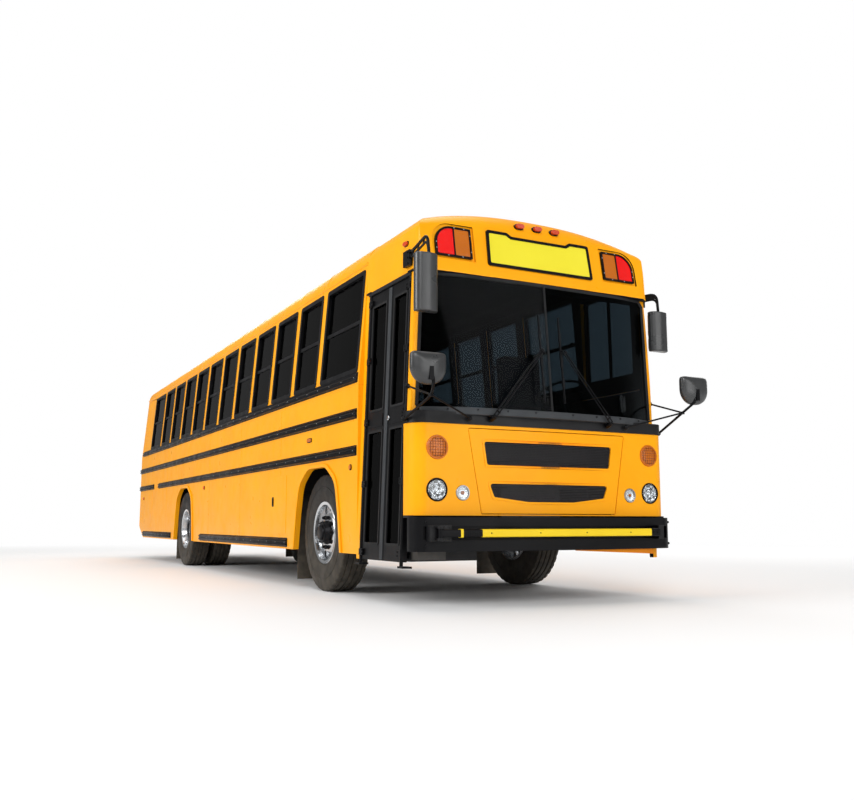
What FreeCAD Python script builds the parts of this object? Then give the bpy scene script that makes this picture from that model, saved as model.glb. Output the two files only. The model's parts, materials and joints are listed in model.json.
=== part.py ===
"""School bus, forward control with the engine beside the driver: every piece as its own solid.

Millimetres. +X is the driver's side, -X the kerb side, +Y the rear and +Z up.
The body is laid out from the front body line, Y = 0, at the foot of the entrance
door's front post, and from the road, Z = 0. On export the whole bus is slid along Y
so that the origin lies on the road under the middle of its overall length.
"""
import FreeCAD
import Part
import functools
import math
import os

V = FreeCAD.Vector

# ---------------------------------------------------------------- body shell
HALF_W = 1219.0            # half the body's width, below the belt
WALL = 45.0                # side, roof and end walls, whole thickness
BODY_END_Y = 11290.0       # outer face of the rear wall
CAP_END_Y = 860.0          # joint of the front cap and the side walls
SKIRT_Z = 370.0            # lower edge of the side skirts
BELT_Z = 1810.0            # above this the side walls lean inward
WALL_LEAN = 0.08           # inward lean of the window band, mm per mm
ROOF_Z = 3190.0            # crown of the roof
EAVE_Z = ROOF_Z - 290.0    # joint of the window band and the roof
EAVE_R = 190.0             # rounding between wall and roof
CROWN_HALF = HALF_W - 519.0  # half width of the roof's flatter middle
CROWN_DROP = 35.0          # fall of the roof over that half width
CROWN_SLOPE = 0.1          # slope of the roof beyond it
FIT = 0.3                  # gap between seated pieces of different bodies
CLEAR = 6.0                # gap around a moving panel
CHORD_ANGLE = math.radians(24)  # turn of one chord in an eased corner

# ---------------------------------------------------------------- windows
SILL_Z = 1932.0            # foot of the passenger windows
WINDOW_TOP_Z = EAVE_Z - 46.0
FIRST_WINDOW_Y = 905.0
FIRST_WINDOW_L = 910.0
WINDOW_PITCH = 768.0       # of the windows behind the first
PILLAR_W = 126.0
WINDOW_COUNT = 12
LAST_WINDOW_L = 830.0
SASH_W = 30.0              # face width of the window frames
SASH_D = 26.0              # depth of the window frames
GLASS_T = 6.0

# ---------------------------------------------------------------- floor and frame
FLOOR_Z = 1000.0           # top of the floor
FLOOR_T = 50.0
RAIL_X = HALF_W - 787.0    # outer face of a frame rail
RAIL_H = 250.0
RAIL_TOP_Z = FLOOR_Z - FLOOR_T - 40.0
RAIL_FLANGE = 80.0
RAIL_T = 12.0
RAIL_FRONT_Y = -150.0
FRAME_END_Y = BODY_END_Y - 120.0
CROSS_MEMBER_YS = (2500.0, 4200.0, 5900.0, 6900.0, 8250.0, 10000.0, 11100.0)
SHAFT_NOTCH = 120.0        # half width of the notch over the propeller shaft
TOW_EYE_R = 25.0
TOW_EYE_REACH = 50.0       # from a rail's flange to the middle of its tow eye
TOW_EYE_SET = (90.0, 150.0)  # from the frame's front and rear ends to the tow eyes

# ---------------------------------------------------------------- axles and wheels
FRONT_AXLE_Y = 1806.0
WHEELBASE = 5770.0
REAR_AXLE_Y = FRONT_AXLE_Y + WHEELBASE
TYRE_R = 540.0
TYRE_W = 275.0
RIM_R = 290.0              # bead seat
FRONT_TRACK_X = HALF_W - 189.0   # middle of a front tyre
DUAL_OUTER_X = HALF_W - 167.0    # middle of an outer rear tyre
DUAL_SPACING = 325.0
KINGPIN_X = FRONT_TRACK_X - 160.0
KINGPIN_R = 25.0
SPINDLE_R = 45.0
RUN_FIT = 0.05             # radial clearance of a bearing
HUB_R = 110.0
NUT_CIRCLE_R = 168.0       # raised flat that carries the wheel nuts
WHEEL_SIDES = 20           # flats round a tyre and its rim
SHOULDER = 46.0            # height of the tyre's bevelled shoulder
DISC_T = 14.0              # thickness of a wheel disc
HAND_HOLES = 8
HAND_HOLE_RING = 222.0
HAND_HOLE_R = 27.0
ARCH_TOP_Z = 1140.0
ARCH_FOOT = 618.0          # half the arch's width at the skirt
ARCH_KNEE = 560.0          # half the arch's width where its arc starts
ARCH_KNEE_Z = 700.0
FRONT_ARCH_Y = FRONT_AXLE_Y + 30.0
REAR_ARCH_Y = REAR_AXLE_Y - 40.0
ARCH_LIP = 34.0            # width of the raised lip
LIP_PROUD = 18.0

# ---------------------------------------------------------------- front end
NOSE_Y = -240.0            # middle of the front panel
NOSE_BOW = 26.0            # how far its ends lie behind its middle
NOSE_HALF_W = HALF_W + 11.0
NOSE_CORNER_R = 105.0
NOSE_BOTTOM_Z = 685.0
COWL_Z = 1382.0            # joint of the nose and the cowl
COWL_TOP_Z = 1475.0
COWL_PROUD = 22.0
LEDGE_H = 45.0             # height of the ledge under the windscreen
STRIP_HALF_W = 9.0         # of the strip between the two panes
PILLAR_FRONT_Y = -98.0     # front of the windscreen pillars
PILLAR_X = 72.0            # width of a pillar seen from the front
SCREEN_TOP_Z = ROOF_Z - 605.0
SCREEN_BOW_FOOT = 180.0
SCREEN_BOW_TOP = 78.0
SCREEN_T = 8.0
CAP_BROW_Y = -172.0        # foot of the front cap's face
CAP_LEAN = 0.17
CAP_EDGE_R = 90.0
CAP_SIDE_R = 130.0
SCREEN_TAPER = 42.0        # how much narrower the windscreen is at its top, each side
BUMPER_TOP_Z = 673.0
BUMPER_H = 255.0
BUMPER_HALF_W = HALF_W + 31.0
BUMPER_Y = -345.0          # front face of the bumper, at its middle
BUMPER_BOW = 60.0
BUMPER_T = 60.0

# ---------------------------------------------------------------- entrance door
DOOR_FRONT_Y = -30.0
DOOR_REAR_Y = 788.0
DOOR_FOOT_Z = 335.0
DOOR_TOP_Z = ROOF_Z - 630.0
DOOR_LEAN = 0.0355
DOOR_T = 40.0
DOOR_STILE = 66.0
DOOR_ROD_R = 14.0

# ---------------------------------------------------------------- other openings
ACCESS_TOP = (COWL_Z - 30.0, HALF_W - 466.0)   # height and half width of the access panel's top
ACCESS_FOOT = (NOSE_BOTTOM_Z + 15.0, HALF_W - 579.0)   # and of its foot
ACCESS_T = 20.0
ACCESS_CORNER = (8.0, 46.0)        # width and height cut from its top corners
ACCESS_OPEN = 70.0
REAR_DOOR_HALF_W = 430.0
REAR_DOOR_FOOT_Z = 1010.0
REAR_DOOR_TOP_Z = ROOF_Z - 670.0
HATCH_SIDE = 600.0
HATCH_YS = (3250.0, 8250.0)
STEERING_X = HALF_W - 579.0        # middle of the driver's place

# ---------------------------------------------------------------- hinges
HINGE_R = 7.0                      # barrels of the access panel
HINGE_L = 60.0
ACCESS_HINGE_XS = (-480.0, 480.0)
ACCESS_HINGE_Y = NOSE_Y + 4.0
ACCESS_HINGE_Z = ACCESS_TOP[0] + 12.0
REAR_HINGE_X = -REAR_DOOR_HALF_W - CLEAR
REAR_HINGE_Y = BODY_END_Y + 12.0
REAR_HINGE_ZS = (1250.0, 1760.0, REAR_DOOR_TOP_Z - 250.0)
REAR_HINGE_R = 10.0
REAR_HINGE_HALF_L = 30.0           # half a barrel of the door
HATCH_HINGE_R = 9.0
HATCH_HINGE_SET = 14.0             # from the cover's front edge to its hinge line
HATCH_HINGE_Z = ROOF_Z + 26.0

# ---------------------------------------------------------------- panes and grilles
REAR_WINDOWS = (                   # half widths from, to and Z from, to of the outer rear windows
    (REAR_DOOR_HALF_W + 130.0, HALF_W - 209.0, BELT_Z + 150.0, ROOF_Z - 630.0),
)
REAR_DOOR_PANES = ((BELT_Z + 150.0, REAR_DOOR_TOP_Z - 100.0), (1180.0, 1480.0))
REAR_PANE_HALF_W = REAR_DOOR_HALF_W - 100.0
REAR_PANE_SET = 30.0               # of the rear panes behind the rear wall's foot
LEAF_SPLIT_Y = (DOOR_FRONT_Y + DOOR_REAR_Y) / 2 - 20.0
LEAF_PANES = ((460.0, 1380.0), (1550.0, DOOR_TOP_Z - 100.0))
PANE_CORNER = 26.0                 # cut of a pane's corners
MESH_T = 6.0
GRILLES = (                        # half top width, top Z, half foot width, foot Z, sag of the foot
    (HALF_W - 587.0, 1271.0, HALF_W - 614.0, 1059.0, 0.0),
    (HALF_W - 633.0, 947.0, HALF_W - 674.0, 812.0, 36.0),
)

# ---------------------------------------------------------------- rub rails
RUB_RAILS = (                      # foot Z, top Z, front Y, rear Y
    (1831.0, 1923.0, 880.0, 11130.0),
    (1516.0, 1608.0, 880.0, 11286.0),
    (1199.0, 1289.0, 880.0, 9560.0),
    (1199.0, 1289.0, 9960.0, 11286.0),
    (385.0, 479.0, 2680.0, 6480.0),
    (385.0, 479.0, 8420.0, 10860.0),
)
RAIL_PROUD = 22.0

# ---------------------------------------------------------------- lamps and signs
LAMP_SIDES = 12
FRONT_LAMPS = (                    # X, Z, lens radius: turn, head and parking lamp
    (HALF_W - 191.0, 1198.0, 84.0),
    (HALF_W - 196.0, 878.0, 88.0),
    (HALF_W - 407.0, 857.0, 58.0),
)
TAIL_LAMPS = (                     # X, Z, radius of the round rear lamps
    (HALF_W - 159.0, 1440.0, 88.0),
    (HALF_W - 359.0, 1440.0, 88.0),
    (HALF_W - 159.0, 1080.0, 60.0),
    (HALF_W - 349.0, 1080.0, 60.0),
)
WARNING_LAMPS = (                  # inner and outer half X, cut of the top outer corner
    (HALF_W - 564.0, HALF_W - 419.0, 10.0),
    (HALF_W - 413.0, HALF_W - 251.0, 90.0),
)
WARNING_Z = (SCREEN_TOP_Z + 139.0, SCREEN_TOP_Z + 400.0)
MARKER_XS = (0.0, 177.0, -177.0, HALF_W - 339.0, 339.0 - HALF_W)
MARKER_HALF_L = 36.0
SIDE_LAMPS = (                     # Y, Z, half length
    (2060.0, 1420.0, 62.0),
    (1010.0, 1105.0, 26.0),
    (6300.0, 1105.0, 26.0),
    (10900.0, 1060.0, 26.0),
)
SIGN_FOOT_Z = SCREEN_TOP_Z + 123.0
SIGN_H = 292.0
SIGN_HALF_W = 510.0
REAR_SIGN_Z = (REAR_DOOR_TOP_Z + 100.0, ROOF_Z - 310.0)
REAR_SIGN_HALF_W = 500.0
PLATE_HOLE_PITCH = 177.8
PLATE_HOLE_R = 3.5
PLATE_X = 700.0
PLATE_Z = 960.0

# ---------------------------------------------------------------- arms
ARM_Z = 554.0                      # crossing arm
ARM_PIVOT_X = 154.0 - HALF_W
ARM_PIVOT_Y = BUMPER_Y - 14.0
ARM_TIP_X = HALF_W - 234.0
ARM_BARREL_R = 20.0
STOP_ARM_Y = 300.0
STOP_ARM_Z = 1500.0
STOP_R = 232.0
STOP_X = HALF_W + 46.0
STOP_BARREL_R = 14.0

# ---------------------------------------------------------------- mirrors and wipers
DOME_X = HALF_W + 43.0
DOME_Y = -543.0
DOME_Z = 1746.0
CROSS_ELBOW = (HALF_W - 24.0, -467.0, 1553.0)
CROSS_ARM = ((HALF_W + 25.0, -110.0, 1412.0), CROSS_ELBOW, (HALF_W + 19.0, -585.0, 1640.0),
             (HALF_W + 19.0, -560.0, 1700.0))
CROSS_BRACE_FEET = ((HALF_W - 460.0, -262.0, 1427.0), (HALF_W - 23.0, -66.0, 1673.0))
UPPER_MIRRORS = (                  # side, X, Y, foot Z, top Z, arm points
    (-1, HALF_W - 4.0, -420.0, ROOF_Z - 1010.0, ROOF_Z - 565.0,
     ((HALF_W - 79.0, -60.0, ROOF_Z - 500.0), (HALF_W - 9.0, -400.0, ROOF_Z - 400.0),
      (HALF_W - 4.0, -420.0, ROOF_Z - 590.0))),
    (1, HALF_W + 46.0, -200.0, ROOF_Z - 1070.0, ROOF_Z - 710.0,
     ((HALF_W - 89.0, -60.0, ROOF_Z - 560.0), (HALF_W + 36.0, -190.0, ROOF_Z - 540.0),
      (HALF_W + 46.0, -200.0, ROOF_Z - 730.0))),
)
WIPER_X = 562.0
WIPER_TIPS = ((-1, -110.0), (1, 85.0))   # side of the foot, X of the blade's holder
WIPER_KNEE_Z = 2010.0
WIPER_BLADE_Z = (1560.0, SCREEN_TOP_Z - 145.0)

# ---------------------------------------------------------------- springs and floor
SPRING_W = 76.0
SPRING_X = RAIL_X + 6.0            # inner face of a spring
SPRING_HALF_L = 620.0
SPRING_Z_FRONT = 640.0
SPRING_Z_REAR = 760.0
SPRING_BRACKETS = (                # Y, foot Z, top Z
    (FRONT_AXLE_Y - SPRING_HALF_L, 560.0, 720.0),
    (FRONT_AXLE_Y + SPRING_HALF_L, 560.0, 720.0),
    (REAR_AXLE_Y - SPRING_HALF_L, 690.0, 860.0),
    (REAR_AXLE_Y + SPRING_HALF_L, 690.0, 860.0),
)
WHEEL_BOX_TOP_Z = 1190.0
WHEEL_BOX_X = HALF_W - 659.0
REAR_BOX_X = HALF_W - 679.0
WHEEL_BOX_T = 12.0
WHEEL_BOX_GAP = 34.0       # from the arch's foot to the ends of its wheel box
STEP_Y = (DOOR_FRONT_Y + 30.0, DOOR_REAR_Y - 20.0)
STEP_DEPTH = 560.0
STEP_COUNT = 3
STEP_FOOT_X = WALL + FIT + 30.0 - HALF_W     # kerb edge of the lowest tread
STEP_TREAD_T = 22.0
STEP_RISER_T = 20.0
STEP_CHEEK_T = 14.0
STEP_CLEAR_X = HALF_W - 699.0      # end of the dashboard beside the steps
ENGINE_Y = (60.0, 1140.0)
ENGINE_X = RAIL_X - 102.0

# ---------------------------------------------------------------- cab and seats
WHEEL_R = 225.0                    # steering wheel
COLUMN_FOOT = (STEERING_X, 130.0, FLOOR_Z + 10.0)
WHEEL_CENTRE = (STEERING_X, 400.0, 1560.0)
SEAT_PITCH = 768.0
SEAT_FIRST_Y = 2640.0
SEAT_ROWS = 11
SEAT_X = (185.0, HALF_W - 69.0)


# ================================================================ shape helpers
# where a plane's two measures go, and the direction of its normal
PLANES = {
    "xy": (V(1, 0, 0), V(0, 1, 0), V(0, 0, 1)),
    "xz": (V(1, 0, 0), V(0, 0, 1), V(0, 1, 0)),
    "yz": (V(0, 1, 0), V(0, 0, 1), V(1, 0, 0)),
}


def corner_points(points, plane="xy"):
    """Corners of an outline through (a, b, r) points of a plane, each corner eased by chords of its r."""
    across, along, _ = PLANES[plane]
    pts = [across * p[0] + along * p[1] for p in points]
    count = len(pts)
    path = []
    for i, here in enumerate(pts):
        r = points[i][2] if len(points[i]) > 2 else 0.0
        if r <= 0:
            path.append(here)
            continue
        before = (pts[i - 1] - here).normalize()
        after = (pts[(i + 1) % count] - here).normalize()
        half = before.getAngle(after) / 2
        centre = here + (before + after).normalize() * (r / math.sin(half))
        start = here + before * (r / math.tan(half)) - centre
        turn = math.pi - 2 * half
        side = (after * (r / math.tan(half)) + here - centre - start * math.cos(turn)) * (1 / math.sin(turn))
        steps = max(1, math.ceil(turn / CHORD_ANGLE))
        for k in range(steps + 1):
            angle = turn * k / steps
            path.append(centre + start * math.cos(angle) + side * math.sin(angle))
    return path


def polygon(corners):
    """Flat face with straight edges through the corners."""
    return Part.Face(Part.makePolygon(corners + corners[:1]))


def solid_of(faces):
    """Closed solid from faces that share their edges."""
    solid = Part.makeSolid(Part.makeShell(faces))
    if solid.Volume < 0:
        solid.reverse()
    return solid


def plate(plane, points, low, high):
    """Prism of a rounded outline in the plane, from low to high along its normal."""
    normal = PLANES[plane][2]
    face = polygon(corner_points(points, plane))
    face.translate(normal * low)
    return face.extrude(normal * (high - low))


def tapered(low_corners, high_corners):
    """Solid between two flat outlines with as many corners, its sides in flat triangles."""
    faces = [polygon(low_corners), polygon(high_corners)]
    count = len(low_corners)
    for i in range(count):
        j = (i + 1) % count
        faces.append(polygon([low_corners[i], low_corners[j], high_corners[i]]))
        faces.append(polygon([low_corners[j], high_corners[j], high_corners[i]]))
    return solid_of(faces)


def box(x, y, z):
    """Box from three (low, high) pairs."""
    return Part.makeBox(x[1] - x[0], y[1] - y[0], z[1] - z[0], V(x[0], y[0], z[0]))


def chamfered(a, b, c):
    """Corner points of a rectangle from two (low, high) pairs, its corners cut off by c."""
    return [(a[0] + c, b[0]), (a[1] - c, b[0]), (a[1], b[0] + c), (a[1], b[1] - c),
            (a[1] - c, b[1]), (a[0] + c, b[1]), (a[0], b[1] - c), (a[0], b[0] + c)]


def rectangle(a, b, r=0.0):
    """Corner points of a rectangle from two (low, high) pairs."""
    return [(a[0], b[0], r), (a[1], b[0], r), (a[1], b[1], r), (a[0], b[1], r)]


def rod(start, end, r):
    """Round bar between two points."""
    start = V(*start)
    end = V(*end)
    return Part.makeCylinder(r, (end - start).Length, start, end - start)


def bar(start, end, r, sides=8):
    """Straight bar of a regular section between two points, r to its flats."""
    start = V(*start)
    along = V(*end) - start
    across = along.cross(V(0, 0, 1)) if abs(along.z) < 0.9 * along.Length else V(0, 1, 0).cross(along)
    across.normalize()
    up = along.cross(across).normalize()
    reach = r / math.cos(math.pi / sides)
    corners = []
    for i in range(sides):
        turn = 2 * math.pi * (i + 0.5) / sides
        corners.append(start + up * (reach * math.cos(turn)) + across * (reach * math.sin(turn)))
    return polygon(corners).extrude(along)


def bent_bar(points, r, sides=6):
    """Bar along straight runs that meet at bends."""
    return joined([bar(here, there, r, sides) for here, there in zip(points, points[1:])])


def disc(x0, x1, y, z, r, sides=12):
    """Flat-sided disc with its axis across the bus, r to its flats."""
    return bar((x0, y, z), (x1, y, z), r, sides)


def turned(profile, x, y, z, sides):
    """Ring about the cross axis through (x, y, z) from (offset, radius) points, in flat facets."""
    grow = 1 / math.cos(math.pi / sides)
    rings = []
    for i in range(sides):
        turn = 2 * math.pi * (i + 0.5) / sides
        rings.append([V(x + a, y + r * grow * math.sin(turn), z + r * grow * math.cos(turn)) for a, r in profile])
    faces = []
    for here, there in zip(rings, rings[1:] + rings[:1]):
        for i in range(len(profile)):
            j = (i + 1) % len(profile)
            faces.append(polygon([here[i], here[j], there[j], there[i]]))
    return solid_of(faces)


def mirrored(shape):
    """The same shape on the other side of the bus."""
    return shape.mirror(V(0, 0, 0), V(1, 0, 0))


def joined(shapes):
    """One shape from several that touch."""
    shapes = list(shapes)
    whole = shapes[0].multiFuse(shapes[1:]) if len(shapes) > 1 else shapes[0]
    return whole.removeSplitter()


def group(shapes):
    """Several separate solids under one name."""
    solids = []
    for shape in shapes:
        solids.extend(shape.Solids)
    return Part.makeCompound(solids)


# ================================================================ body section
def wall_x(z, inset=0.0):
    """Half width of the body's outer face at a height."""
    return HALF_W - inset - WALL_LEAN * max(0.0, z - BELT_Z)


def body_outline(inset):
    """Cross section of the body as points in X and Z, inset all round by the wall."""
    apex = ROOF_Z - CROWN_DROP + CROWN_SLOPE * CROWN_HALF - inset
    wall_top = HALF_W - inset + WALL_LEAN * BELT_Z
    eave_x = (wall_top - WALL_LEAN * apex) / (1 - WALL_LEAN * CROWN_SLOPE)
    eave_z = apex - CROWN_SLOPE * eave_x
    foot = SKIRT_Z - 10.0 if inset else SKIRT_Z
    half = [(HALF_W - inset, foot), (HALF_W - inset, BELT_Z), (eave_x, eave_z, EAVE_R - inset),
            (CROWN_HALF, ROOF_Z - CROWN_DROP - inset)]
    other = [(-p[0],) + tuple(p[1:]) for p in reversed(half)]
    return half + [(0, ROOF_Z - inset)] + other


def roof_z(x):
    """Height of the roof's outer face at a place across it, inside its eaves."""
    beyond = max(0.0, abs(x) - CROWN_HALF)
    return ROOF_Z - CROWN_DROP * min(abs(x), CROWN_HALF) / CROWN_HALF - CROWN_SLOPE * beyond


def body_shell(y0, y1, z0, z1, side=0):
    """Stretch of the body's wall between two stations and two heights, one side or both."""
    outer = plate("xz", body_outline(0.0), y0, y1)
    inner = plate("xz", body_outline(WALL), y0 - 1, y1 + 1)
    reach = HALF_W + 1
    x = {0: (-reach, reach), 1: (WALL, reach), -1: (-reach, -WALL)}[side]
    return outer.cut(inner).common(box(x, (y0, y1), (z0, z1)))


def window_table():
    """Stations of the passenger windows as (front, rear)."""
    table = [(FIRST_WINDOW_Y, FIRST_WINDOW_Y + FIRST_WINDOW_L)]
    start = table[0][1] + PILLAR_W
    for _ in range(WINDOW_COUNT - 2):
        table.append((start, start + WINDOW_PITCH - PILLAR_W))
        start += WINDOW_PITCH
    table.append((start, start + LAST_WINDOW_L))
    return table


def arch_outline(centre_y, grow=0.0):
    """Wheel arch as points in Y and Z: flared legs under a round top."""
    foot = ARCH_FOOT + grow
    knee = ARCH_KNEE + grow
    top = ARCH_TOP_Z + grow
    return [(centre_y - foot, SKIRT_Z - 20), (centre_y + foot, SKIRT_Z - 20),
            (centre_y + knee, ARCH_KNEE_Z), (centre_y + knee * 0.86, top - 150, 220.0),
            (centre_y + knee * 0.42, top, 300.0), (centre_y - knee * 0.42, top, 300.0),
            (centre_y - knee * 0.86, top - 150, 220.0), (centre_y - knee, ARCH_KNEE_Z)]


# ================================================================ body panels
def side_panel(side):
    """Lower wall from skirt to belt, with its wheel arches and their raised lips."""
    panel = body_shell(CAP_END_Y, BODY_END_Y - WALL, SKIRT_Z, BELT_Z, side)
    if side > 0:
        panel = panel.fuse(body_shell(0.0, CAP_END_Y, SKIRT_Z, BELT_Z, side))
    outside = (HALF_W - 4, HALF_W + LIP_PROUD)
    through = (HALF_W - WALL - 5, HALF_W + LIP_PROUD + 5)
    for centre_y in (FRONT_ARCH_Y, REAR_ARCH_Y):
        lip = plate("yz", arch_outline(centre_y, ARCH_LIP), *outside)
        lip = lip.common(box((0, 3000), (0, BODY_END_Y), (SKIRT_Z, BELT_Z)))
        hole = plate("yz", arch_outline(centre_y), *through)
        if side < 0:
            lip = mirrored(lip)
            hole = mirrored(hole)
        panel = panel.fuse(lip).cut(hole)
    # the lower rear corner is cut away up to the bumper
    corner = plate("yz", [(BODY_END_Y - 420, SKIRT_Z - 5), (BODY_END_Y + 5, SKIRT_Z - 5),
                          (BODY_END_Y + 5, SKIRT_Z + 190)], -HALF_W - 5, HALF_W + 5)
    return panel.cut(corner).removeSplitter()


def window_band(side):
    """Leaning upper wall with the passenger windows cut through it."""
    band = body_shell(CAP_END_Y, BODY_END_Y - WALL, BELT_Z, EAVE_Z, side)
    for y0, y1 in window_table():
        points = rectangle((y0, y1), (SILL_Z, WINDOW_TOP_Z))
        x = sorted((side * (HALF_W - 300), side * (HALF_W + 5)))
        band = band.cut(plate("yz", points, *x))
    return band


def roof():
    """Roof skin between the caps, with a hole under each hatch."""
    skin = body_shell(CAP_END_Y, BODY_END_Y - WALL, EAVE_Z, ROOF_Z + 1)
    half = HATCH_SIDE / 2 - 25
    for y in HATCH_YS:
        skin = skin.cut(plate("xy", chamfered((-half, half), (y - half, y + half), 30), EAVE_Z, ROOF_Z + 100))
    return skin


def cab_outline(inset):
    """Section of the front cap: like the body's, but leaning straight up from the skirt."""
    lean = DOOR_LEAN
    apex = ROOF_Z - CROWN_DROP + CROWN_SLOPE * CROWN_HALF - inset
    half_foot = HALF_W + 8 - inset
    wall_top = half_foot + lean * DOOR_FOOT_Z
    eave_x = (wall_top - lean * apex) / (1 - lean * CROWN_SLOPE)
    eave_z = apex - CROWN_SLOPE * eave_x
    half = [(half_foot, DOOR_FOOT_Z), (eave_x, eave_z, EAVE_R + 10 - inset),
            (CROWN_HALF, ROOF_Z - CROWN_DROP - inset)]
    other = [(-p[0],) + tuple(p[1:]) for p in reversed(half)]
    return half + [(0, ROOF_Z - inset)] + other


def cab_block(inset, y0, y1, corner_r):
    """Solid of the cab's section between two stations with its two front edges rounded."""
    block = plate("xz", cab_outline(inset), y0, y1)
    if corner_r > 0:
        plan = [(-HALF_W - 9, y1 + 1), (-HALF_W - 9, y0, corner_r), (HALF_W + 9, y0, corner_r),
                (HALF_W + 9, y1 + 1)]
        block = block.common(plate("xy", plan, 0, ROOF_Z + 10))
    return block


@functools.lru_cache(maxsize=None)
def cap_head():
    """Solid of the brow over the windscreen: leaning face, rounded into roof and sides."""
    head = plate("xz", cab_outline(0.0), CAP_BROW_Y, CAP_END_Y)
    face_top = cap_face_y(ROOF_Z)
    side_view = [(CAP_BROW_Y, SCREEN_TOP_Z), (CAP_END_Y, SCREEN_TOP_Z), (CAP_END_Y, ROOF_Z + 5),
                 (face_top, ROOF_Z + 5, CAP_EDGE_R)]
    plan = [(-HALF_W - 9, CAP_END_Y), (-HALF_W - 9, CAP_BROW_Y, CAP_SIDE_R), (HALF_W + 9, CAP_BROW_Y, CAP_SIDE_R),
            (HALF_W + 9, CAP_END_Y)]
    head = head.common(plate("yz", side_view, -HALF_W - 10, HALF_W + 10))
    return head.common(plate("xy", plan, SCREEN_TOP_Z - 5, ROOF_Z + 10))


def screen_outline(inset):
    """Outline of the windscreen's opening in X and Z."""
    foot = HALF_W - PILLAR_X - inset
    top = foot - SCREEN_TAPER
    high = SCREEN_TOP_Z - inset
    return [(-foot, COWL_TOP_Z - 60), (foot, COWL_TOP_Z - 60), (top, high - 50), (top - 50, high),
            (-top + 50, high), (-top, high - 50)]


@functools.lru_cache(maxsize=None)
def front_cap():
    """Moulded front: roof end, brow, windscreen pillars and door portal."""
    posts = cab_block(0.0, PILLAR_FRONT_Y, CAP_END_Y, 58.0)
    posts = posts.common(box((-HALF_W - 10, HALF_W + 10), (PILLAR_FRONT_Y, CAP_END_Y),
                             (DOOR_FOOT_Z, SCREEN_TOP_Z + 1)))
    shell = cap_head().fuse(posts)
    shell = shell.cut(plate("xz", cab_outline(WALL), PILLAR_FRONT_Y + WALL, CAP_END_Y + 1))
    shell = shell.cut(plate("xz", screen_outline(0.0), PILLAR_FRONT_Y - 200, PILLAR_FRONT_Y + WALL + 5))
    # the nose and cowl stand ahead of the posts below the windscreen
    foot = HALF_W - PILLAR_X
    shell = shell.cut(box((-foot, foot), (PILLAR_FRONT_Y - 5, PILLAR_FRONT_Y + WALL + 5),
                          (DOOR_FOOT_Z - 5, COWL_TOP_Z)))
    portal = rectangle((DOOR_FRONT_Y - CLEAR, DOOR_REAR_Y + CLEAR), (DOOR_FOOT_Z - 50, DOOR_TOP_Z + 40))
    shell = shell.cut(plate("yz", portal, -HALF_W - 20, -HALF_W + 260))
    # the driver's side below the belt belongs to the side panel
    shell = shell.cut(box((300, HALF_W + 20), (-10.0, CAP_END_Y + 5), (DOOR_FOOT_Z - 5, BELT_Z)))
    driver_window = chamfered((60, 790), (SILL_Z, WINDOW_TOP_Z - 60), PANE_CORNER)
    shell = shell.cut(plate("yz", driver_window, HALF_W - 300, HALF_W + 80))
    return shell.removeSplitter()


def nose_plan(inset, y_back=DOOR_FRONT_Y - CLEAR):
    """Plan of the nose: a slightly bowed front between two rounded corners."""
    half = NOSE_HALF_W - inset
    side_y = NOSE_Y + NOSE_BOW + inset
    back = y_back
    return [(-half, back), (-half, side_y, NOSE_CORNER_R - inset), (0, NOSE_Y + inset, 9000),
            (half, side_y, NOSE_CORNER_R - inset), (half, back)]


def access_outline(grow=0.0):
    """Outline of the access panel in X and Z, wider at its top."""
    return [(-ACCESS_FOOT[1] - grow, ACCESS_FOOT[0] - grow), (ACCESS_FOOT[1] + grow, ACCESS_FOOT[0] - grow),
            (ACCESS_TOP[1] + grow, ACCESS_TOP[0] + grow), (-ACCESS_TOP[1] - grow, ACCESS_TOP[0] + grow)]


def nose_shell():
    """Front wall below the windscreen, open for the access panel and the lamps."""
    shell = plate("xy", nose_plan(0.0), NOSE_BOTTOM_Z, COWL_Z)
    shell = shell.cut(plate("xy", nose_plan(WALL, 200.0), NOSE_BOTTOM_Z - 1, COWL_Z + 1))
    shell = shell.cut(plate("xz", access_outline(CLEAR), NOSE_Y - 20, NOSE_Y + 120))
    for x, z, r in FRONT_LAMPS:
        for side in (-1, 1):
            shell = shell.cut(bar((side * x, NOSE_Y - 20, z), (side * x, NOSE_Y + 120, z), r + FIT, LAMP_SIDES))
    pocket_y = ACCESS_HINGE_Y + 16.0
    for x in ACCESS_HINGE_XS:
        reach = HINGE_L * 1.5 + CLEAR
        pocket = box((x - reach, x + reach), (NOSE_Y - 20, pocket_y), (ACCESS_HINGE_Z - 16, COWL_Z + 1))
        shell = shell.cut(pocket)
        for end in (-1, 1):
            span = sorted((x + end * (HINGE_L / 2 + FIT), x + end * HINGE_L * 1.5))
            shell = shell.fuse(box(span, (ACCESS_HINGE_Y - HINGE_R, pocket_y + 2),
                                   (ACCESS_HINGE_Z - HINGE_R, ACCESS_HINGE_Z + HINGE_R)))
    return shell.cut(front_cap()).removeSplitter()


def grille_outline(grille, grow=0.0):
    """Outline of one grille opening in X and Z."""
    top_half, top_z, foot_half, foot_z, sag = grille
    points = [(-foot_half - grow, foot_z - grow), (foot_half + grow, foot_z - grow),
              (top_half + grow, top_z + grow), (-top_half - grow, top_z + grow)]
    if sag > 0:
        points.insert(1, (foot_half * 0.4, foot_z - grow - sag))
        points.insert(1, (-foot_half * 0.4, foot_z - grow - sag))
    return points


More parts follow.
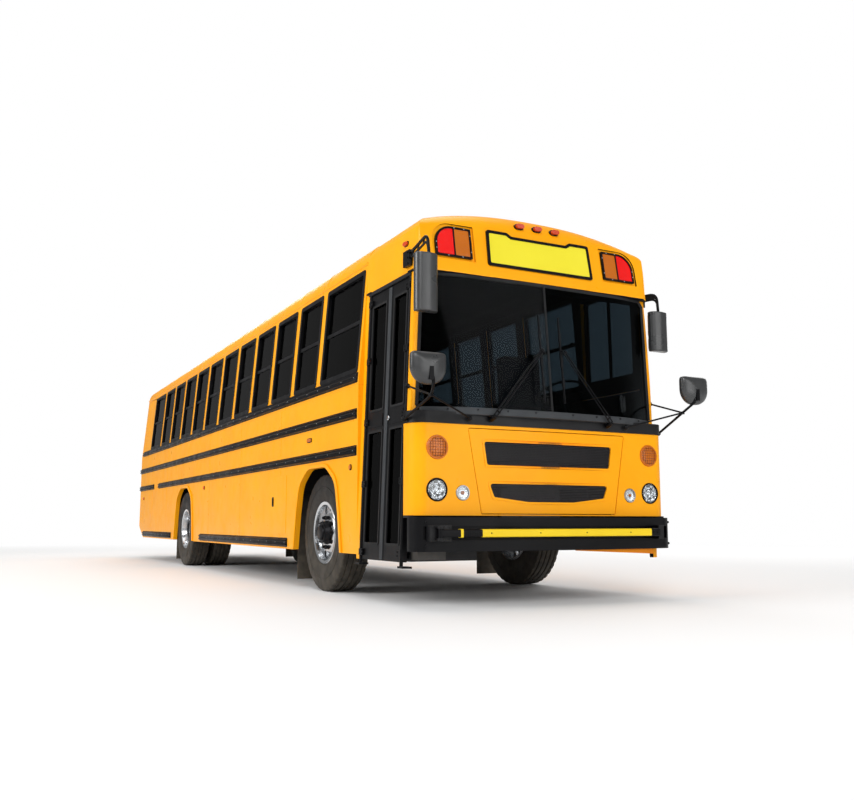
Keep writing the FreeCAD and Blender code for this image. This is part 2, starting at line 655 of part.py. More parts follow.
def access_panel():
    """Front access panel, hinged along its top, with its two grille openings."""
    shell = plate("xy", nose_plan(0.0), NOSE_BOTTOM_Z, COWL_Z)
    shell = shell.cut(plate("xy", nose_plan(ACCESS_T, 200.0), NOSE_BOTTOM_Z - 1, COWL_Z + 1))
    # its top corners are cut so that they stay free of the tapering opening as it lifts
    cut_x, cut_z = ACCESS_CORNER
    low_z = ACCESS_TOP[0] - cut_z
    low_half = ACCESS_TOP[1] - (ACCESS_TOP[1] - ACCESS_FOOT[1]) * cut_z / (ACCESS_TOP[0] - ACCESS_FOOT[0])
    high_half = ACCESS_TOP[1] - cut_x
    outline = access_outline()[:2] + [(low_half, low_z), (high_half - cut_x, ACCESS_TOP[0]),
                                      (cut_x - high_half, ACCESS_TOP[0]), (-low_half, low_z)]
    panel = shell.common(plate("xz", outline, NOSE_Y - 20, NOSE_Y + 120))
    for grille in GRILLES:
        panel = panel.cut(plate("xz", grille_outline(grille), NOSE_Y - 20, NOSE_Y + 120))
    y, z = ACCESS_HINGE_Y, ACCESS_HINGE_Z
    for x in ACCESS_HINGE_XS:
        span = (x - HINGE_L / 2, x + HINGE_L / 2)
        tab = box(span, (y - 3, y + 14), (ACCESS_TOP[0] - 10, z - 2))
        panel = panel.fuse(rod((span[0], y, z), (span[1], y, z), HINGE_R)).fuse(tab)
    return panel.removeSplitter()


def grille_mesh():
    """Two flat sheets across the grille openings, inside the bowed panel's thickness."""
    foot_y = NOSE_Y + ACCESS_T - MESH_T - 1.0
    return group([plate("xz", grille_outline(grille), foot_y, foot_y + MESH_T) for grille in GRILLES])


@functools.lru_cache(maxsize=None)
def cowl():
    """Black moulding across the foot of the windscreen, with its ledge."""
    fascia = plate("xy", nose_plan(-COWL_PROUD + 14, PILLAR_FRONT_Y - FIT), COWL_Z, COWL_TOP_Z)
    edges = [e for e in fascia.Edges if abs(e.CenterOfMass.z - COWL_TOP_Z) < 1 and
             e.CenterOfMass.y < PILLAR_FRONT_Y - 5]
    fascia = fascia.makeChamfer(12.0, edges)
    ledge_half = HALF_W - PILLAR_X - 30
    ledge = plate("xy", screen_plan(COWL_TOP_Z, -34.0, ledge_half, PILLAR_FRONT_Y - FIT), COWL_TOP_Z - 20,
                  COWL_TOP_Z + LEDGE_H)
    whole = fascia.fuse(ledge).cut(windscreen_block(0.0, 60.0)).cut(front_cap())
    return whole.removeSplitter()


def screen_half(z):
    """Half width of the windscreen opening at a height."""
    foot = HALF_W - PILLAR_X
    return foot - SCREEN_TAPER * (z - COWL_TOP_Z) / (SCREEN_TOP_Z - COWL_TOP_Z)


def screen_plan(z, inset, half, back):
    """Plan of the windscreen's bow at a height, closed behind by a straight line."""
    share = (z - COWL_TOP_Z) / (SCREEN_TOP_Z - COWL_TOP_Z)
    bow = SCREEN_BOW_FOOT + (SCREEN_BOW_TOP - SCREEN_BOW_FOOT) * share
    side_y = PILLAR_FRONT_Y + 2 + inset
    shoulder = half * 0.72
    return [(-half, back), (-half, side_y), (-shoulder, side_y - bow * 0.72, 700), (0, side_y - bow * 1.04, 4000),
            (shoulder, side_y - bow * 0.72, 700), (half, side_y), (half, back)]


def windscreen_block(inset, below=0.0):
    """Solid behind the windscreen's outer face, from foot to top."""
    outlines = []
    for z in (COWL_TOP_Z - 55 - below, SCREEN_TOP_Z + 10):
        corners = corner_points(screen_plan(z, inset, screen_half(z) + 8, 150.0))
        outlines.append([corner + V(0, 0, z) for corner in corners])
    return tapered(*outlines)


def windscreen_pane(inset):
    """Bowed sheet that fills the windscreen's opening, grown outward by -inset."""
    sheet = windscreen_block(inset).cut(windscreen_block(SCREEN_T - inset))
    return sheet.common(plate("xz", screen_outline(0.0), -900, PILLAR_FRONT_Y + WALL)).common(
        box((-HALF_W, HALF_W), (-900, PILLAR_FRONT_Y + WALL), (COWL_TOP_Z + LEDGE_H, SCREEN_TOP_Z)))


def windscreen_glass():
    """Two bowed panes that meet at the middle strip."""
    return windscreen_pane(0.0).cut(box((-STRIP_HALF_W, STRIP_HALF_W), (-900, 0), (0, 3000)))


def windscreen_strip():
    """Rubber strip between the two panes."""
    return windscreen_pane(-4.0).common(box((-STRIP_HALF_W, STRIP_HALF_W), (-900, 0), (0, 3000)))


def lean_box(side, inset, depth, y, z):
    """Box that follows the leaning window band: inset from its face, of a depth."""
    x0 = wall_x(z[0], inset)
    x1 = wall_x(z[1], inset)
    points = [(x0 - depth, z[0]), (x0, z[0]), (x1, z[1]), (x1 - depth, z[1])]
    shape = plate("xz", points, y[0], y[1])
    return shape if side > 0 else mirrored(shape)


def window_frames():
    """Black sash frames of the passenger windows, each with its middle rail."""
    frames = []
    middle = (SILL_Z + WINDOW_TOP_Z) / 2
    for side in (-1, 1):
        for y0, y1 in window_table():
            y = (y0 + FIT, y1 - FIT)
            z = (SILL_Z + FIT, WINDOW_TOP_Z - FIT)
            frame = lean_box(side, 12.0, SASH_D, y, z)
            for low, high in ((SILL_Z + SASH_W, middle - SASH_W / 2), (middle + SASH_W / 2, WINDOW_TOP_Z - SASH_W)):
                frame = frame.cut(lean_box(side, 0.0, 80.0, (y0 + SASH_W, y1 - SASH_W), (low, high)))
            frames.append(frame)
    return group(frames)


def window_glass():
    """Panes of the passenger windows, one above and one below each middle rail."""
    panes = []
    middle = (SILL_Z + WINDOW_TOP_Z) / 2
    for side in (-1, 1):
        for y0, y1 in window_table():
            y = (y0 + SASH_W, y1 - SASH_W)
            panes.append(lean_box(side, 18.0, GLASS_T, y, (SILL_Z + SASH_W, middle - SASH_W / 2)))
            panes.append(lean_box(side, 26.0, GLASS_T, y, (middle + SASH_W / 2, WINDOW_TOP_Z - SASH_W)))
    return group(panes)


def rub_rails():
    """Black ribbed rails pressed along the sides."""
    rails = []
    for z0, z1, y0, y1 in RUB_RAILS:
        h = z1 - z0
        x0 = wall_x(z0)
        out = x0 + RAIL_PROUD
        section = [(x0, z0), (out, z0 + h * 0.16), (out, z0 + h * 0.36), (out - 6, z0 + h * 0.5),
                   (out, z0 + h * 0.64), (out, z0 + h * 0.84), (wall_x(z1), z1)]
        rail = plate("xz", section, y0, y1)
        rails += [rail, mirrored(rail)]
    return group(rails)


# ================================================================ rear end
def rear_end():
    """Rear wall with the emergency door's opening, two windows and rounded corners."""
    outline = [(p[0], max(p[1], SKIRT_Z + 190)) + tuple(p[2:]) for p in body_outline(0.0)]
    wall = plate("xz", outline, BODY_END_Y - WALL, BODY_END_Y)
    wall = wall.cut(behind_rear_wall())
    doorway = rectangle((-REAR_DOOR_HALF_W - CLEAR, REAR_DOOR_HALF_W + CLEAR),
                        (REAR_DOOR_FOOT_Z - CLEAR, REAR_DOOR_TOP_Z + CLEAR))
    wall = wall.cut(plate("xz", doorway, BODY_END_Y - 100, BODY_END_Y + 10))
    for x0, x1, z0, z1 in REAR_WINDOWS:
        for side in (-1, 1):
            x = sorted((side * x0, side * x1))
            wall = wall.cut(plate("xz", chamfered(x, (z0, z1), PANE_CORNER), BODY_END_Y - 100, BODY_END_Y + 10))
    for side in (-1, 1):
        wall = wall.cut(bumper_bracket(side))
    for x in (PLATE_X - PLATE_HOLE_PITCH / 2, PLATE_X + PLATE_HOLE_PITCH / 2):
        wall = wall.cut(rod((x, BODY_END_Y - 100, PLATE_Z), (x, BODY_END_Y + 10, PLATE_Z), PLATE_HOLE_R))
    return wall.removeSplitter()


def rear_face(z):
    """Y of the rear wall's outer face at a height."""
    return BODY_END_Y - max(0.0, z - BELT_Z) * WALL * 0.9 / (ROOF_Z + 5 - BELT_Z)


def behind_rear_wall():
    """Everything behind the rear wall's face over the belt, where it leans forward."""
    top = ROOF_Z + 100
    return plate("yz", [(BODY_END_Y, BELT_Z), (BODY_END_Y + 500, BELT_Z), (BODY_END_Y + 500, top),
                        (rear_face(top), top)], -HALF_W - 5, HALF_W + 5)


def rear_glass():
    """Fixed panes beside the emergency door."""
    panes = []
    for x0, x1, z0, z1 in REAR_WINDOWS:
        for side in (-1, 1):
            x = sorted((side * x0, side * x1))
            panes.append(rear_pane(x, (z0, z1)))
    return group(panes)


def rear_pane(x, z):
    """One pane in the rear end between two places across and two heights."""
    face_y = BODY_END_Y - REAR_PANE_SET
    return plate("xz", chamfered(x, z, PANE_CORNER), face_y - GLASS_T, face_y)


def rear_hinges(of_door):
    """Hinges of the emergency door: round barrels on the door between lugs on the wall."""
    half = REAR_HINGE_HALF_L
    pieces = []
    for z in REAR_HINGE_ZS:
        y0 = rear_face(z + 3 * half) - 12.0
        if of_door:
            pieces.append(rod((REAR_HINGE_X, REAR_HINGE_Y, z - half), (REAR_HINGE_X, REAR_HINGE_Y, z + half),
                              REAR_HINGE_R))
            pieces.append(box((REAR_HINGE_X, REAR_HINGE_X + 60), (y0, REAR_HINGE_Y + 3), (z - half, z + half)))
            continue
        for low, high in ((-3 * half, -half - FIT), (half + FIT, 3 * half)):
            pieces.append(bar((REAR_HINGE_X, REAR_HINGE_Y, z + low), (REAR_HINGE_X, REAR_HINGE_Y, z + high),
                              REAR_HINGE_R, 6))
            pieces.append(box((REAR_HINGE_X - 60, REAR_HINGE_X), (y0, REAR_HINGE_Y + 3), (z + low, z + high)))
    return pieces


def rear_door():
    """Emergency door in the middle of the rear wall, hinged on the kerb side."""
    outline = rectangle((-REAR_DOOR_HALF_W, REAR_DOOR_HALF_W), (REAR_DOOR_FOOT_Z, REAR_DOOR_TOP_Z))
    door = plate("xz", outline, BODY_END_Y - WALL, BODY_END_Y)
    door = door.cut(behind_rear_wall())
    for z0, z1 in REAR_DOOR_PANES:
        opening = chamfered((-REAR_PANE_HALF_W, REAR_PANE_HALF_W), (z0, z1), PANE_CORNER)
        door = door.cut(plate("xz", opening, BODY_END_Y - 100, BODY_END_Y + 10))
    handle = bar((300, BODY_END_Y - 5, 1560), (300, BODY_END_Y + 45, 1560), 14)
    handle = handle.fuse(box((285, 315), (BODY_END_Y + 30, BODY_END_Y + 48), (1440, 1580)))
    return joined([door, handle] + rear_hinges(True))


def rear_door_glass():
    """Upper and lower panes of the emergency door."""
    return group([rear_pane((-REAR_PANE_HALF_W, REAR_PANE_HALF_W), z) for z in REAR_DOOR_PANES])


# ================================================================ entrance door
def door_span(leaf):
    """Front and rear of a leaf between the posts and the meeting edge."""
    if leaf == "front":
        return DOOR_FRONT_Y + CLEAR, LEAF_SPLIT_Y - CLEAR / 2
    return LEAF_SPLIT_Y + CLEAR / 2, DOOR_REAR_Y - CLEAR


def pane_span(leaf):
    """Front and rear of a leaf's panes."""
    y0, y1 = door_span(leaf)
    return y0 + DOOR_STILE, y1 - DOOR_STILE


def door_leaf(leaf):
    """One leaf of the entrance door with its two window openings and its pivot rod."""
    y0, y1 = door_span(leaf)
    shape = plate("yz", rectangle((y0, y1), (DOOR_FOOT_Z, DOOR_TOP_Z)), -HALF_W, -HALF_W + DOOR_T)
    for z0, z1 in LEAF_PANES:
        shape = shape.cut(plate("yz", chamfered(pane_span(leaf), (z0, z1), 14), -HALF_W - 5, -HALF_W + DOOR_T + 5))
    pivot_y = leaf_pivot_y(leaf)
    shape = shape.fuse(rod((-HALF_W, pivot_y, DOOR_FOOT_Z - 28), (-HALF_W, pivot_y, DOOR_TOP_Z + 28), DOOR_ROD_R))
    return leaned(shape)


def leaf_pivot_y(leaf):
    """Station of a leaf's pivot rod, at its outer edge."""
    y0, y1 = door_span(leaf)
    return y0 + DOOR_ROD_R if leaf == "front" else y1 - DOOR_ROD_R


def leaned(shape):
    """The shape leaned inward with the entrance door's plane."""
    shape.rotate(V(-HALF_W, 0, DOOR_FOOT_Z), V(0, 1, 0), math.degrees(math.atan(DOOR_LEAN)))
    return shape


def leaf_glass(leaf):
    """Two panes of a leaf."""
    panes = []
    for z0, z1 in LEAF_PANES:
        pane = plate("yz", chamfered(pane_span(leaf), (z0, z1), 14), -HALF_W + 17, -HALF_W + 17 + GLASS_T)
        panes.append(leaned(pane))
    return group(panes)


def door_pivots():
    """Brackets over and under the leaves' pivot rods, on the portal's posts."""
    pieces = []
    for leaf, out in (("front", -1), ("rear", 1)):
        y = leaf_pivot_y(leaf)
        edge = y + out * (DOOR_ROD_R + CLEAR + 44)
        span = sorted((y - out * 22, edge))
        for z0, z1 in ((DOOR_FOOT_Z - 44, DOOR_FOOT_Z - 28 - FIT), (DOOR_TOP_Z + 28 + FIT, DOOR_TOP_Z + 44)):
            pieces.append(leaned(box((-HALF_W - 22, -HALF_W + 60), span, (z0, z1))).cut(front_cap()))
    return group(pieces)


# ================================================================ bumpers and arms
def bumper_plan(inset):
    """Plan of the front bumper: bowed, with its ends turned back."""
    half = BUMPER_HALF_W - inset
    side_y = BUMPER_Y + BUMPER_BOW + inset
    corner_r = 90 - inset
    return [(-half, DOOR_FRONT_Y - 100), (-half, side_y + 30, corner_r), (-half + 330, side_y - 14),
            (-half * 0.3, BUMPER_Y + inset), (half * 0.3, BUMPER_Y + inset), (half - 330, side_y - 14),
            (half, side_y + 30, corner_r), (half, DOOR_FRONT_Y - 100)]


@functools.lru_cache(maxsize=None)
def front_bumper():
    """Pressed channel bumper with a wide groove for the crossing arm, on two brackets."""
    foot = BUMPER_TOP_Z - BUMPER_H
    shell = plate("xy", bumper_plan(0.0), foot, BUMPER_TOP_Z)
    edges = [e for e in shell.Edges if e.CenterOfMass.y < DOOR_FRONT_Y - 101 and
             (abs(e.CenterOfMass.z - foot) < 1 or abs(e.CenterOfMass.z - BUMPER_TOP_Z) < 1)]
    shell = shell.makeChamfer(16.0, edges)
    shell = shell.cut(plate("xy", bumper_plan(BUMPER_T), foot - 1, BUMPER_TOP_Z + 1))
    groove = plate("xy", bumper_plan(-30.0), ARM_Z - 46, ARM_Z + 46).cut(
        plate("xy", bumper_plan(26.0), ARM_Z - 47, ARM_Z + 47))
    reach = HALF_W - 59
    shell = shell.cut(groove.common(box((-reach, reach), (-1000, 0), (0, 1000))))
    for side in (-1, 1):
        x = sorted((side * (RAIL_X - RAIL_FLANGE), side * RAIL_X))
        bracket = box(x, (BUMPER_Y + BUMPER_T - 14, RAIL_FRONT_Y), (foot + 20, BUMPER_TOP_Z - 12))
        shell = shell.fuse(bracket)
    return shell.removeSplitter()


def arm_mount():
    """Drive box of the crossing arm and the catch that holds its tip, on the bumper."""
    drive = box((ARM_PIVOT_X - 70, ARM_PIVOT_X + 110), (ARM_PIVOT_Y + 34, ARM_PIVOT_Y + 140), (ARM_Z - 60, ARM_Z + 60))
    for z0, z1 in ((ARM_Z - 52, ARM_Z - 34 - FIT), (ARM_Z + 34 + FIT, ARM_Z + 52)):
        ear = box((ARM_PIVOT_X - 26, ARM_PIVOT_X + 26), (ARM_PIVOT_Y - 24, ARM_PIVOT_Y + 40), (z0, z1))
        drive = drive.fuse(ear)
    catch = box((ARM_TIP_X + CLEAR, ARM_TIP_X + 60), (ARM_PIVOT_Y + 4, ARM_PIVOT_Y + 140), (ARM_Z - 56, ARM_Z + 56))
    return group([drive.cut(front_bumper()), catch.cut(front_bumper())])


def crossing_arm():
    """Yellow rod that swings out from the kerb end of the bumper."""
    barrel = rod((ARM_PIVOT_X, ARM_PIVOT_Y, ARM_Z - 34), (ARM_PIVOT_X, ARM_PIVOT_Y, ARM_Z + 34), ARM_BARREL_R)
    socket = box((ARM_PIVOT_X, ARM_PIVOT_X + 240), (ARM_PIVOT_Y - 22, ARM_PIVOT_Y + 22), (ARM_Z - 28, ARM_Z + 28))
    pole = plate("yz", chamfered((ARM_PIVOT_Y - 22, ARM_PIVOT_Y + 22), (ARM_Z - 31, ARM_Z + 31), 12),
                 ARM_PIVOT_X + 239, ARM_TIP_X)
    return joined([barrel, socket, pole])


def rear_bumper():
    """Square rear bumper beam on two frame brackets."""
    y0 = BODY_END_Y + 12
    half = HALF_W - 39
    outline = [(-half, y0), (half, y0), (half, y0 + 50), (half - 40, y0 + 90), (40 - half, y0 + 90), (-half, y0 + 50)]
    return joined([plate("xy", outline, 520, 760), bumper_bracket(-1), bumper_bracket(1)])


def bumper_bracket(side):
    """Arm from a frame rail's end through the rear wall to the bumper beam."""
    x = sorted((side * (RAIL_X - RAIL_FLANGE), side * RAIL_X))
    return box(x, (FRAME_END_Y, BODY_END_Y + 13), (600, 752))


def stop_arm():
    """Blank eight-sided sign on its bracket, hinged at its front edge on the driver's side."""
    points = [(STOP_ARM_Y + 70 + STOP_R + STOP_R * math.cos(math.radians(22.5 + 45 * i)),
               STOP_ARM_Z + STOP_R * math.sin(math.radians(22.5 + 45 * i))) for i in range(8)]
    sign = plate("yz", points, STOP_X - 8, STOP_X + 8)
    barrel = rod((STOP_X, STOP_ARM_Y, STOP_ARM_Z - 120), (STOP_X, STOP_ARM_Y, STOP_ARM_Z + 120), STOP_BARREL_R)
    bracket = box((STOP_X - 8, STOP_X + 8), (STOP_ARM_Y, STOP_ARM_Y + 130), (STOP_ARM_Z - 110, STOP_ARM_Z + 110))
    return joined([sign, barrel, bracket])


def stop_mount():
    """Wind box of the stop arm with the two ears that hold its hinge."""
    body = box((HALF_W, STOP_X - 20), (STOP_ARM_Y - 60, STOP_ARM_Y + 60), (STOP_ARM_Z - 160, STOP_ARM_Z + 160))
    for z0, z1 in ((-150, -120 - FIT), (120 + FIT, 150)):
        body = body.fuse(box((STOP_X - 22, STOP_X + 18), (STOP_ARM_Y - 20, STOP_ARM_Y + 20),
                             (STOP_ARM_Z + z0, STOP_ARM_Z + z1)))
    return body


# ================================================================ lamps and signs
def front_lamps():
    """Turn, head and parking lamps in the nose."""
    lamps = []
    for x, z, r in FRONT_LAMPS:
        y = NOSE_Y + NOSE_BOW * (x / NOSE_HALF_W) ** 2
        for side in (-1, 1):
            lamps.append(bar((side * x, y - 12, z), (side * x, y + 60, z), r, LAMP_SIDES))
    return group(lamps)


def cap_face_y(z):
    """Y of the front cap's face at a height."""
    return CAP_BROW_Y + CAP_LEAN * (z - SCREEN_TOP_Z)


def lamp_outline(side, x0, x1, z0, z1, cut):
    """Outline of a warning lamp in X and Z, its top outer corner cut off."""
    return [(side * x0, z0), (side * x1, z0), (side * x1, z1 - cut), (side * (x1 - cut * 0.3), z1 - cut * 0.3),
            (side * (x1 - cut), z1), (side * x0, z1)]


def warning_lamps():
    """Amber and red warning lamps on the front cap and high on the rear wall."""
    lamps = []
    z0, z1 = WARNING_Z
    for x0, x1, cut in WARNING_LAMPS:
        for side in (-1, 1):
            y = cap_face_y(z0)
            lamp = plate("xz", lamp_outline(side, x0, x1, z0, z1, cut), y - 20, y + 30)
            lamp.rotate(V(0, y, z0), V(1, 0, 0), -math.degrees(math.atan(CAP_LEAN)))
            lamps.append(lamp.cut(cap_head()))
            y = rear_face(z0)
            lamp = plate("xz", lamp_outline(side, x0, x1 - 20, z0 - 40, z0 + 150, cut * 0.6), y - 20, y + 24)
            lamps.append(lamp.common(behind_rear_wall()))
    return group(lamps)


def sign_panels():
    """Blank sign plates on the front cap and over the emergency door."""
    y = cap_face_y(SIGN_FOOT_Z)
    half = SIGN_HALF_W
    top = SIGN_FOOT_Z + SIGN_H
    points = [(-half, SIGN_FOOT_Z), (half, SIGN_FOOT_Z), (half - 9, top), (half - 210, top), (half - 250, top - 28),
              (250 - half, top - 28), (210 - half, top), (9 - half, top)]
    front = plate("xz", points, y - 16, y + 4)
    front.rotate(V(0, y, SIGN_FOOT_Z), V(1, 0, 0), -math.degrees(math.atan(CAP_LEAN)))
    y = rear_face(REAR_SIGN_Z[0])
    rear = plate("xz", rectangle((-REAR_SIGN_HALF_W, REAR_SIGN_HALF_W), REAR_SIGN_Z), y - 30, y + 16)
    return group([front.cut(cap_head()), rear.common(behind_rear_wall())])


def body_lamps():
    """Marker lamps over both ends, round rear lamps and side lamps."""
    lamps = []
    for x in MARKER_XS:
        span = (x - MARKER_HALF_L, x + MARKER_HALF_L)
        z = roof_z(x) - 62
        y = cap_face_y(z)
        lamps.append(box(span, (y - 16, y + 60), (z - 20, z + 24)).cut(cap_head()))
        z -= 8
        y = rear_face(z)
        lamps.append(box(span, (y - 20, y + 26), (z - 20, z + 24)).common(behind_rear_wall()))
    for x, z, r in TAIL_LAMPS:
        for side in (-1, 1):
            lamps.append(bar((side * x, BODY_END_Y, z), (side * x, BODY_END_Y + 22, z), r, LAMP_SIDES))
    for side in (-1, 1):
        for y, z, half in SIDE_LAMPS:
            lamps.append(box(sorted((side * HALF_W, side * (HALF_W + 14))), (y - half, y + half), (z - 22, z + 22)))
    return group(lamps)


# ================================================================ mirrors and wipers
def crossview_mirrors():
    """Domed mirrors ahead of the nose, each on a three-legged arm."""
    sides = []
    for side in (-1, 1):
        head = plate("xz", [(-142, 114), (-142, 0), (-104, -92), (0, -132), (104, -92), (142, 0), (142, 114)], -55, 40)
        head.translate(V(side * DOME_X, DOME_Y, DOME_Z))
        pieces = [head]
        arm = [(side * x, y, z) for x, y, z in CROSS_ARM]
        pieces.append(bent_bar(arm, 11, 4))
        for x, y, z in CROSS_BRACE_FEET:
            pieces.append(bar((side * x, y, z), arm[1], 7, 4))
        sides.append(joined(pieces).cut(cowl()).cut(front_cap()))
    return group(sides)


def upper_mirrors():
    """Flat mirrors in tall housings, hung from arms over the doors."""
    sides = []
    for side, x, y, z0, z1, arm in UPPER_MIRRORS:
        housing = plate("xy", [(-105, 45), (-95, -30), (-40, -58), (40, -58), (95, -30), (105, 45)], z0, z1)
        housing.translate(V(side * x, y, 0))
        pieces = [housing, bent_bar([(side * a, b, c) for a, b, c in arm], 13)]
        foot = arm[0]
        pieces.append(box(sorted((side * (foot[0] - 40), side * (foot[0] + 26))), (foot[1] - 60, foot[1] + 50),
                          (foot[2] - 60, foot[2] + 60)))
        sides.append(joined(pieces).cut(front_cap()))
    return group(sides)


def wipers():
    """Two wipers with twin-rod arms standing on the cowl and upright blades."""
    pieces = []
    for side, tip_x in WIPER_TIPS:
        foot = (side * WIPER_X, -288.0, COWL_TOP_Z - 36.0)
        knee = (tip_x, -322.0, WIPER_KNEE_Z)
        post = bar(foot, (foot[0], foot[1] - 30, foot[2] + 14), 16)
        hub = bar((foot[0], foot[1] + 40, foot[2]), foot, 22)
        arm = bar((foot[0], foot[1] - 26, foot[2] + 12), knee, 9, 4)
        blade = bar((tip_x - 10, -340.0, WIPER_BLADE_Z[0]), (tip_x - 10, -262.0, WIPER_BLADE_Z[1]), 9, 4)
        link = bar(knee, (tip_x - 10, -300.0, WIPER_KNEE_Z + 4), 8, 4)
        pieces.append(joined([post, hub, arm, link, blade]).cut(cowl()))
    return group(pieces)


# ================================================================ frame and floor
def chassis_frame():
    """Two channel rails with cross members between them, tow eyes and spring brackets."""
    z1 = RAIL_TOP_Z
    z0 = z1 - RAIL_H
    x0 = RAIL_X - RAIL_FLANGE
    web = RAIL_X - RAIL_T
    section = [(x0, z0), (RAIL_X, z0), (RAIL_X, z1), (x0, z1), (x0, z1 - RAIL_T), (web, z1 - RAIL_T),
               (web, z0 + RAIL_T), (x0, z0 + RAIL_T)]
    rail = plate("xz", section, RAIL_FRONT_Y, FRAME_END_Y)
    pieces = [rail, mirrored(rail)]
    # each cross member is notched over the propeller shaft
    low = z0 + RAIL_T
    high = z1 - RAIL_T
    member = [(-web, low), (-SHAFT_NOTCH, low), (-SHAFT_NOTCH, high - 60), (SHAFT_NOTCH, high - 60),
              (SHAFT_NOTCH, low), (web, low), (web, high), (-web, high)]
    for y in CROSS_MEMBER_YS:
        pieces.append(plate("xz", member, y, y + RAIL_T))
    for y, foot, top in SPRING_BRACKETS:
        bracket = box((RAIL_X, SPRING_X + SPRING_W + 6), (y - 45, y + 45), (foot, top))
        pieces += [bracket, mirrored(bracket)]
    # tow eyes are tabs on the lower flanges, bored from top to bottom
    hole_x = x0 - TOW_EYE_REACH
    for y in (RAIL_FRONT_Y + TOW_EYE_SET[0], FRAME_END_Y - TOW_EYE_SET[1]):
        outline = [(x0, y - 55), (x0, y + 55), (hole_x - 10, y + 45), (hole_x - 45, y + 15), (hole_x - 45, y - 15),
                   (hole_x - 10, y - 45)]
        eye = plate("xy", outline, z0, z0 + RAIL_T).cut(rod((hole_x, y, z0 - 1), (hole_x, y, low + 1), TOW_EYE_R))
        pieces += [eye, mirrored(eye)]
    return group(pieces)


def floor_sheets():
    """Flat sheets of the floor around the engine hatch, the stepwell and the wheel boxes."""
    inner = HALF_W - WALL - FIT
    end = BODY_END_Y - WALL - FIT
    stair_x = STEP_FOOT_X + STEP_DEPTH + STEP_RISER_T
    stair_end = STEP_Y[1] + STEP_CHEEK_T
    hatch_x = ENGINE_X + 30
    reach = ARCH_FOOT + WHEEL_BOX_GAP
    stations = [FRONT_ARCH_Y - reach, FRONT_ARCH_Y + reach, REAR_ARCH_Y - reach, REAR_ARCH_Y + reach]
    tiles = [
        ((hatch_x, inner), (PILLAR_FRONT_Y + WALL + 60, stations[0])),
        ((stair_x, -hatch_x), (PILLAR_FRONT_Y + WALL + 60, stations[0])),
        ((60 - inner, stair_x), (stair_end, CAP_END_Y)),
        ((-inner, stair_x), (CAP_END_Y, stations[0])),
        ((-WHEEL_BOX_X, WHEEL_BOX_X), (stations[0], stations[1])),
        ((-inner, inner), (stations[1], stations[2])),
        ((-REAR_BOX_X, REAR_BOX_X), (stations[2], stations[3])),
        ((-inner, inner), (stations[3], end)),
    ]
    return [box(x, y, (FLOOR_Z - FLOOR_T, FLOOR_Z)) for x, y in tiles]


def wheel_box(side, centre_y, x_in):
    """Top, inner side and two ends of the box over a wheel, open to the road and the wall."""
    inner = HALF_W - WALL - FIT
    reach = ARCH_FOOT + WHEEL_BOX_GAP
    t = WHEEL_BOX_T
    top = WHEEL_BOX_TOP_Z
    walls = [
        ((x_in, inner), (centre_y - reach, centre_y + reach), (top - t, top)),
        ((x_in, x_in + t), (centre_y - reach, centre_y + reach), (FLOOR_Z - FLOOR_T, top - t)),
        ((x_in + t, inner), (centre_y - reach, centre_y - reach + t), (FLOOR_Z - FLOOR_T, top - t)),
        ((x_in + t, inner), (centre_y + reach - t, centre_y + reach), (FLOOR_Z - FLOOR_T, top - t)),
    ]
    return [box(sorted((side * x[0], side * x[1])), y, z) for x, y, z in walls]


def stepwell():
    """Three treads and risers from the kerb to the floor, between two cheeks."""
    foot = DOOR_FOOT_Z + 3
    rise = (FLOOR_Z - foot - STEP_TREAD_T) / STEP_COUNT
    going = STEP_DEPTH / STEP_COUNT
    plates = []
    for i in range(STEP_COUNT):
        x = STEP_FOOT_X + going * i
        z = foot + rise * i
        top = z + rise if i < STEP_COUNT - 1 else FLOOR_Z
        plates.append(box((x, x + going), STEP_Y, (z, z + STEP_TREAD_T)))
        plates.append(box((x + going, x + going + STEP_RISER_T), STEP_Y, (z, top)))
    end_x = STEP_FOOT_X + STEP_DEPTH + STEP_RISER_T
    for y in (STEP_Y[0] - STEP_CHEEK_T, STEP_Y[1]):
        plates.append(box((STEP_FOOT_X, end_x), (y, y + STEP_CHEEK_T), (foot, FLOOR_Z)))
    return plates


def floor_deck():
    """Floor sheets, the four wheel boxes, and the stepwell behind the entrance door."""
    plates = floor_sheets() + stepwell()
    for side in (-1, 1):
        plates += wheel_box(side, FRONT_ARCH_Y, WHEEL_BOX_X)
        plates += wheel_box(side, REAR_ARCH_Y, REAR_BOX_X)
    return group(plates)


def engine_block():
    """Engine and gearbox beside the driver, as one plain mass on the frame."""
    engine = box((-ENGINE_X + 40, ENGINE_X - 40), ENGINE_Y, (640, 1420))
    gearbox = box((130 - ENGINE_X, ENGINE_X - 130), (ENGINE_Y[1] - 1, ENGINE_Y[1] + 620), (620, 930))
    mounts = box((-RAIL_X + RAIL_T, RAIL_X - RAIL_T), (ENGINE_Y[0] + 500, ENGINE_Y[0] + 620), (760, 860))
    return joined([engine, gearbox, mounts])


def engine_cover():
    """Padded hood over the engine inside the cab."""
    y = (ENGINE_Y[0] - 20, ENGINE_Y[1] + 40)
    shape = plate("xz", [(-ENGINE_X - 40, FLOOR_Z), (ENGINE_X + 40, FLOOR_Z), (ENGINE_X + 25, 1440),
                         (ENGINE_X - 40, 1500), (-ENGINE_X + 40, 1500), (-ENGINE_X - 25, 1440)], *y)
    hollow = plate("xz", [(-ENGINE_X + 10, FLOOR_Z - 1), (ENGINE_X - 10, FLOOR_Z - 1), (ENGINE_X - 10, 1460),
                          (-ENGINE_X + 10, 1460)], y[0] - 1, y[1] - 30)
    return shape.cut(hollow)


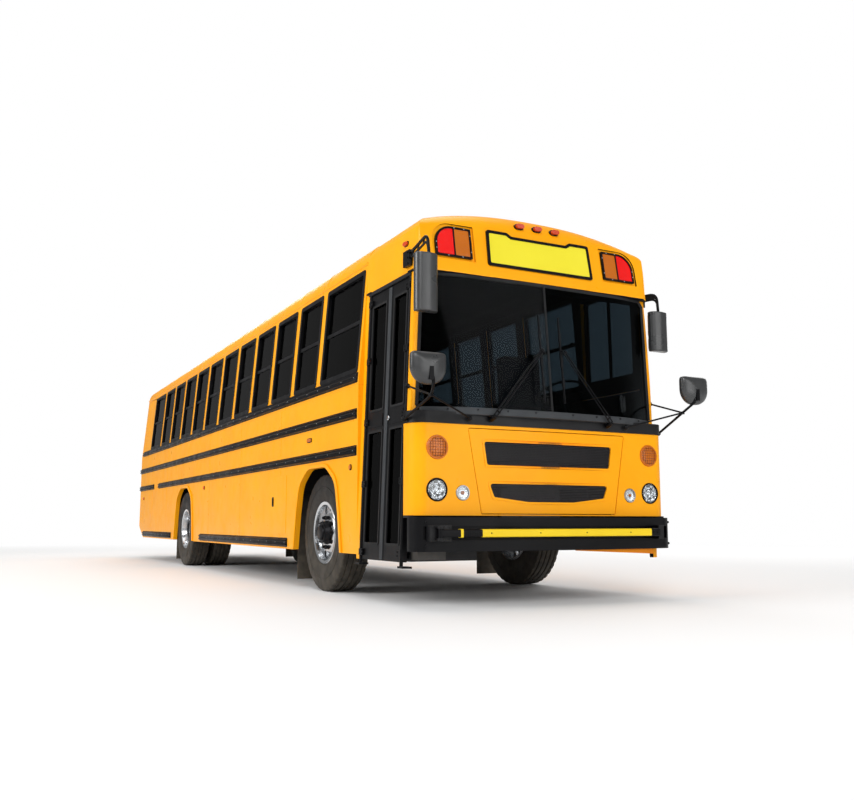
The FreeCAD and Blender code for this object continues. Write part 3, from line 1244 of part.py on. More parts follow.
def dashboard():
    """Dashboard across the cab with the driver's console."""
    half = HALF_W - 130
    x0 = -STEP_CLEAR_X
    front = PILLAR_FRONT_Y + WALL + 2
    block = plate("yz", [(front, 1120), (front + 300, 1180), (front + 280, 1420), (front + 20, 1490),
                         (front, 1470)], x0, half)
    return block.cut(box((-ENGINE_X - 45, ENGINE_X + 45), (ENGINE_Y[0] - 25, 2000), (900, 1505)))


def column_axis():
    """Unit vector up the steering column."""
    return (V(*WHEEL_CENTRE) - V(*COLUMN_FOOT)).normalize()


def steering_column():
    """Column from the floor to the steering wheel's hub."""
    end = V(*WHEEL_CENTRE) - column_axis() * (20 + FIT)
    column = bar(COLUMN_FOOT, tuple(end), 32)
    return column.cut(box((0, HALF_W), (-500, 1000), (500, FLOOR_Z)))


def steering_wheel():
    """Rim, three spokes and hub, turning on the column."""
    axis = column_axis()
    centre = V(*WHEEL_CENTRE)
    low = tuple(centre - axis * 12)
    high = tuple(centre + axis * 12)
    rim = bar(low, high, WHEEL_R + 14, 16).cut(bar(low, high, WHEEL_R - 14, 16))
    hub = bar(tuple(centre - axis * 14), tuple(centre + axis * 20), 46)
    shaft = rod(centre - axis * 20, centre - axis * 13, 16)
    side = V(1, 0, 0)
    up = axis.cross(side)
    spokes = []
    for angle in (90, 210, 330):
        turn = math.radians(angle)
        way = side * math.cos(turn) + up * math.sin(turn)
        spokes.append(bar(tuple(centre + way * 40), tuple(centre + way * WHEEL_R), 9, 4))
    return joined([rim, hub, shaft] + spokes)


def seat(x0, x1, y):
    """Bench cushion, high padded back and leg frame."""
    low = FLOOR_Z + 330
    top = FLOOR_Z + 1040
    cushion = box((x0, x1), (y, y + 400), (low, low + 110))
    back = plate("yz", [(y + 400, low), (y + 460, low), (y + 520, top), (y + 450, top), (y + 400, low + 110)], x0, x1)
    middle = (x0 + x1) / 2
    legs = box((middle - 160, middle + 160), (y + 150, y + 300), (FLOOR_Z, low))
    return group([cushion, back, legs])


def passenger_seats():
    """Benches in rows on both sides of the aisle, clear of the wheel boxes."""
    seats = []
    for side in (-1, 1):
        for row in range(SEAT_ROWS):
            y = SEAT_FIRST_Y + row * SEAT_PITCH
            shape = seat(SEAT_X[0], SEAT_X[1], y)
            if REAR_ARCH_Y - ARCH_FOOT - 500 < y < REAR_ARCH_Y + ARCH_FOOT + 40:
                shape = shape.cut(box((REAR_BOX_X - 6, HALF_W), (REAR_ARCH_Y - ARCH_FOOT - 40, REAR_ARCH_Y + ARCH_FOOT + 40),
                                      (FLOOR_Z - 1, WHEEL_BOX_TOP_Z + FIT)))
            seats.append(shape if side > 0 else mirrored(shape))
    return group(seats)


def driver_seat():
    """Driver's seat on its pedestal."""
    x0, x1 = STEERING_X - 250, STEERING_X + 250
    y = 640.0
    cushion = plate("yz", chamfered((y, y + 480), (FLOOR_Z + 390, FLOOR_Z + 520), 30), x0, x1)
    back = plate("yz", [(y + 480, FLOOR_Z + 430), (y + 560, FLOOR_Z + 430), (y + 640, FLOOR_Z + 1260),
                        (y + 530, FLOOR_Z + 1260)], x0 + 20, x1 - 20)
    base = box((STEERING_X - 150, STEERING_X + 150), (y + 60, y + 420), (FLOOR_Z, FLOOR_Z + 390))
    return group([cushion, back, base])


def fuel_tank():
    """Fuel tank between the rails behind the rear axle, in its cage."""
    tank = plate("xz", chamfered((-RAIL_X + RAIL_FLANGE + 40, RAIL_X - RAIL_FLANGE - 40), (480, 860), 50), 8700, 9850)
    straps = [box((-RAIL_X + RAIL_T, RAIL_X - RAIL_T), (y, y + 50), (690, 720)) for y in (8900, 9600)]
    return joined([tank] + straps)


def tool_box():
    """Grey box hung from the frame under the kerb end of the nose."""
    case = box((79 - HALF_W, 319 - HALF_W), (-125, -20), (352, 424))
    hanger = box((219 - HALF_W, -RAIL_X), (-120, -60), (424, 470))
    upright = box((-RAIL_X - 40, -RAIL_X), (-120, -60), (470, RAIL_TOP_Z - 40))
    return joined([case, hanger, upright])


def exhaust():
    """Silencer and pipes under the driver's side, out at the rear."""
    x = RAIL_X + 190
    pipes = [bar((x, 2750, 780), (x, 6300, 780), 55)]
    pipes.append(plate("xz", chamfered((x - 140, x + 140), (640, 900), 70), 3900, 5200))
    hangers = [box((RAIL_X, x), (y, y + 40), (RAIL_TOP_Z - 90, RAIL_TOP_Z - 60)) for y in (4100, 5000)]
    return joined(pipes + hangers)


# ================================================================ running gear
def front_axle():
    """Forged beam with an eye for the king pin at each end."""
    eye_z = TYRE_R
    neck_x = KINGPIN_X - 120
    half = [(KINGPIN_X, eye_z - 50), (KINGPIN_X, eye_z + 50), (neck_x, eye_z + 40), (KINGPIN_X - 350, eye_z - 30)]
    foot = [(-neck_x, eye_z - 60), (310 - KINGPIN_X, eye_z - 130), (KINGPIN_X - 310, eye_z - 130), (neck_x, eye_z - 60)]
    beam = plate("xz", foot + half + [(-x, z) for x, z in reversed(half)], FRONT_AXLE_Y - 50, FRONT_AXLE_Y + 50)
    pieces = [beam]
    for side in (-1, 1):
        x = side * KINGPIN_X
        pieces.append(bar((x, FRONT_AXLE_Y, eye_z - 70), (x, FRONT_AXLE_Y, eye_z + 70), 52))
        pad_x = sorted((side * SPRING_X, side * (SPRING_X + SPRING_W)))
        pieces.append(box(pad_x, (FRONT_AXLE_Y - 90, FRONT_AXLE_Y + 90), (eye_z - 60, SPRING_Z_FRONT - 60)))
    axle = joined(pieces)
    for side in (-1, 1):
        x = side * KINGPIN_X
        axle = axle.cut(rod((x, FRONT_AXLE_Y, 300), (x, FRONT_AXLE_Y, 800), KINGPIN_R + RUN_FIT))
    return axle


def leaf_springs():
    """Four packs of leaves, each between its two frame brackets and over its axle."""
    packs = []
    for axle_y, mid_z in ((FRONT_AXLE_Y, SPRING_Z_FRONT), (REAR_AXLE_Y, SPRING_Z_REAR)):
        for side in (-1, 1):
            x = sorted((side * SPRING_X, side * (SPRING_X + SPRING_W)))
            leaves = []
            for i in range(3):
                reach = SPRING_HALF_L - 45 - i * 150
                rise = 0.00008
                outer = []
                for share in (-1.0, 0.0, 1.0):
                    y = share * reach
                    outer.append((axle_y + y, mid_z - i * 13 + rise * y * y))
                top = [(y, z) for y, z in outer]
                foot = [(y, z - 12) for y, z in reversed(outer)]
                leaves.append(plate("yz", top + foot, *x))
            leaves.append(box(x, (axle_y - 60, axle_y + 60), (mid_z - 60, mid_z + 14)))
            packs.append(joined(leaves))
    return group(packs)


def knuckle(side):
    """Fork over the axle's eye, king pin, spindle and steering arm."""
    x = side * KINGPIN_X
    z = TYRE_R
    y = FRONT_AXLE_Y
    gap = 70 + FIT
    fork = [(x - side * 45, z - 112), (x + side * 92, z - 112), (x + side * 92, z + 112), (x - side * 45, z + 112),
            (x - side * 45, z + gap), (x + side * 62, z + gap), (x + side * 62, z - gap), (x - side * 45, z - gap)]
    pin = rod((x, y, z - gap - 1), (x, y, z + gap + 1), KINGPIN_R)
    spindle = rod((x + side * 91, y, z), (side * (FRONT_TRACK_X + 40), y, z), SPINDLE_R)
    arm = box(sorted((x - side * 30, x + side * 20)), (y, y + 210), (z - 112, z - 84))
    return joined([plate("xz", fork, y - 45, y + 45), pin, spindle, arm])


def tyre(x, y):
    """Road tyre: flat tread, one bevel at each shoulder, closed on its rim."""
    half = TYRE_W / 2
    bead = half - 28
    profile = [(-bead, RIM_R), (-half, TYRE_R - SHOULDER), (-half + SHOULDER * 0.7, TYRE_R),
               (half - SHOULDER * 0.7, TYRE_R), (half, TYRE_R - SHOULDER), (bead, RIM_R)]
    return turned(profile, x, y, TYRE_R, WHEEL_SIDES)


def rim_band(x, y):
    """Rolled band under one tyre."""
    half = TYRE_W / 2 - 28
    return turned([(-half, RIM_R), (-half, RIM_R - 18), (half, RIM_R - 18), (half, RIM_R)], x, y, TYRE_R, WHEEL_SIDES)


def wheel_disc(x, y, side):
    """Flat wheel disc with its ring of hand holes, from x outward."""
    low, high = sorted((x, x + side * DISC_T))
    plain = disc(low, high, y, TYRE_R, RIM_R - 12, WHEEL_SIDES)
    for i in range(HAND_HOLES):
        angle = 2 * math.pi * (i + 0.5) / HAND_HOLES
        hole_y = y + HAND_HOLE_RING * math.sin(angle)
        hole_z = TYRE_R + HAND_HOLE_RING * math.cos(angle)
        plain = plain.cut(disc(low - 1, high + 1, hole_y, hole_z, HAND_HOLE_R, 4))
    return plain


def front_rim(side):
    """Front disc wheel: band, disc set well outboard, nut circle, hub and cap."""
    x = side * FRONT_TRACK_X
    pieces = [rim_band(x, FRONT_AXLE_Y), wheel_disc(x + side * 58, FRONT_AXLE_Y, side)]
    pieces.append(disc(x - side * 40, x + side * 92, FRONT_AXLE_Y, TYRE_R, NUT_CIRCLE_R))
    pieces.append(disc(x + side * 91, x + side * 150, FRONT_AXLE_Y, TYRE_R, HUB_R, 8))
    pieces.append(disc(x + side * 149, x + side * 168, FRONT_AXLE_Y, TYRE_R, HUB_R * 0.6, 8))
    bore = rod((x - side * 50, FRONT_AXLE_Y, TYRE_R), (x + side * 42, FRONT_AXLE_Y, TYRE_R), SPINDLE_R + RUN_FIT)
    return joined(pieces).cut(bore)


def rear_rims(side):
    """Dual wheels: both discs meet between the tyres, on one hub."""
    outer = side * DUAL_OUTER_X
    inner = side * (DUAL_OUTER_X - DUAL_SPACING)
    middle = (outer + inner) / 2
    pieces = [rim_band(outer, REAR_AXLE_Y), rim_band(inner, REAR_AXLE_Y)]
    pieces.append(wheel_disc(outer - side * 84, REAR_AXLE_Y, side))
    pieces.append(disc(inner + side * 70, inner + side * 84, REAR_AXLE_Y, TYRE_R, RIM_R - 12, WHEEL_SIDES))
    pieces.append(disc(inner + side * 60, outer - side * 60, REAR_AXLE_Y, TYRE_R, NUT_CIRCLE_R))
    pieces.append(disc(inner - side * 60, outer + side * 20, REAR_AXLE_Y, TYRE_R, HUB_R, 8))
    pieces.append(disc(outer + side * 19, outer + side * 60, REAR_AXLE_Y, TYRE_R, HUB_R * 0.8, 8))
    bore = rod((inner - side * 70, REAR_AXLE_Y, TYRE_R), (middle + side * 60, REAR_AXLE_Y, TYRE_R), SPINDLE_R + RUN_FIT)
    return joined(pieces).cut(bore)


def rear_tyres(side):
    """Outer and inner tyre of one side."""
    return group([tyre(side * x, REAR_AXLE_Y) for x in (DUAL_OUTER_X, DUAL_OUTER_X - DUAL_SPACING)])


def rear_axle():
    """Drive axle housing with its stub tubes, spring pads and propeller shaft."""
    reach = DUAL_OUTER_X - DUAL_SPACING / 2
    tube_end = DUAL_OUTER_X - DUAL_SPACING - 66
    tube = disc(-tube_end, tube_end, REAR_AXLE_Y, TYRE_R, 74, 8)
    stub = rod((-reach - 56, REAR_AXLE_Y, TYRE_R), (reach + 56, REAR_AXLE_Y, TYRE_R), SPINDLE_R)
    bowl = disc(-110, 110, REAR_AXLE_Y, TYRE_R, 195, 10)
    nose = bar((0, REAR_AXLE_Y - 330, TYRE_R + 40), (0, REAR_AXLE_Y, TYRE_R), 90)
    shaft = bar((0, ENGINE_Y[1] + 625, 760), (0, REAR_AXLE_Y - 320, TYRE_R + 40), 50, 6)
    pads = []
    for side in (-1, 1):
        x = sorted((side * SPRING_X, side * (SPRING_X + SPRING_W)))
        pads.append(box(x, (REAR_AXLE_Y - 90, REAR_AXLE_Y + 90), (TYRE_R, SPRING_Z_REAR - 60)))
    return joined([tube, stub, bowl, nose, shaft] + pads)


def mud_flaps():
    """Rubber flaps hanging behind the front and rear wheels from the floor's edge."""
    flaps = []
    for arch_y, inner_x in ((FRONT_ARCH_Y, FRONT_TRACK_X - 130), (REAR_ARCH_Y, DUAL_OUTER_X - 452)):
        y = arch_y + ARCH_FOOT + 40
        flap = box((inner_x, HALF_W - WALL - 9), (y, y + 10), (75, FLOOR_Z - FLOOR_T))
        flaps += [flap, mirrored(flap)]
    return group(flaps)


# ================================================================ roof hatches
def roof_hatch(y):
    """Raised escape hatch cover with its hinge barrel at the front edge."""
    half = HATCH_SIDE / 2
    cover = plate("xy", chamfered((-half, half), (y - half, y + half), 40), ROOF_Z + 12, ROOF_Z + 52)
    z = HATCH_HINGE_Z
    hinge_y = y - half - HATCH_HINGE_SET
    barrel = rod((-80, hinge_y, z), (80, hinge_y, z), HATCH_HINGE_R)
    tab = box((-80, 80), (hinge_y, y - half + 10), (z - 5, z + 5))
    return joined([cover, barrel, tab])


def hatch_frames():
    """Kerbs under the hatch covers, seated on the roof, with the outer hinge barrels."""
    frames = []
    half = HATCH_SIDE / 2
    for y in HATCH_YS:
        kerb = plate("xy", chamfered((20 - half, half - 20), (y - half + 20, y + half - 20), 40),
                     ROOF_Z - 26, ROOF_Z + 12 - FIT)
        kerb = kerb.cut(plate("xy", chamfered((45 - half, half - 45), (y - half + 45, y + half - 45), 30),
                              ROOF_Z - 190, ROOF_Z + 210))
        hinge_y = y - half - HATCH_HINGE_SET
        pieces = [kerb]
        for a, b in ((-160, -80 - FIT), (80 + FIT, 160)):
            pieces.append(box((a, b), (hinge_y - HATCH_HINGE_R, hinge_y + HATCH_HINGE_R),
                              (ROOF_Z - 20, HATCH_HINGE_Z + HATCH_HINGE_R)))
            pieces.append(box((a, b), (hinge_y, y - half + 30), (ROOF_Z - 12, ROOF_Z + 2)))
        frame = joined(pieces).cut(body_inner_block(y))
        frames.append(frame)
    return group(frames)


def body_inner_block(y):
    """Everything under the roof's outer face near a hatch."""
    return plate("xz", body_outline(0.0), y - 700, y + 700)


# ================================================================ the parts
PARTS = {
    "chassis_frame": chassis_frame,
    "floor_deck": floor_deck,
    "right_side_panel": lambda: side_panel(-1),
    "left_side_panel": lambda: side_panel(1),
    "right_window_band": lambda: window_band(-1),
    "left_window_band": lambda: window_band(1),
    "roof_skin": lambda: group([roof(), hatch_frames()]),
    "front_cap": front_cap,
    "nose_shell": nose_shell,
    "windscreen_trim": lambda: group([cowl(), windscreen_strip()]),
    "rear_end": lambda: joined([rear_end()] + rear_hinges(False)),
    "body_glass": lambda: group([windscreen_glass(), window_glass(), rear_glass()]),
    "window_frames": window_frames,
    "rub_rails": rub_rails,
    "front_bumper": front_bumper,
    "rear_bumper": rear_bumper,
    "arm_mount": arm_mount,
    "hinge_brackets": lambda: group([stop_mount(), door_pivots()]),
    "front_lamps": front_lamps,
    "warning_lamps": warning_lamps,
    "body_lamps": body_lamps,
    "sign_panels": sign_panels,
    "upper_mirrors": upper_mirrors,
    "crossview_mirrors": crossview_mirrors,
    "wipers": wipers,
    "engine_block": engine_block,
    "engine_cover": engine_cover,
    "dashboard": lambda: group([dashboard(), steering_column()]),
    "seats": lambda: group([driver_seat(), passenger_seats()]),
    "fuel_tank": fuel_tank,
    "tool_box": tool_box,
    "exhaust": exhaust,
    "front_axle": front_axle,
    "rear_axle": rear_axle,
    "leaf_springs": leaf_springs,
    "mud_flaps": mud_flaps,
    "knuckle_right": lambda: knuckle(-1),
    "knuckle_left": lambda: knuckle(1),
    "front_tyre_right": lambda: tyre(-FRONT_TRACK_X, FRONT_AXLE_Y),
    "front_tyre_left": lambda: tyre(FRONT_TRACK_X, FRONT_AXLE_Y),
    "front_rim_right": lambda: front_rim(-1),
    "front_rim_left": lambda: front_rim(1),
    "rear_tyres_right": lambda: rear_tyres(-1),
    "rear_tyres_left": lambda: rear_tyres(1),
    "rear_rims_right": lambda: rear_rims(-1),
    "rear_rims_left": lambda: rear_rims(1),
    "entrance_leaf_front": lambda: door_leaf("front"),
    "entrance_leaf_rear": lambda: door_leaf("rear"),
    "entrance_glass_front": lambda: leaf_glass("front"),
    "entrance_glass_rear": lambda: leaf_glass("rear"),
    "access_panel": access_panel,
    "grille_mesh": grille_mesh,
    "rear_door": rear_door,
    "rear_door_glass": rear_door_glass,
    "stop_arm": stop_arm,
    "crossing_arm": crossing_arm,
    "roof_hatch_front": lambda: roof_hatch(HATCH_YS[0]),
    "roof_hatch_rear": lambda: roof_hatch(HATCH_YS[1]),
    "steering_wheel": steering_wheel,
}


def main():
    """Build every part, slide the bus so that its middle is the origin, and export."""
    os.makedirs("parts", exist_ok=True)
    shapes = {}
    for name, build in PARTS.items():
        shapes[name] = build()
    low = min(shape.BoundBox.YMin for shape in shapes.values())
    high = max(shape.BoundBox.YMax for shape in shapes.values())
    for name, shape in shapes.items():
        shape.translate(V(0, -(low + high) / 2, 0))
        shape.exportStep("parts/" + name + ".step")


main()
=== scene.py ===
"""School bus in the studio: every panel, window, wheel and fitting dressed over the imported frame.

Sizes are in millimetres and are laid out from the front body line (Y = 0) and the road
(Z = 0), with +X the driver's side, -X the kerb side and +Y the rear. The function place
turns them into metres of the frame.
"""
from __future__ import annotations

import json
import logging
import math
from dataclasses import dataclass
from enum import Enum
from typing import Callable, Iterable, Sequence

import bmesh
import bpy
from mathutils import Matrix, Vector
from mathutils.geometry import tessellate_polygon


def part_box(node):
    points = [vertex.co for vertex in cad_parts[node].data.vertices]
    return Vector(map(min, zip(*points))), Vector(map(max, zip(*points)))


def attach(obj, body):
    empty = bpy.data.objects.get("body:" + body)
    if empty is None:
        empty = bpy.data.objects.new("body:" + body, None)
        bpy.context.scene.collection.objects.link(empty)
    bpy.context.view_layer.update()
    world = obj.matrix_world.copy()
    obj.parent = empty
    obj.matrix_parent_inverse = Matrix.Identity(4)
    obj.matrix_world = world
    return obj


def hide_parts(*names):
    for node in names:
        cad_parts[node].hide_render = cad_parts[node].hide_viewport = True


LOG = logging.getLogger("bus")
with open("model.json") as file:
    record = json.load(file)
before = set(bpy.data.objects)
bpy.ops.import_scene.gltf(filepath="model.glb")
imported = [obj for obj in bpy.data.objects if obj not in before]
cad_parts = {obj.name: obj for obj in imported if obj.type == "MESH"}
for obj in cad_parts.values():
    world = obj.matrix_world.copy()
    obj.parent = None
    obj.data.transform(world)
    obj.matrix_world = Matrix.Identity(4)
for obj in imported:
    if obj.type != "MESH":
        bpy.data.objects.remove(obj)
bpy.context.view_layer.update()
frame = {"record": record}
FRONT_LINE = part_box("left_side_panel")[0][1]      # the frame's Y of the front body line
MM = 0.001

Outline = Sequence[tuple]
Span = tuple


def place(x: float, y: float, z: float) -> Vector:
    """Turns body millimetres into a point of the frame in metres.

    Args:
        x: Across the bus.
        y: Behind the front body line.
        z: Above the road.

    Returns:
        The point in metres.
    """
    return Vector((x * MM, y * MM + FRONT_LINE, z * MM))


class Plane(Enum):
    """Planes that outlines are drawn in, as the axes of their two measures and their normal."""

    XY = (0, 1, 2)
    XZ = (0, 2, 1)
    YZ = (1, 2, 0)


def spot(plane: Plane, a: float, b: float, c: float) -> Vector:
    """Point of a plane's two measures and its height along the normal, in millimetres.

    Args:
        plane: Plane of the two measures.
        a: First measure.
        b: Second measure.
        c: Height along the normal.

    Returns:
        The point as (x, y, z).
    """
    point = Vector((0.0, 0.0, 0.0))
    for axis, value in zip(plane.value, (a, b, c)):
        point[axis] = value
    return point


def eased(points: Outline, step: float = 9.0) -> list[tuple]:
    """Rounds each corner of an outline by its own radius.

    Args:
        points: Corners as (a, b) or (a, b, radius).
        step: Degrees that one chord of a rounding turns.

    Returns:
        The outline's points as (a, b).
    """
    count = len(points)
    path: list[tuple] = []
    for i, corner in enumerate(points):
        here = Vector(corner[:2])
        r = corner[2] if len(corner) > 2 else 0.0
        before = (Vector(points[i - 1][:2]) - here).normalized()
        after = (Vector(points[(i + 1) % count][:2]) - here).normalized()
        half = before.angle(after, math.pi) / 2
        turn = math.pi - 2 * half
        if r <= 0 or turn < 1e-3:
            path.append(tuple(here))
            continue
        centre = here + (before + after).normalized() * (r / math.sin(half))
        start = here + before * (r / math.tan(half)) - centre
        end = here + after * (r / math.tan(half)) - centre
        side = (end - start * math.cos(turn)) / math.sin(turn)
        steps = max(2, math.ceil(math.degrees(turn) / step))
        for k in range(steps + 1):
            angle = turn * k / steps
            path.append(tuple(centre + start * math.cos(angle) + side * math.sin(angle)))
    return path


def rounded(a: Span, b: Span, r: float, grow: float = 0.0) -> list[tuple]:
    """Rectangle with equal round corners.

    Args:
        a: Low and high of the first measure.
        b: Low and high of the second measure.
        r: Corner radius.
        grow: Distance by which every side stands further out.

    Returns:
        The outline's points.
    """
    (a0, a1), (b0, b1) = ((low - grow, high + grow) for low, high in (a, b))
    return eased([(a0, b0, r), (a1, b0, r), (a1, b1, r), (a0, b1, r)])


def circle(a: float, b: float, r: float, sides: int = 32) -> list[tuple]:
    """Round outline.

    Args:
        a: Middle in the first measure.
        b: Middle in the second measure.
        r: Radius.
        sides: Number of chords.

    Returns:
        The outline's points.
    """
    turns = [2 * math.pi * i / sides for i in range(sides)]
    return [(a + r * math.cos(t), b + r * math.sin(t)) for t in turns]


def bulge(offset: float, depth: float, r: float, steps: int = 8) -> list[tuple]:
    """Profile of a bulged lens or dome, from its crown to its rim.

    Args:
        offset: Offset of the rim along the axis.
        depth: How far the crown stands past the rim.
        r: Radius of the rim.
        steps: Number of chords.

    Returns:
        The points as (offset, radius).
    """
    turns = [math.pi / 2 * k / steps for k in range(steps + 1)]
    return [(offset + depth * math.cos(t), r * math.sin(t)) for t in turns]


def about(middle: float, half: float) -> Span:
    """Low and high of a span that reaches as far to both sides of its middle."""
    return middle - half, middle + half


def spread(side: int, near: float, far: float) -> Span:
    """Low and high X of a span drawn on the driver's side and put on either side.

    Args:
        side: Sign of X.
        near: End nearer the middle of the bus.
        far: Other end.

    Returns:
        The two ends in rising order.
    """
    return tuple(sorted((side * near, side * far)))


def bands(rings: int, count: int) -> list[tuple]:
    """Four-sided faces between neighbouring rings of points.

    Args:
        rings: Number of rings.
        count: Points in each ring.

    Returns:
        Rows of indices.
    """
    return [(i * count + k, i * count + (k + 1) % count, (i + 1) * count + (k + 1) % count, (i + 1) * count + k)
            for i in range(rings - 1) for k in range(count)]


def caps(rings: int, count: int) -> list[tuple]:
    """Faces that close the first and the last of some rings.

    Args:
        rings: Number of rings.
        count: Points in each ring.

    Returns:
        Rows of indices.
    """
    return [tuple(range(count)), tuple(range((rings - 1) * count, rings * count))]


# ---------------------------------------------------------------- materials
WHITE = (1.0, 1.0, 1.0, 1.0)


def linear(code: str) -> tuple:
    """Turns an sRGB hex colour into linear light.

    Args:
        code: Six hex digits after a hash.

    Returns:
        Red, green, blue and 1.
    """
    parts = [int(code[i:i + 2], 16) / 255 for i in (1, 3, 5)]
    return tuple(c / 12.92 if c <= 0.04045 else ((c + 0.055) / 1.055) ** 2.4 for c in parts) + (1.0,)


def add_node(tree: bpy.types.NodeTree, kind: str, links: dict | None = None, **settings) -> bpy.types.Node:
    """Adds a node, sets it and links its inputs.

    Args:
        tree: Tree that gets the node.
        kind: Node type without its ShaderNode prefix.
        links: Output sockets by the name or number of the input that each feeds.
        settings: Properties of the node, or values of inputs by name with spaces as underscores.

    Returns:
        The new node.
    """
    node = tree.nodes.new("ShaderNode" + kind)
    for name, value in settings.items():
        socket = node.inputs.get(name.replace("_", " "))
        if hasattr(node, name):
            setattr(node, name, value)
        elif socket is not None:
            socket.default_value = value
        else:
            raise KeyError(kind + " has no " + name)
    for name, source in (links or {}).items():
        tree.links.new(source, node.inputs[name])
    return node


def start_material(name: str) -> tuple:
    """Starts a material whose node tree holds only the coordinates of the object, in metres.

    Args:
        name: Name of the material.

    Returns:
        The material, its tree and the socket of the coordinates.
    """
    material = bpy.data.materials.new(name)
    material.use_nodes = True
    tree = material.node_tree
    tree.nodes.clear()
    return material, tree, add_node(tree, "TexCoord").outputs["Object"]


class Grain(Enum):
    """Small relief that a way of making leaves on a surface."""

    PEEL = "orange peel of sprayed enamel"
    PEBBLE = "pebbled skin of moulded plastic or vinyl"
    SAND = "skin of sand casting, forging or rubber"
    BRUSHED = "straight lines of brushing or rolling"
    RIBBED = "parallel ribs"
    PRISM = "square prisms of a lamp lens"


@dataclass(frozen=True)
class Finish:
    """Surface of one real material, made one way.

    Attributes:
        name: Name of the material and how it was made.
        slot: Slot of the record that it stands for.
        shade: Main colour as sRGB hex.
        deep: Second colour, that the first drifts to, as sRGB hex.
        grain: Kind of small relief.
        grain_mm: Real size of one grain, rib or prism.
        relief: Strength of the relief, 0 to 1.
        metallic: 1 for bare metal.
        rough: Roughness of the surface.
        coat: Weight of a clear coat.
        clear: Share of light that passes through.
        dust: Weight of road dust near the ground.
        glow: Strength of light that a lens gives back to the eye.
        shine: Strength of its mirror-like share.
    """

    name: str
    slot: str
    shade: str
    deep: str
    grain: Grain
    grain_mm: float
    relief: float
    metallic: float = 0.0
    rough: float = 0.4
    coat: float = 0.0
    clear: float = 0.0
    dust: float = 0.0
    glow: float = 0.0
    shine: float = 0.3

    def material(self) -> bpy.types.Material:
        """Builds the material once and gives it back after that."""
        known = bpy.data.materials.get(self.name)
        if known:
            return known
        material, tree, where = start_material(self.name)
        colour = self._colour(tree, where)
        rough = self._roughness(tree, where)
        height = self._height(tree, where)
        bump = add_node(tree, "Bump", {"Height": height}, Strength=self.relief, Distance=self.grain_mm * MM * 0.5)
        shader = add_node(
            tree, "BsdfPrincipled", {"Base Color": colour, "Roughness": rough, "Normal": bump.outputs[0]},
            Metallic=self.metallic, Coat_Weight=self.coat, Coat_Roughness=0.06,
            Transmission_Weight=self.clear, Specular_IOR_Level=self.shine,
        )
        if self.glow > 0:
            tree.links.new(colour, shader.inputs["Emission Color"])
            shader.inputs["Emission Strength"].default_value = self.glow
        add_node(tree, "OutputMaterial", {"Surface": shader.outputs[0]})
        return material

    def _colour(self, tree: bpy.types.NodeTree, where: bpy.types.NodeSocket) -> bpy.types.NodeSocket:
        """Main colour drifting to the second one, under road dust.

        Args:
            tree: Tree of the material.
            where: Position in metres.

        Returns:
            The colour.
        """
        drift = add_node(tree, "TexNoise", {"Vector": where}, Scale=1.7, Detail=4.0, Roughness=0.6)
        fade = add_node(tree, "MapRange", {"Value": drift.outputs[0]}, From_Min=0.35, From_Max=0.75)
        blend = add_node(tree, "Mix", {"Factor": fade.outputs[0]}, data_type="RGBA")
        blend.inputs[6].default_value = linear(self.shade)
        blend.inputs[7].default_value = linear(self.deep)
        colour = blend.outputs[2]
        if self.dust > 0:
            height = add_node(tree, "SeparateXYZ", {"Vector": where}).outputs[2]
            low = add_node(tree, "MapRange", {"Value": height}, From_Min=1.1, From_Max=0.15, To_Max=self.dust)
            spots = add_node(tree, "TexNoise", {"Vector": where}, Scale=14.0, Detail=6.0)
            share = add_node(tree, "Math", {0: low.outputs[0], 1: spots.outputs[0]}, operation="MULTIPLY")
            dusty = add_node(tree, "Mix", {"Factor": share.outputs[0], 6: colour}, data_type="RGBA")
            dusty.inputs[7].default_value = linear("#8A7F6E")
            colour = dusty.outputs[2]
        return colour

    def _roughness(self, tree: bpy.types.NodeTree, where: bpy.types.NodeSocket) -> bpy.types.NodeSocket:
        """Roughness that wanders a little, as handling and washing leave it.

        Args:
            tree: Tree of the material.
            where: Position in metres.

        Returns:
            The roughness.
        """
        wear = add_node(tree, "TexNoise", {"Vector": where}, Scale=6.0, Detail=5.0)
        wander = 0.25 * self.rough
        return add_node(tree, "MapRange", {"Value": wear.outputs[0]}, From_Min=0.3, From_Max=0.7,
                        To_Min=self.rough - wander, To_Max=self.rough + wander).outputs[0]

    def _height(self, tree: bpy.types.NodeTree, where: bpy.types.NodeSocket) -> bpy.types.NodeSocket:
        """Relief of the grain at its real size.

        Args:
            tree: Tree of the material.
            where: Position in metres.

        Returns:
            The height, 0 to 1.
        """
        scale = 1.0 / (self.grain_mm * MM)
        if self.grain is Grain.PEBBLE:
            return add_node(tree, "TexVoronoi", {"Vector": where}, Scale=scale, feature="SMOOTH_F1").outputs[0]
        if self.grain is Grain.RIBBED:
            # one wave of the texture is a rib, 2 pi / 10 of its scale
            return add_node(tree, "TexWave", {"Vector": where}, Scale=scale * 0.314, bands_direction="Y").outputs[1]
        if self.grain is Grain.PRISM:
            cells = add_node(tree, "TexVoronoi", {"Vector": where}, Scale=scale, distance="CHEBYCHEV", Randomness=0.0)
            return cells.outputs[0]
        if self.grain is Grain.BRUSHED:
            stretch = add_node(tree, "Mapping", {"Vector": where}, Scale=(scale, scale * 0.04, scale))
            return add_node(tree, "TexNoise", {"Vector": stretch.outputs[0]}, Scale=1.0, Detail=2.0).outputs[0]
        detail = 1.0 if self.grain is Grain.PEEL else 6.0
        return add_node(tree, "TexNoise", {"Vector": where}, Scale=scale, Detail=detail).outputs[0]


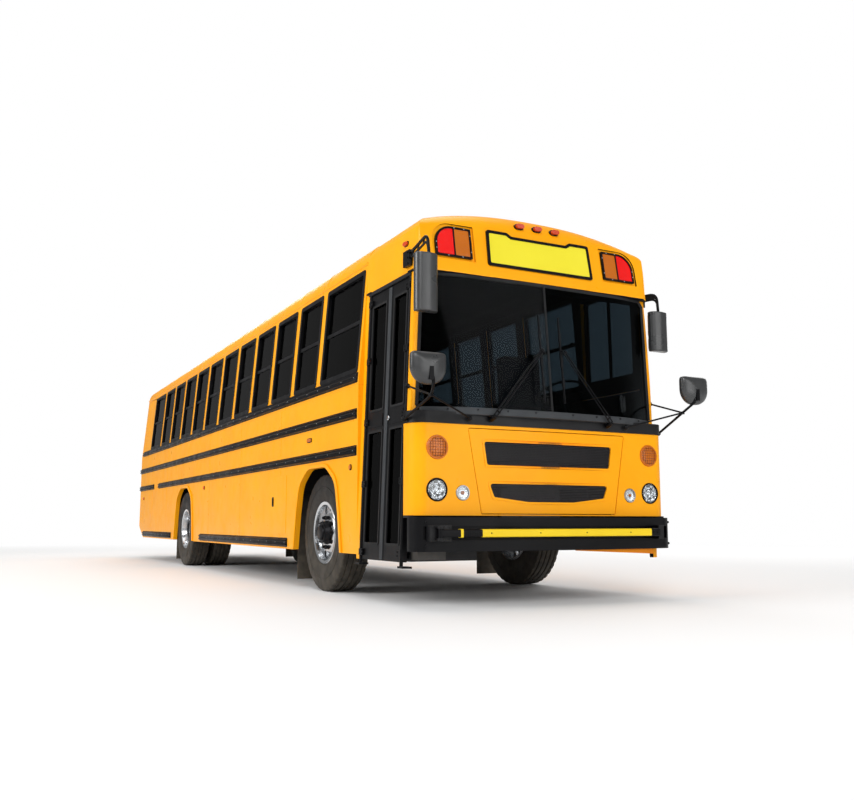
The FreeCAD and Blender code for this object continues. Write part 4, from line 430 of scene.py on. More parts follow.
@dataclass(frozen=True)
class Glazing:
    """Tinted safety glass: a thin sheet that darkens what is behind it.

    Attributes:
        name: Name of the glass.
        slot: Slot of the record that it stands for.
        tint: Colour of what passes through, as sRGB hex.
    """

    name: str
    slot: str
    tint: str

    def material(self) -> bpy.types.Material:
        """Builds the material once and gives it back after that."""
        known = bpy.data.materials.get(self.name)
        if known:
            return known
        material, tree, where = start_material(self.name)
        # float glass is flat to the eye, with a slow roll of a few centimetres
        roll = add_node(tree, "TexNoise", {"Vector": where}, Scale=9.0, Detail=1.0)
        bump = add_node(tree, "Bump", {"Height": roll.outputs[0]}, Strength=0.03, Distance=0.002)
        film = add_node(tree, "TexNoise", {"Vector": where}, Scale=3.0, Detail=6.0)
        haze = add_node(tree, "MapRange", {"Value": film.outputs[0]}, From_Min=0.4, From_Max=0.8, To_Min=0.01,
                        To_Max=0.06)
        through = add_node(tree, "BsdfTransparent", Color=linear(self.tint))
        shine = add_node(tree, "BsdfGlossy", {"Roughness": haze.outputs[0], "Normal": bump.outputs[0]})
        edge = add_node(tree, "Fresnel", {"Normal": bump.outputs[0]}, IOR=1.12)
        mixed = add_node(tree, "MixShader", {0: edge.outputs[0], 1: through.outputs[0], 2: shine.outputs[0]})
        add_node(tree, "OutputMaterial", {"Surface": mixed.outputs[0]})
        return material


# polyurethane enamel sprayed on steel: deep colour under a wet gloss with faint orange peel
YELLOW = Finish("sprayed_yellow_enamel", "school_yellow", "#FFAC0C", "#FCA406", Grain.PEEL, 3.0, 0.05,
                rough=0.36, coat=0.05, dust=0.03, shine=0.14)
ROOF_YELLOW = Finish("sprayed_roof_enamel", "roof_yellow", "#FFAC0C", "#FCA406", Grain.PEEL, 3.0, 0.05,
                     rough=0.36, coat=0.05, shine=0.14)
# satin paint on rolled steel: black with a broad soft sheen
BLACK = Finish("satin_black_paint", "black_trim", "#08080A", "#0C0C0F", Grain.PEEL, 2.0, 0.08, rough=0.38, shine=0.14)
CHASSIS = Finish("brushed_on_chassis_paint", "frame_black", "#141416", "#1E1C1A", Grain.SAND, 4.0, 0.25, rough=0.6,
                 dust=0.6)
MESH = Finish("powder_coated_mesh", "black_trim", "#2C2A2C", "#262426", Grain.SAND, 1.0, 0.1, rough=0.4)
# grained ABS: even dark grey with a dull pebbled skin
ABS = Finish("moulded_black_plastic", "moulded_black", "#0B0B0D", "#101013", Grain.PEBBLE, 1.6, 0.2, rough=0.45)
DOME = Finish("moulded_grey_plastic", "moulded_black", "#343536", "#2B2C2D", Grain.PEBBLE, 1.2, 0.08, rough=0.3,
              shine=0.6)
SEAL = Finish("extruded_grey_rubber", "flap_rubber", "#3C3F42", "#313336", Grain.BRUSHED, 2.0, 0.2, rough=0.62)
BLACK_RUBBER = Finish("extruded_black_rubber", "flap_rubber", "#101011", "#18181A", Grain.BRUSHED, 2.0, 0.2, rough=0.6)
FLAP = Finish("moulded_flap_rubber", "flap_rubber", "#131314", "#1D1C1B", Grain.SAND, 3.0, 0.2, rough=0.7, dust=0.5)
TYRE = Finish("cured_tyre_rubber", "tyre_rubber", "#111112", "#191918", Grain.SAND, 2.5, 0.25, rough=0.64, dust=0.35)
# machined and polished aluminium: bright, with fine turning lines
ALLOY = Finish("polished_aluminium", "bright_steel", "#D6D8DA", "#B9BCBF", Grain.BRUSHED, 1.0, 0.05, metallic=1.0,
               rough=0.2)
STEEL = Finish("brushed_stainless_steel", "bright_steel", "#B4B6B8", "#9C9EA0", Grain.BRUSHED, 1.0, 0.1, metallic=1.0,
               rough=0.32)
NUTS = Finish("phosphated_steel", "bright_steel", "#2A2A2C", "#1E1E20", Grain.SAND, 1.5, 0.15, metallic=1.0, rough=0.45)
IRON = Finish("painted_forged_iron", "axle_iron", "#141414", "#24211E", Grain.SAND, 5.0, 0.4, rough=0.65, dust=0.7)
ENGINE = Finish("sand_cast_engine_iron", "engine_iron", "#5A5D60", "#46494C", Grain.SAND, 4.0, 0.4, rough=0.55,
                dust=0.4)
TANK = Finish("painted_tank_steel", "tank_steel", "#17171A", "#222124", Grain.PEEL, 3.0, 0.15, rough=0.45, dust=0.5)
BOX_GREY = Finish("painted_grey_steel", "box_grey", "#303236", "#282A2D", Grain.PEEL, 2.0, 0.15, rough=0.45, dust=0.4)
VINYL = Finish("grained_seat_vinyl", "seat_vinyl", "#1A222C", "#141B24", Grain.PEBBLE, 6.0, 0.12, rough=0.6)
FLOORING = Finish("ribbed_floor_rubber", "floor_rubber", "#2A2A2B", "#1F1F20", Grain.RIBBED, 12.0, 0.5, rough=0.6)
# cabin lining painted near black as painted shade of the dim cabin; the lining steel itself is paler
CABIN_LINING_PAINTED_SHADE = Finish("lining_steel_painted_shade", "school_yellow", "#131517", "#0F1112", Grain.PEEL, 3.0, 0.1, rough=0.6,
                shine=0.1)
AMBER = Finish("moulded_amber_acrylic", "amber_lens", "#C86A08", "#B85E06", Grain.PRISM, 9.0, 0.35, rough=0.2, coat=0.3)
RED = Finish("moulded_red_acrylic", "red_lens", "#E80604", "#D40404", Grain.PRISM, 9.0, 0.35, rough=0.2, coat=0.3,
             glow=0.12)
WHITE_LENS = Finish("moulded_clear_acrylic", "clear_lens", "#F4F6F7", "#EDF0F2", Grain.PRISM, 14.0, 0.25, rough=0.03,
                    clear=1.0)
REFLECTOR = Finish("vacuum_metallised_bowl", "clear_lens", "#DADDE0", "#C6CACE", Grain.PRISM, 16.0, 0.6, metallic=1.0,
                   rough=0.12)
MIRROR = Finish("silvered_mirror_glass", "moulded_black", "#DCE0E2", "#D2D6D8", Grain.PEEL, 40.0, 0.01, metallic=1.0,
                rough=0.03)
SHEETING = Finish("retroreflective_yellow_sheeting", "sign_yellow", "#F0E230", "#EADB26", Grain.PRISM, 6.0, 0.1,
                  rough=0.4, coat=0.2)
SIGN_RED = Finish("retroreflective_red_sheeting", "sign_red", "#C8101A", "#B80C16", Grain.PRISM, 4.0, 0.12, rough=0.3,
                  coat=0.5)
ARM_YELLOW = Finish("pultruded_yellow_fibreglass", "arm_yellow", "#F4D21A", "#EBC714", Grain.BRUSHED, 2.0, 0.1,
                    rough=0.35)
WHITE_PAINT = Finish("sprayed_white_enamel", "sign_red", "#ECECE8", "#E2E2DC", Grain.PEEL, 2.0, 0.08, rough=0.35)
MARKER = Finish("moulded_orange_polycarbonate", "amber_lens", "#C83C0A", "#B83408", Grain.PRISM, 6.0, 0.3, rough=0.2,
                coat=0.3, glow=0.1)
# guard under the bumper: its yellow paint drawn darker orange, as painted shade under the bumper
GUARD_YELLOW_PAINTED_SHADE = Finish("sprayed_guard_painted_shade", "school_yellow", "#D8800C", "#CC7408", Grain.PEEL, 3.0, 0.1, rough=0.4,
                shine=0.15)
# amber ribs of a lens painted darker, as shade on them, and some of the bowl's facets painted dark, as dark reflections
AMBER_RIB_PAINTED_SHADE = Finish("ribbed_amber_painted_shade", "amber_lens", "#7E3A04", "#6E3203", Grain.PRISM, 5.0, 0.3, rough=0.3)
BOWL_PAINTED_REFLECTION = Finish("bowl_facet_painted_reflection", "clear_lens", "#2C2E31", "#232528", Grain.PRISM, 8.0, 0.3, metallic=1.0,
                   rough=0.2)
# laminated screen and toughened side glass, both dark for privacy
SCREEN_GLASS = Glazing("laminated_windscreen_glass", "glass", "#ACB4B8")
SIDE_GLASS = Glazing("toughened_tinted_glass", "glass", "#889298")


# ---------------------------------------------------------------- shapes
def bent(points: Sequence[Sequence[float]], r: float, step: float = 15.0) -> list[Vector]:
    """Path in space with its inner corners rounded.

    Args:
        points: Corners of the path.
        r: Length cut from both sides of each corner.
        step: Degrees that one chord turns.

    Returns:
        The points along the path.
    """
    corners = [Vector(p) for p in points]
    path = [corners[0]]
    for before, here, after in zip(corners, corners[1:], corners[2:]):
        reach = min(r, (here - before).length * 0.45, (after - here).length * 0.45)
        start = here + (before - here).normalized() * reach
        end = here + (after - here).normalized() * reach
        turn = math.degrees((here - before).angle(after - here))
        steps = max(2, math.ceil(turn / step))
        for k in range(steps + 1):
            t = k / steps
            path.append(start * (1 - t) ** 2 + here * (2 * t * (1 - t)) + end * t ** 2)
    path.append(corners[-1])
    return path


# faces of a block given as one side's four corners and then the other's
BLOCK_FACES = [(0, 1, 2, 3), (7, 6, 5, 4), (0, 4, 5, 1), (1, 5, 6, 2), (2, 6, 7, 3), (3, 7, 4, 0)]


class Solid:
    """Mesh under construction, in body millimetres."""

    def __init__(self) -> None:
        """Starts empty, with the piece's first finish."""
        self.mesh = bmesh.new()
        self.finish = 0

    def add(self, corners: Iterable[Sequence[float]], faces: Iterable[Sequence[int]]) -> Solid:
        """Adds faces in the current finish.

        Args:
            corners: Points of the faces.
            faces: Rows of indices of those points.

        Returns:
            This solid.
        """
        verts = [self.mesh.verts.new(corner) for corner in corners]
        for row in faces:
            face = self.mesh.faces.new([verts[i] for i in row])
            face.material_index = self.finish
        return self

    def prism(self, plane: Plane, outline: Outline, low: float, high: float, holes: Sequence[Outline] = ()) -> Solid:
        """Adds a flat-ended prism, with holes through it if there are any.

        Args:
            plane: Plane of the outline.
            outline: Points of the outer edge.
            low: Start along the plane's normal.
            high: End along the plane's normal.
            holes: Outlines of the holes.

        Returns:
            This solid.
        """
        loops = [list(outline)] + [list(hole) for hole in holes]
        corners = [spot(plane, a, b, c) for c in (low, high) for loop in loops for a, b in loop]
        total = sum(len(loop) for loop in loops)
        faces: list[tuple] = []
        if len(loops) == 1:
            faces += [tuple(range(total)), tuple(range(total, 2 * total))]
        else:
            for triangle in tessellate_polygon([[Vector((a, b, 0.0)) for a, b in loop] for loop in loops]):
                faces += [tuple(triangle), tuple(i + total for i in triangle)]
        start = 0
        for loop in loops:
            count = len(loop)
            for i in range(count):
                j = (i + 1) % count
                faces.append((start + i, start + j, total + start + j, total + start + i))
            start += count
        return self.add(corners, faces)

    def box(self, x: Span, y: Span, z: Span) -> Solid:
        """Adds a box from three (low, high) pairs."""
        return self.prism(Plane.XY, [(x[0], y[0]), (x[1], y[0]), (x[1], y[1]), (x[0], y[1])], *z)

    def lathe(self, profile: Outline, centre: Sequence[float], axis: Sequence[float], sides: int = 48) -> Solid:
        """Adds a turned form; a closed ring where the profile never meets the axis.

        Args:
            profile: (offset along the axis, radius) points, closed from last to first.
            centre: Point of the axis that offsets start from.
            axis: Direction of the axis.
            sides: Steps round it.

        Returns:
            This solid.
        """
        way = Vector(axis).normalized()
        across = way.orthogonal().normalized()
        up = way.cross(across)
        middle = Vector(centre)
        count = len(profile)
        corners = []
        for i in range(sides):
            turn = 2 * math.pi * i / sides
            out = across * math.cos(turn) + up * math.sin(turn)
            corners += [middle + way * a + out * max(r, 0.0) for a, r in profile]
        faces = []
        for i in range(sides):
            there = (i + 1) % sides * count
            here = i * count
            for k in range(count):
                n = (k + 1) % count
                if profile[k][1] > 0 and profile[n][1] > 0:
                    faces.append((here + k, here + n, there + n, there + k))
                elif profile[k][1] > 0:
                    faces.append((here + k, here + n, there + k))
                elif profile[n][1] > 0:
                    faces.append((here + k, here + n, there + n))
        return self.add(corners, faces)

    def tube(self, path: Sequence[Sequence[float]], r: float, sides: int = 12) -> Solid:
        """Adds a round bar along a path.

        Args:
            path: Points of its middle line.
            r: Radius.
            sides: Steps round it.

        Returns:
            This solid.
        """
        return self.sweep(path, circle(0.0, 0.0, r, sides))

    def sweep(self, path: Sequence[Sequence[float]], section: Outline, up: Sequence[float] | None = None) -> Solid:
        """Adds a bar of any section along a path.

        Args:
            path: Points of its middle line.
            section: Outline as (across, up) about the line.
            up: Direction that the section's second measure keeps near to.

        Returns:
            This solid.
        """
        line = [Vector(p) for p in path]
        count = len(section)
        corners = []
        rise = Vector(up) if up is not None else (line[1] - line[0]).orthogonal()
        for i, here in enumerate(line):
            before = (here - line[max(i - 1, 0)]).normalized()
            after = (line[min(i + 1, len(line) - 1)] - here).normalized()
            way = (before + after).normalized()
            across = way.cross(rise).normalized()
            top = across.cross(way).normalized()
            if up is None:
                rise = top
            stretch = 1.0
            if before.length > 0 and after.length > 0:
                stretch = 1.0 / max(0.5, math.cos(before.angle(after) / 2))
            for a, b in section:
                corners.append(here + across * (a * stretch) + top * b)
        return self.add(corners, caps(len(line), count) + bands(len(line), count))

    def shell(self, across: int, along: int, surface: Callable[[float, float], Sequence[float]],
              behind: Callable[[float, float], Sequence[float]]) -> Solid:
        """Adds a closed sheet between two curved surfaces over the same net.

        Args:
            across: Steps of the first measure.
            along: Steps of the second measure.
            surface: Point of the outer face at two measures from 0 to 1.
            behind: Point of the inner face there.

        Returns:
            This solid.
        """
        row = along + 1
        size = (across + 1) * row
        corners = []
        for face in (surface, behind):
            corners += [face(i / across, j / along) for i in range(across + 1) for j in range(row)]
        faces = []
        for side in (0, size):
            for i in range(across):
                for j in range(along):
                    a = side + i * row + j
                    faces.append((a, a + 1, a + row + 1, a + row))
        rim = [(i * row, (i + 1) * row) for i in range(across)]
        rim += [(i * row + along, (i + 1) * row + along) for i in range(across)]
        rim += [(j, j + 1) for j in range(along)]
        rim += [(across * row + j, across * row + j + 1) for j in range(along)]
        faces += [(a, b, b + size, a + size) for a, b in rim]
        return self.add(corners, faces)

    def dome(self, centre: Sequence[float], axis: Sequence[float], r: float, h: float, sides: int = 10) -> Solid:
        """Adds a low round head, such as a rivet or screw, on a face.

        Args:
            centre: Middle of its foot.
            axis: Direction that it stands in.
            r: Radius of the foot.
            h: Height.
            sides: Steps round it.

        Returns:
            This solid.
        """
        return self.lathe([(-0.5, 0.0), (-0.5, r), (h * 0.55, r * 0.85), (h, r * 0.4), (h, 0.0)], centre, axis, sides)

    def rivet(self, x: float, y: float, z: float) -> Solid:
        """Adds a rivet head on the driver's side of a wall."""
        return self.dome((x, y, z), (1, 0, 0), 3.6, 2.2, 8)

    def nut(self, centre: Sequence[float], axis: Sequence[float], r: float, h: float) -> Solid:
        """Adds a hexagon nut or bolt head.

        Args:
            centre: Middle of its foot.
            axis: Direction that it stands in.
            r: Radius to its corners.
            h: Height.

        Returns:
            This solid.
        """
        return self.lathe([(-0.5, 0.0), (-0.5, r), (h * 0.8, r), (h, r * 0.82), (h, 0.0)], centre, axis, 6)

    def warp(self, change: Callable[[Vector], Sequence[float]], start: int = 0) -> Solid:
        """Moves every point by a rule.

        Args:
            change: Gives a point's new place.
            start: Index of the first point that is moved.

        Returns:
            This solid.
        """
        for i, vert in enumerate(self.mesh.verts):
            if i >= start:
                vert.co = change(vert.co)
        return self

    def mirror(self) -> Solid:
        """Turns the solid into its own mirror image across the bus."""
        self.warp(lambda p: (-p.x, p.y, p.z))
        bmesh.ops.reverse_faces(self.mesh, faces=self.mesh.faces)
        return self

    def join(self, other: Solid) -> Solid:
        """Takes in the faces of another solid, which is used up."""
        data = bpy.data.meshes.new("work")
        other.mesh.to_mesh(data)
        self.mesh.from_mesh(data)
        bpy.data.meshes.remove(data)
        other.mesh.free()
        return self

    def carve(self, tool: Solid, operation: str = "DIFFERENCE") -> Solid:
        """Cuts away, keeps or adds what another solid covers; the other is used up.

        Args:
            tool: The other solid.
            operation: DIFFERENCE, INTERSECT or UNION.

        Returns:
            This solid.
        """
        holders = []
        for solid in (self, tool):
            bmesh.ops.recalc_face_normals(solid.mesh, faces=solid.mesh.faces)
            data = bpy.data.meshes.new("work")
            solid.mesh.to_mesh(data)
            solid.mesh.free()
            holder = bpy.data.objects.new("work", data)
            bpy.context.scene.collection.objects.link(holder)
            holders.append(holder)
        change = holders[0].modifiers.new("change", "BOOLEAN")
        change.object = holders[1]
        change.operation = operation
        change.solver = "EXACT"
        shape = holders[0].evaluated_get(bpy.context.evaluated_depsgraph_get())
        result = bpy.data.meshes.new_from_object(shape)
        self.mesh = bmesh.new()
        self.mesh.from_mesh(result)
        for holder in holders:
            data = holder.data
            bpy.data.objects.remove(holder)
            bpy.data.meshes.remove(data)
        bpy.data.meshes.remove(result)
        return self

    def piece(self, name: str, finishes: Sequence[Finish | Glazing], stands_for: Sequence[str] = (),
              body: str = "bus_body", bevel: float = 0.0, angle: float = 32.0, segments: int = 3,
              inside: Finish | None = None) -> bpy.types.Object:
        """Turns the solid into a dressed piece that rides on a body.

        Args:
            name: Name of the piece.
            finishes: Its finishes, in the order of the faces' numbers.
            stands_for: CAD nodes that it replaces.
            body: Body that it moves with.
            bevel: Width of its rounded edges, in millimetres.
            angle: Degrees above which an edge is sharp.
            segments: Steps across a rounded edge.
            inside: Finish of the faces that look into the cabin, painted dark as shade.

        Returns:
            The object.
        """
        bmesh.ops.remove_doubles(self.mesh, verts=self.mesh.verts, dist=0.002)
        bmesh.ops.recalc_face_normals(self.mesh, faces=self.mesh.faces)
        # faces that look into the cabin take the lining painted dark as shade
        if inside:
            finishes = [*finishes, inside]
            for face in self.mesh.faces:
                out = face.calc_center_median() - Vector((0.0, face.calc_center_median().y, COACH.belt_z))
                if face.normal.dot(out.normalized()) < -0.3:
                    face.material_index = len(finishes) - 1
        for vert in self.mesh.verts:
            vert.co = place(*vert.co)
        data = bpy.data.meshes.new(name)
        self.mesh.to_mesh(data)
        self.mesh.free()
        for finish in finishes:
            data.materials.append(finish.material())
        data.shade_smooth()
        data.set_sharp_from_angle(angle=math.radians(angle))
        piece = bpy.data.objects.new(name, data)
        bpy.context.scene.collection.objects.link(piece)
        if bevel > 0:
            rounding = piece.modifiers.new("rounding", "BEVEL")
            rounding.width = bevel * MM
            rounding.segments = segments
            rounding.limit_method = "ANGLE"
            rounding.angle_limit = math.radians(angle)
            rounding.harden_normals = True
        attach(piece, body)
        if stands_for:
            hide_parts(*stands_for)
        LOG.info("%s: %d faces on %s", name, len(data.polygons), body)
        return piece


# ---------------------------------------------------------------- coachwork sizes
@dataclass(frozen=True)
class Coach:
    """Section and stations of the coachwork, in body millimetres."""

    half_w: float = 1219.0
    wall: float = 45.0
    end_y: float = 11290.0
    cap_end_y: float = 860.0
    skirt_z: float = 370.0
    belt_z: float = 1810.0
    lean: float = 0.08
    eave_z: float = 2900.0
    eave_r: float = 198.0
    roof_z: float = 3190.0
    crown_half: float = 900.0
    crown_drop: float = 88.0
    crown_power: float = 2.42
    crown_slope: float = 0.278
    sill_z: float = 1932.0
    window_top_z: float = 2838.0
    brow_y: float = -172.0
    brow_lean: float = 0.17
    screen_top_z: float = 2585.0
    door_foot_z: float = 335.0
    door_lean: float = 0.0355

    def wall_x(self, z: float) -> float:
        """Half width of the side's outer face at a height."""
        return self.half_w - self.lean * max(0.0, z - self.belt_z)

    def face_y(self, z: float) -> float:
        """Y of the brow's face at a height."""
        return self.brow_y + self.brow_lean * (z - self.screen_top_z)

    def rear_y(self, z: float) -> float:
        """Y of the rear wall's face at a height."""
        return self.end_y - max(0.0, z - self.belt_z) * self.wall * 0.9 / (self.roof_z + 5 - self.belt_z)

    def crown(self, x: float) -> float:
        """Height of the roof's outer face at a place across it."""
        share = min(1.0, abs(x) / self.crown_half)
        beyond = max(0.0, abs(x) - self.crown_half)
        return self.roof_z - self.crown_drop * share ** self.crown_power - self.crown_slope * beyond

    def section(self, inset: float, lean: float, foot_x: float, foot_z: float, belt_z: float, r: float) -> list[tuple]:
        """Closed section of a shell: leaning walls under the crowned roof.

        Args:
            inset: Distance inside the outer face.
            lean: Inward lean of its walls above the belt.
            foot_x: Half width of its outer face at the belt and below.
            foot_z: Height of its foot.
            belt_z: Height above which the walls lean.
            r: Radius of its eaves.

        Returns:
            The section's points in X and Z.
        """
        apex = self.roof_z - self.crown_drop + self.crown_slope * self.crown_half - inset
        top = foot_x - inset + lean * belt_z
        eave_x = (top - lean * apex) / (1 - lean * self.crown_slope)
        half = [(foot_x - inset, foot_z), (foot_x - inset, belt_z),
                (eave_x, apex - self.crown_slope * eave_x, r - inset)]
        half += [(x, self.crown(x) - inset) for x in (self.crown_half * k / 9 for k in range(9, 0, -1))]
        if belt_z <= foot_z:
            half.pop(0)
        other = [(-point[0],) + tuple(point[1:]) for point in reversed(half)]
        return eased(half + [(0.0, self.roof_z - inset)] + other, 6.0)

    def body_section(self, inset: float) -> list[tuple]:
        """Section of the passenger body."""
        return self.section(inset, self.lean, self.half_w, self.skirt_z, self.belt_z, self.eave_r)

    def cab_section(self, inset: float) -> list[tuple]:
        """Section of the front cap, which leans from its foot."""
        return self.section(inset, self.door_lean, self.half_w + 8, self.door_foot_z, self.door_foot_z,
                            self.eave_r + 30)

    def windows(self) -> list[Span]:
        """Stations of the passenger windows as (front, rear)."""
        starts = [1941.0 + 768.0 * i for i in range(10)]
        return [(905.0, 1815.0)] + [(y, y + 642.0) for y in starts] + [(9621.0, 10451.0)]


COACH = Coach()
SIDES = {"right": -1, "left": 1}


@dataclass(frozen=True)
class Arch:
    """Wheel arch in a side wall.

    Attributes:
        centre_y: Its middle along the bus.
    """

    centre_y: float
    foot: float = 618.0
    knee: float = 560.0
    knee_z: float = 700.0
    top_z: float = 1140.0

    def path(self, grow: float = 0.0) -> list[tuple]:
        """Open line from the front foot over the top to the rear foot.

        Args:
            grow: Distance outside the opening's edge.

        Returns:
            The points in Y and Z.
        """
        knee = self.knee + grow
        top = self.top_z + grow
        foot = self.foot + grow
        half = [(knee, self.knee_z, 300.0), (knee * 0.86, top - 150, 220.0), (knee * 0.42, top, 300.0)]
        points = [(-foot, COACH.skirt_z - 20)] + [(-a, b, r) for a, b, r in half]
        points += [(a, b, r) for a, b, r in reversed(half)] + [(foot, COACH.skirt_z - 20)]
        return [(self.centre_y + a, max(b, COACH.skirt_z)) for a, b in eased(points, 5.0)]


ARCHES = (Arch(1836.0), Arch(7536.0))


# ---------------------------------------------------------------- body sides
@dataclass(frozen=True)
class BodySide:
    """One lower side: skin, arch lips, lap seams, rivets and rub rails.

    Attributes:
        name: right or left.
    """

    name: str
    lip_w: float = 34.0
    lip_proud: float = 18.0
    seams: tuple = (2960.0, 4496.0, 6032.0, 8870.0, 10106.0)
    rails: tuple = (
        (1831.0, 1923.0, 880.0, 11130.0),
        (1516.0, 1608.0, 880.0, 11286.0),
        (1199.0, 1289.0, 880.0, 9560.0),
        (1199.0, 1289.0, 9960.0, 11286.0),
        (385.0, 479.0, 2680.0, 6480.0),
        (385.0, 479.0, 8420.0, 10860.0),
    )
    rail_proud: float = 22.0
    arch_ys: tuple = (6830.0, 8240.0)
    rivet_pitch: float = 96.0
    rivet_rows: tuple = (1190.0, 496.0, 1505.0)
    screw_pitch: float = 300.0

    @property
    def side(self) -> int:
        """Sign of its X."""
        return SIDES[self.name]

    def _set(self, solid: Solid) -> Solid:
        """Puts a solid built at +X on this side."""
        return solid.mirror() if self.side < 0 else solid

    def build(self) -> None:
        """Builds the side's pieces."""
        self._skin()
        self._lips()
        self._fastenings()
        self._rub_rails()

    def _skin(self) -> None:
        """Sheet between skirt and belt with its two arches and the cut rear corner."""
        front = 0.0 if self.side > 0 else COACH.cap_end_y
        rear = COACH.end_y - COACH.wall
        outline = [(front, COACH.skirt_z)]
        for arch in ARCHES:
            outline += arch.path()
        outline += [(10870.0, COACH.skirt_z), (rear, COACH.skirt_z + 172), (rear, COACH.belt_z), (front, COACH.belt_z)]
        skin = Solid().prism(Plane.YZ, outline, COACH.half_w - COACH.wall, COACH.half_w)
        # rolled flange along the skirt's lower edge, as seen from below
        for y0, y1 in ((2500.0, 6870.0), (8200.0, 10860.0)):
            skin.box((COACH.half_w - 70, COACH.half_w - 1), (y0, y1), (COACH.skirt_z - 3, COACH.skirt_z + 2))
        self._set(skin).piece(self.name + "_side_skin", [YELLOW], [self.name + "_side_panel"], bevel=2.5, inside=CABIN_LINING_PAINTED_SHADE)

    def _lips(self) -> None:
        """Rolled edges round the arches."""
        lips = Solid()
        for arch in ARCHES:
            inner = arch.path(0.0)
            outer = arch.path(self.lip_w)
            ring = inner + outer[::-1]
            lips.prism(Plane.YZ, ring, COACH.half_w - 3, COACH.half_w + self.lip_proud)
        self._set(lips).piece(self.name + "_arch_lips", [YELLOW], bevel=9.0, segments=5)

    def _fastenings(self) -> None:
        """Lap joints of the skin, their rivets, and the small access door behind the front wheel."""
        work = Solid()
        face = COACH.half_w
        for y in self.seams:
            work.box((face - 2, face + 1.6), about(y, 17), (COACH.skirt_z + 4, COACH.belt_z))
            for z in [400.0 + 58.0 * i for i in range(24)]:
                for dy in (-9, 9):
                    work.rivet(face + 1.5, y + dy, z)
        y = 2720.0
        while y < COACH.end_y - 120:
            # only the highest row runs on over the rear arch
            over_arch = self.arch_ys[0] < y < self.arch_ys[1]
            for z in self.rivet_rows[2 if over_arch else 0:]:
                work.rivet(face, y, z)
            y += self.rivet_pitch
        # service door: a plate that stands off its opening, with a flush latch
        work.prism(Plane.YZ, rounded((2740.0, 3230.0), (520.0, 1120.0), 18.0), face - 1, face + 3.0)
        self._set(work).piece(self.name + "_laps_and_rivets", [YELLOW], bevel=0.8, segments=2)
        latch = Solid().prism(Plane.YZ, rounded((3150.0, 3200.0), (800.0, 900.0), 12.0), face + 2, face + 9)
        latch.box((face + 8, face + 14), (3166.0, 3184.0), (818.0, 882.0))
        self._set(latch).piece(self.name + "_service_latch", [BLACK], bevel=2.0)

    def _rub_rails(self) -> None:
        """Pressed rails with two ribs, a flange above and below, and tapered ends."""
        rails = Solid()
        screws = Solid()
        for z0, z1, y0, y1 in self.rails:
            h = z1 - z0
            out = self.rail_proud
            shape = [(0.0, 0.0), (2.0, 0.0), (2.5, 0.09), (out, 0.19), (out, 0.37), (out - 8, 0.45), (out - 8, 0.55),
                     (out, 0.63), (out, 0.81), (2.5, 0.91), (2.0, 1.0), (0.0, 1.0)]
            stations = [(y0, 0.1), (y0 + 7, 0.7), (y0 + 18, 1.0), (y1 - 18, 1.0), (y1 - 7, 0.7), (y1, 0.1)]
            corners = []
            for y, share in stations:
                corners += [(COACH.wall_x(z0 + b * h) - 0.5 + a * share, y, z0 + b * h) for a, b in shape]
            rails.add(corners, caps(len(stations), len(shape)) + bands(len(stations), len(shape)))
            y = y0 + 60.0
            while y < y1 - 40:
                z = z0 + h / 2
                screws.dome((COACH.wall_x(z) + out - 8, y, z), (1, 0, 0), 5.5, 3.0, 10)
                y += self.screw_pitch
        self._set(rails).piece(self.name + "_rub_rails", [BLACK], ["rub_rails"], bevel=2.0, segments=2)
        self._set(screws).piece(self.name + "_rail_screws", [STEEL])


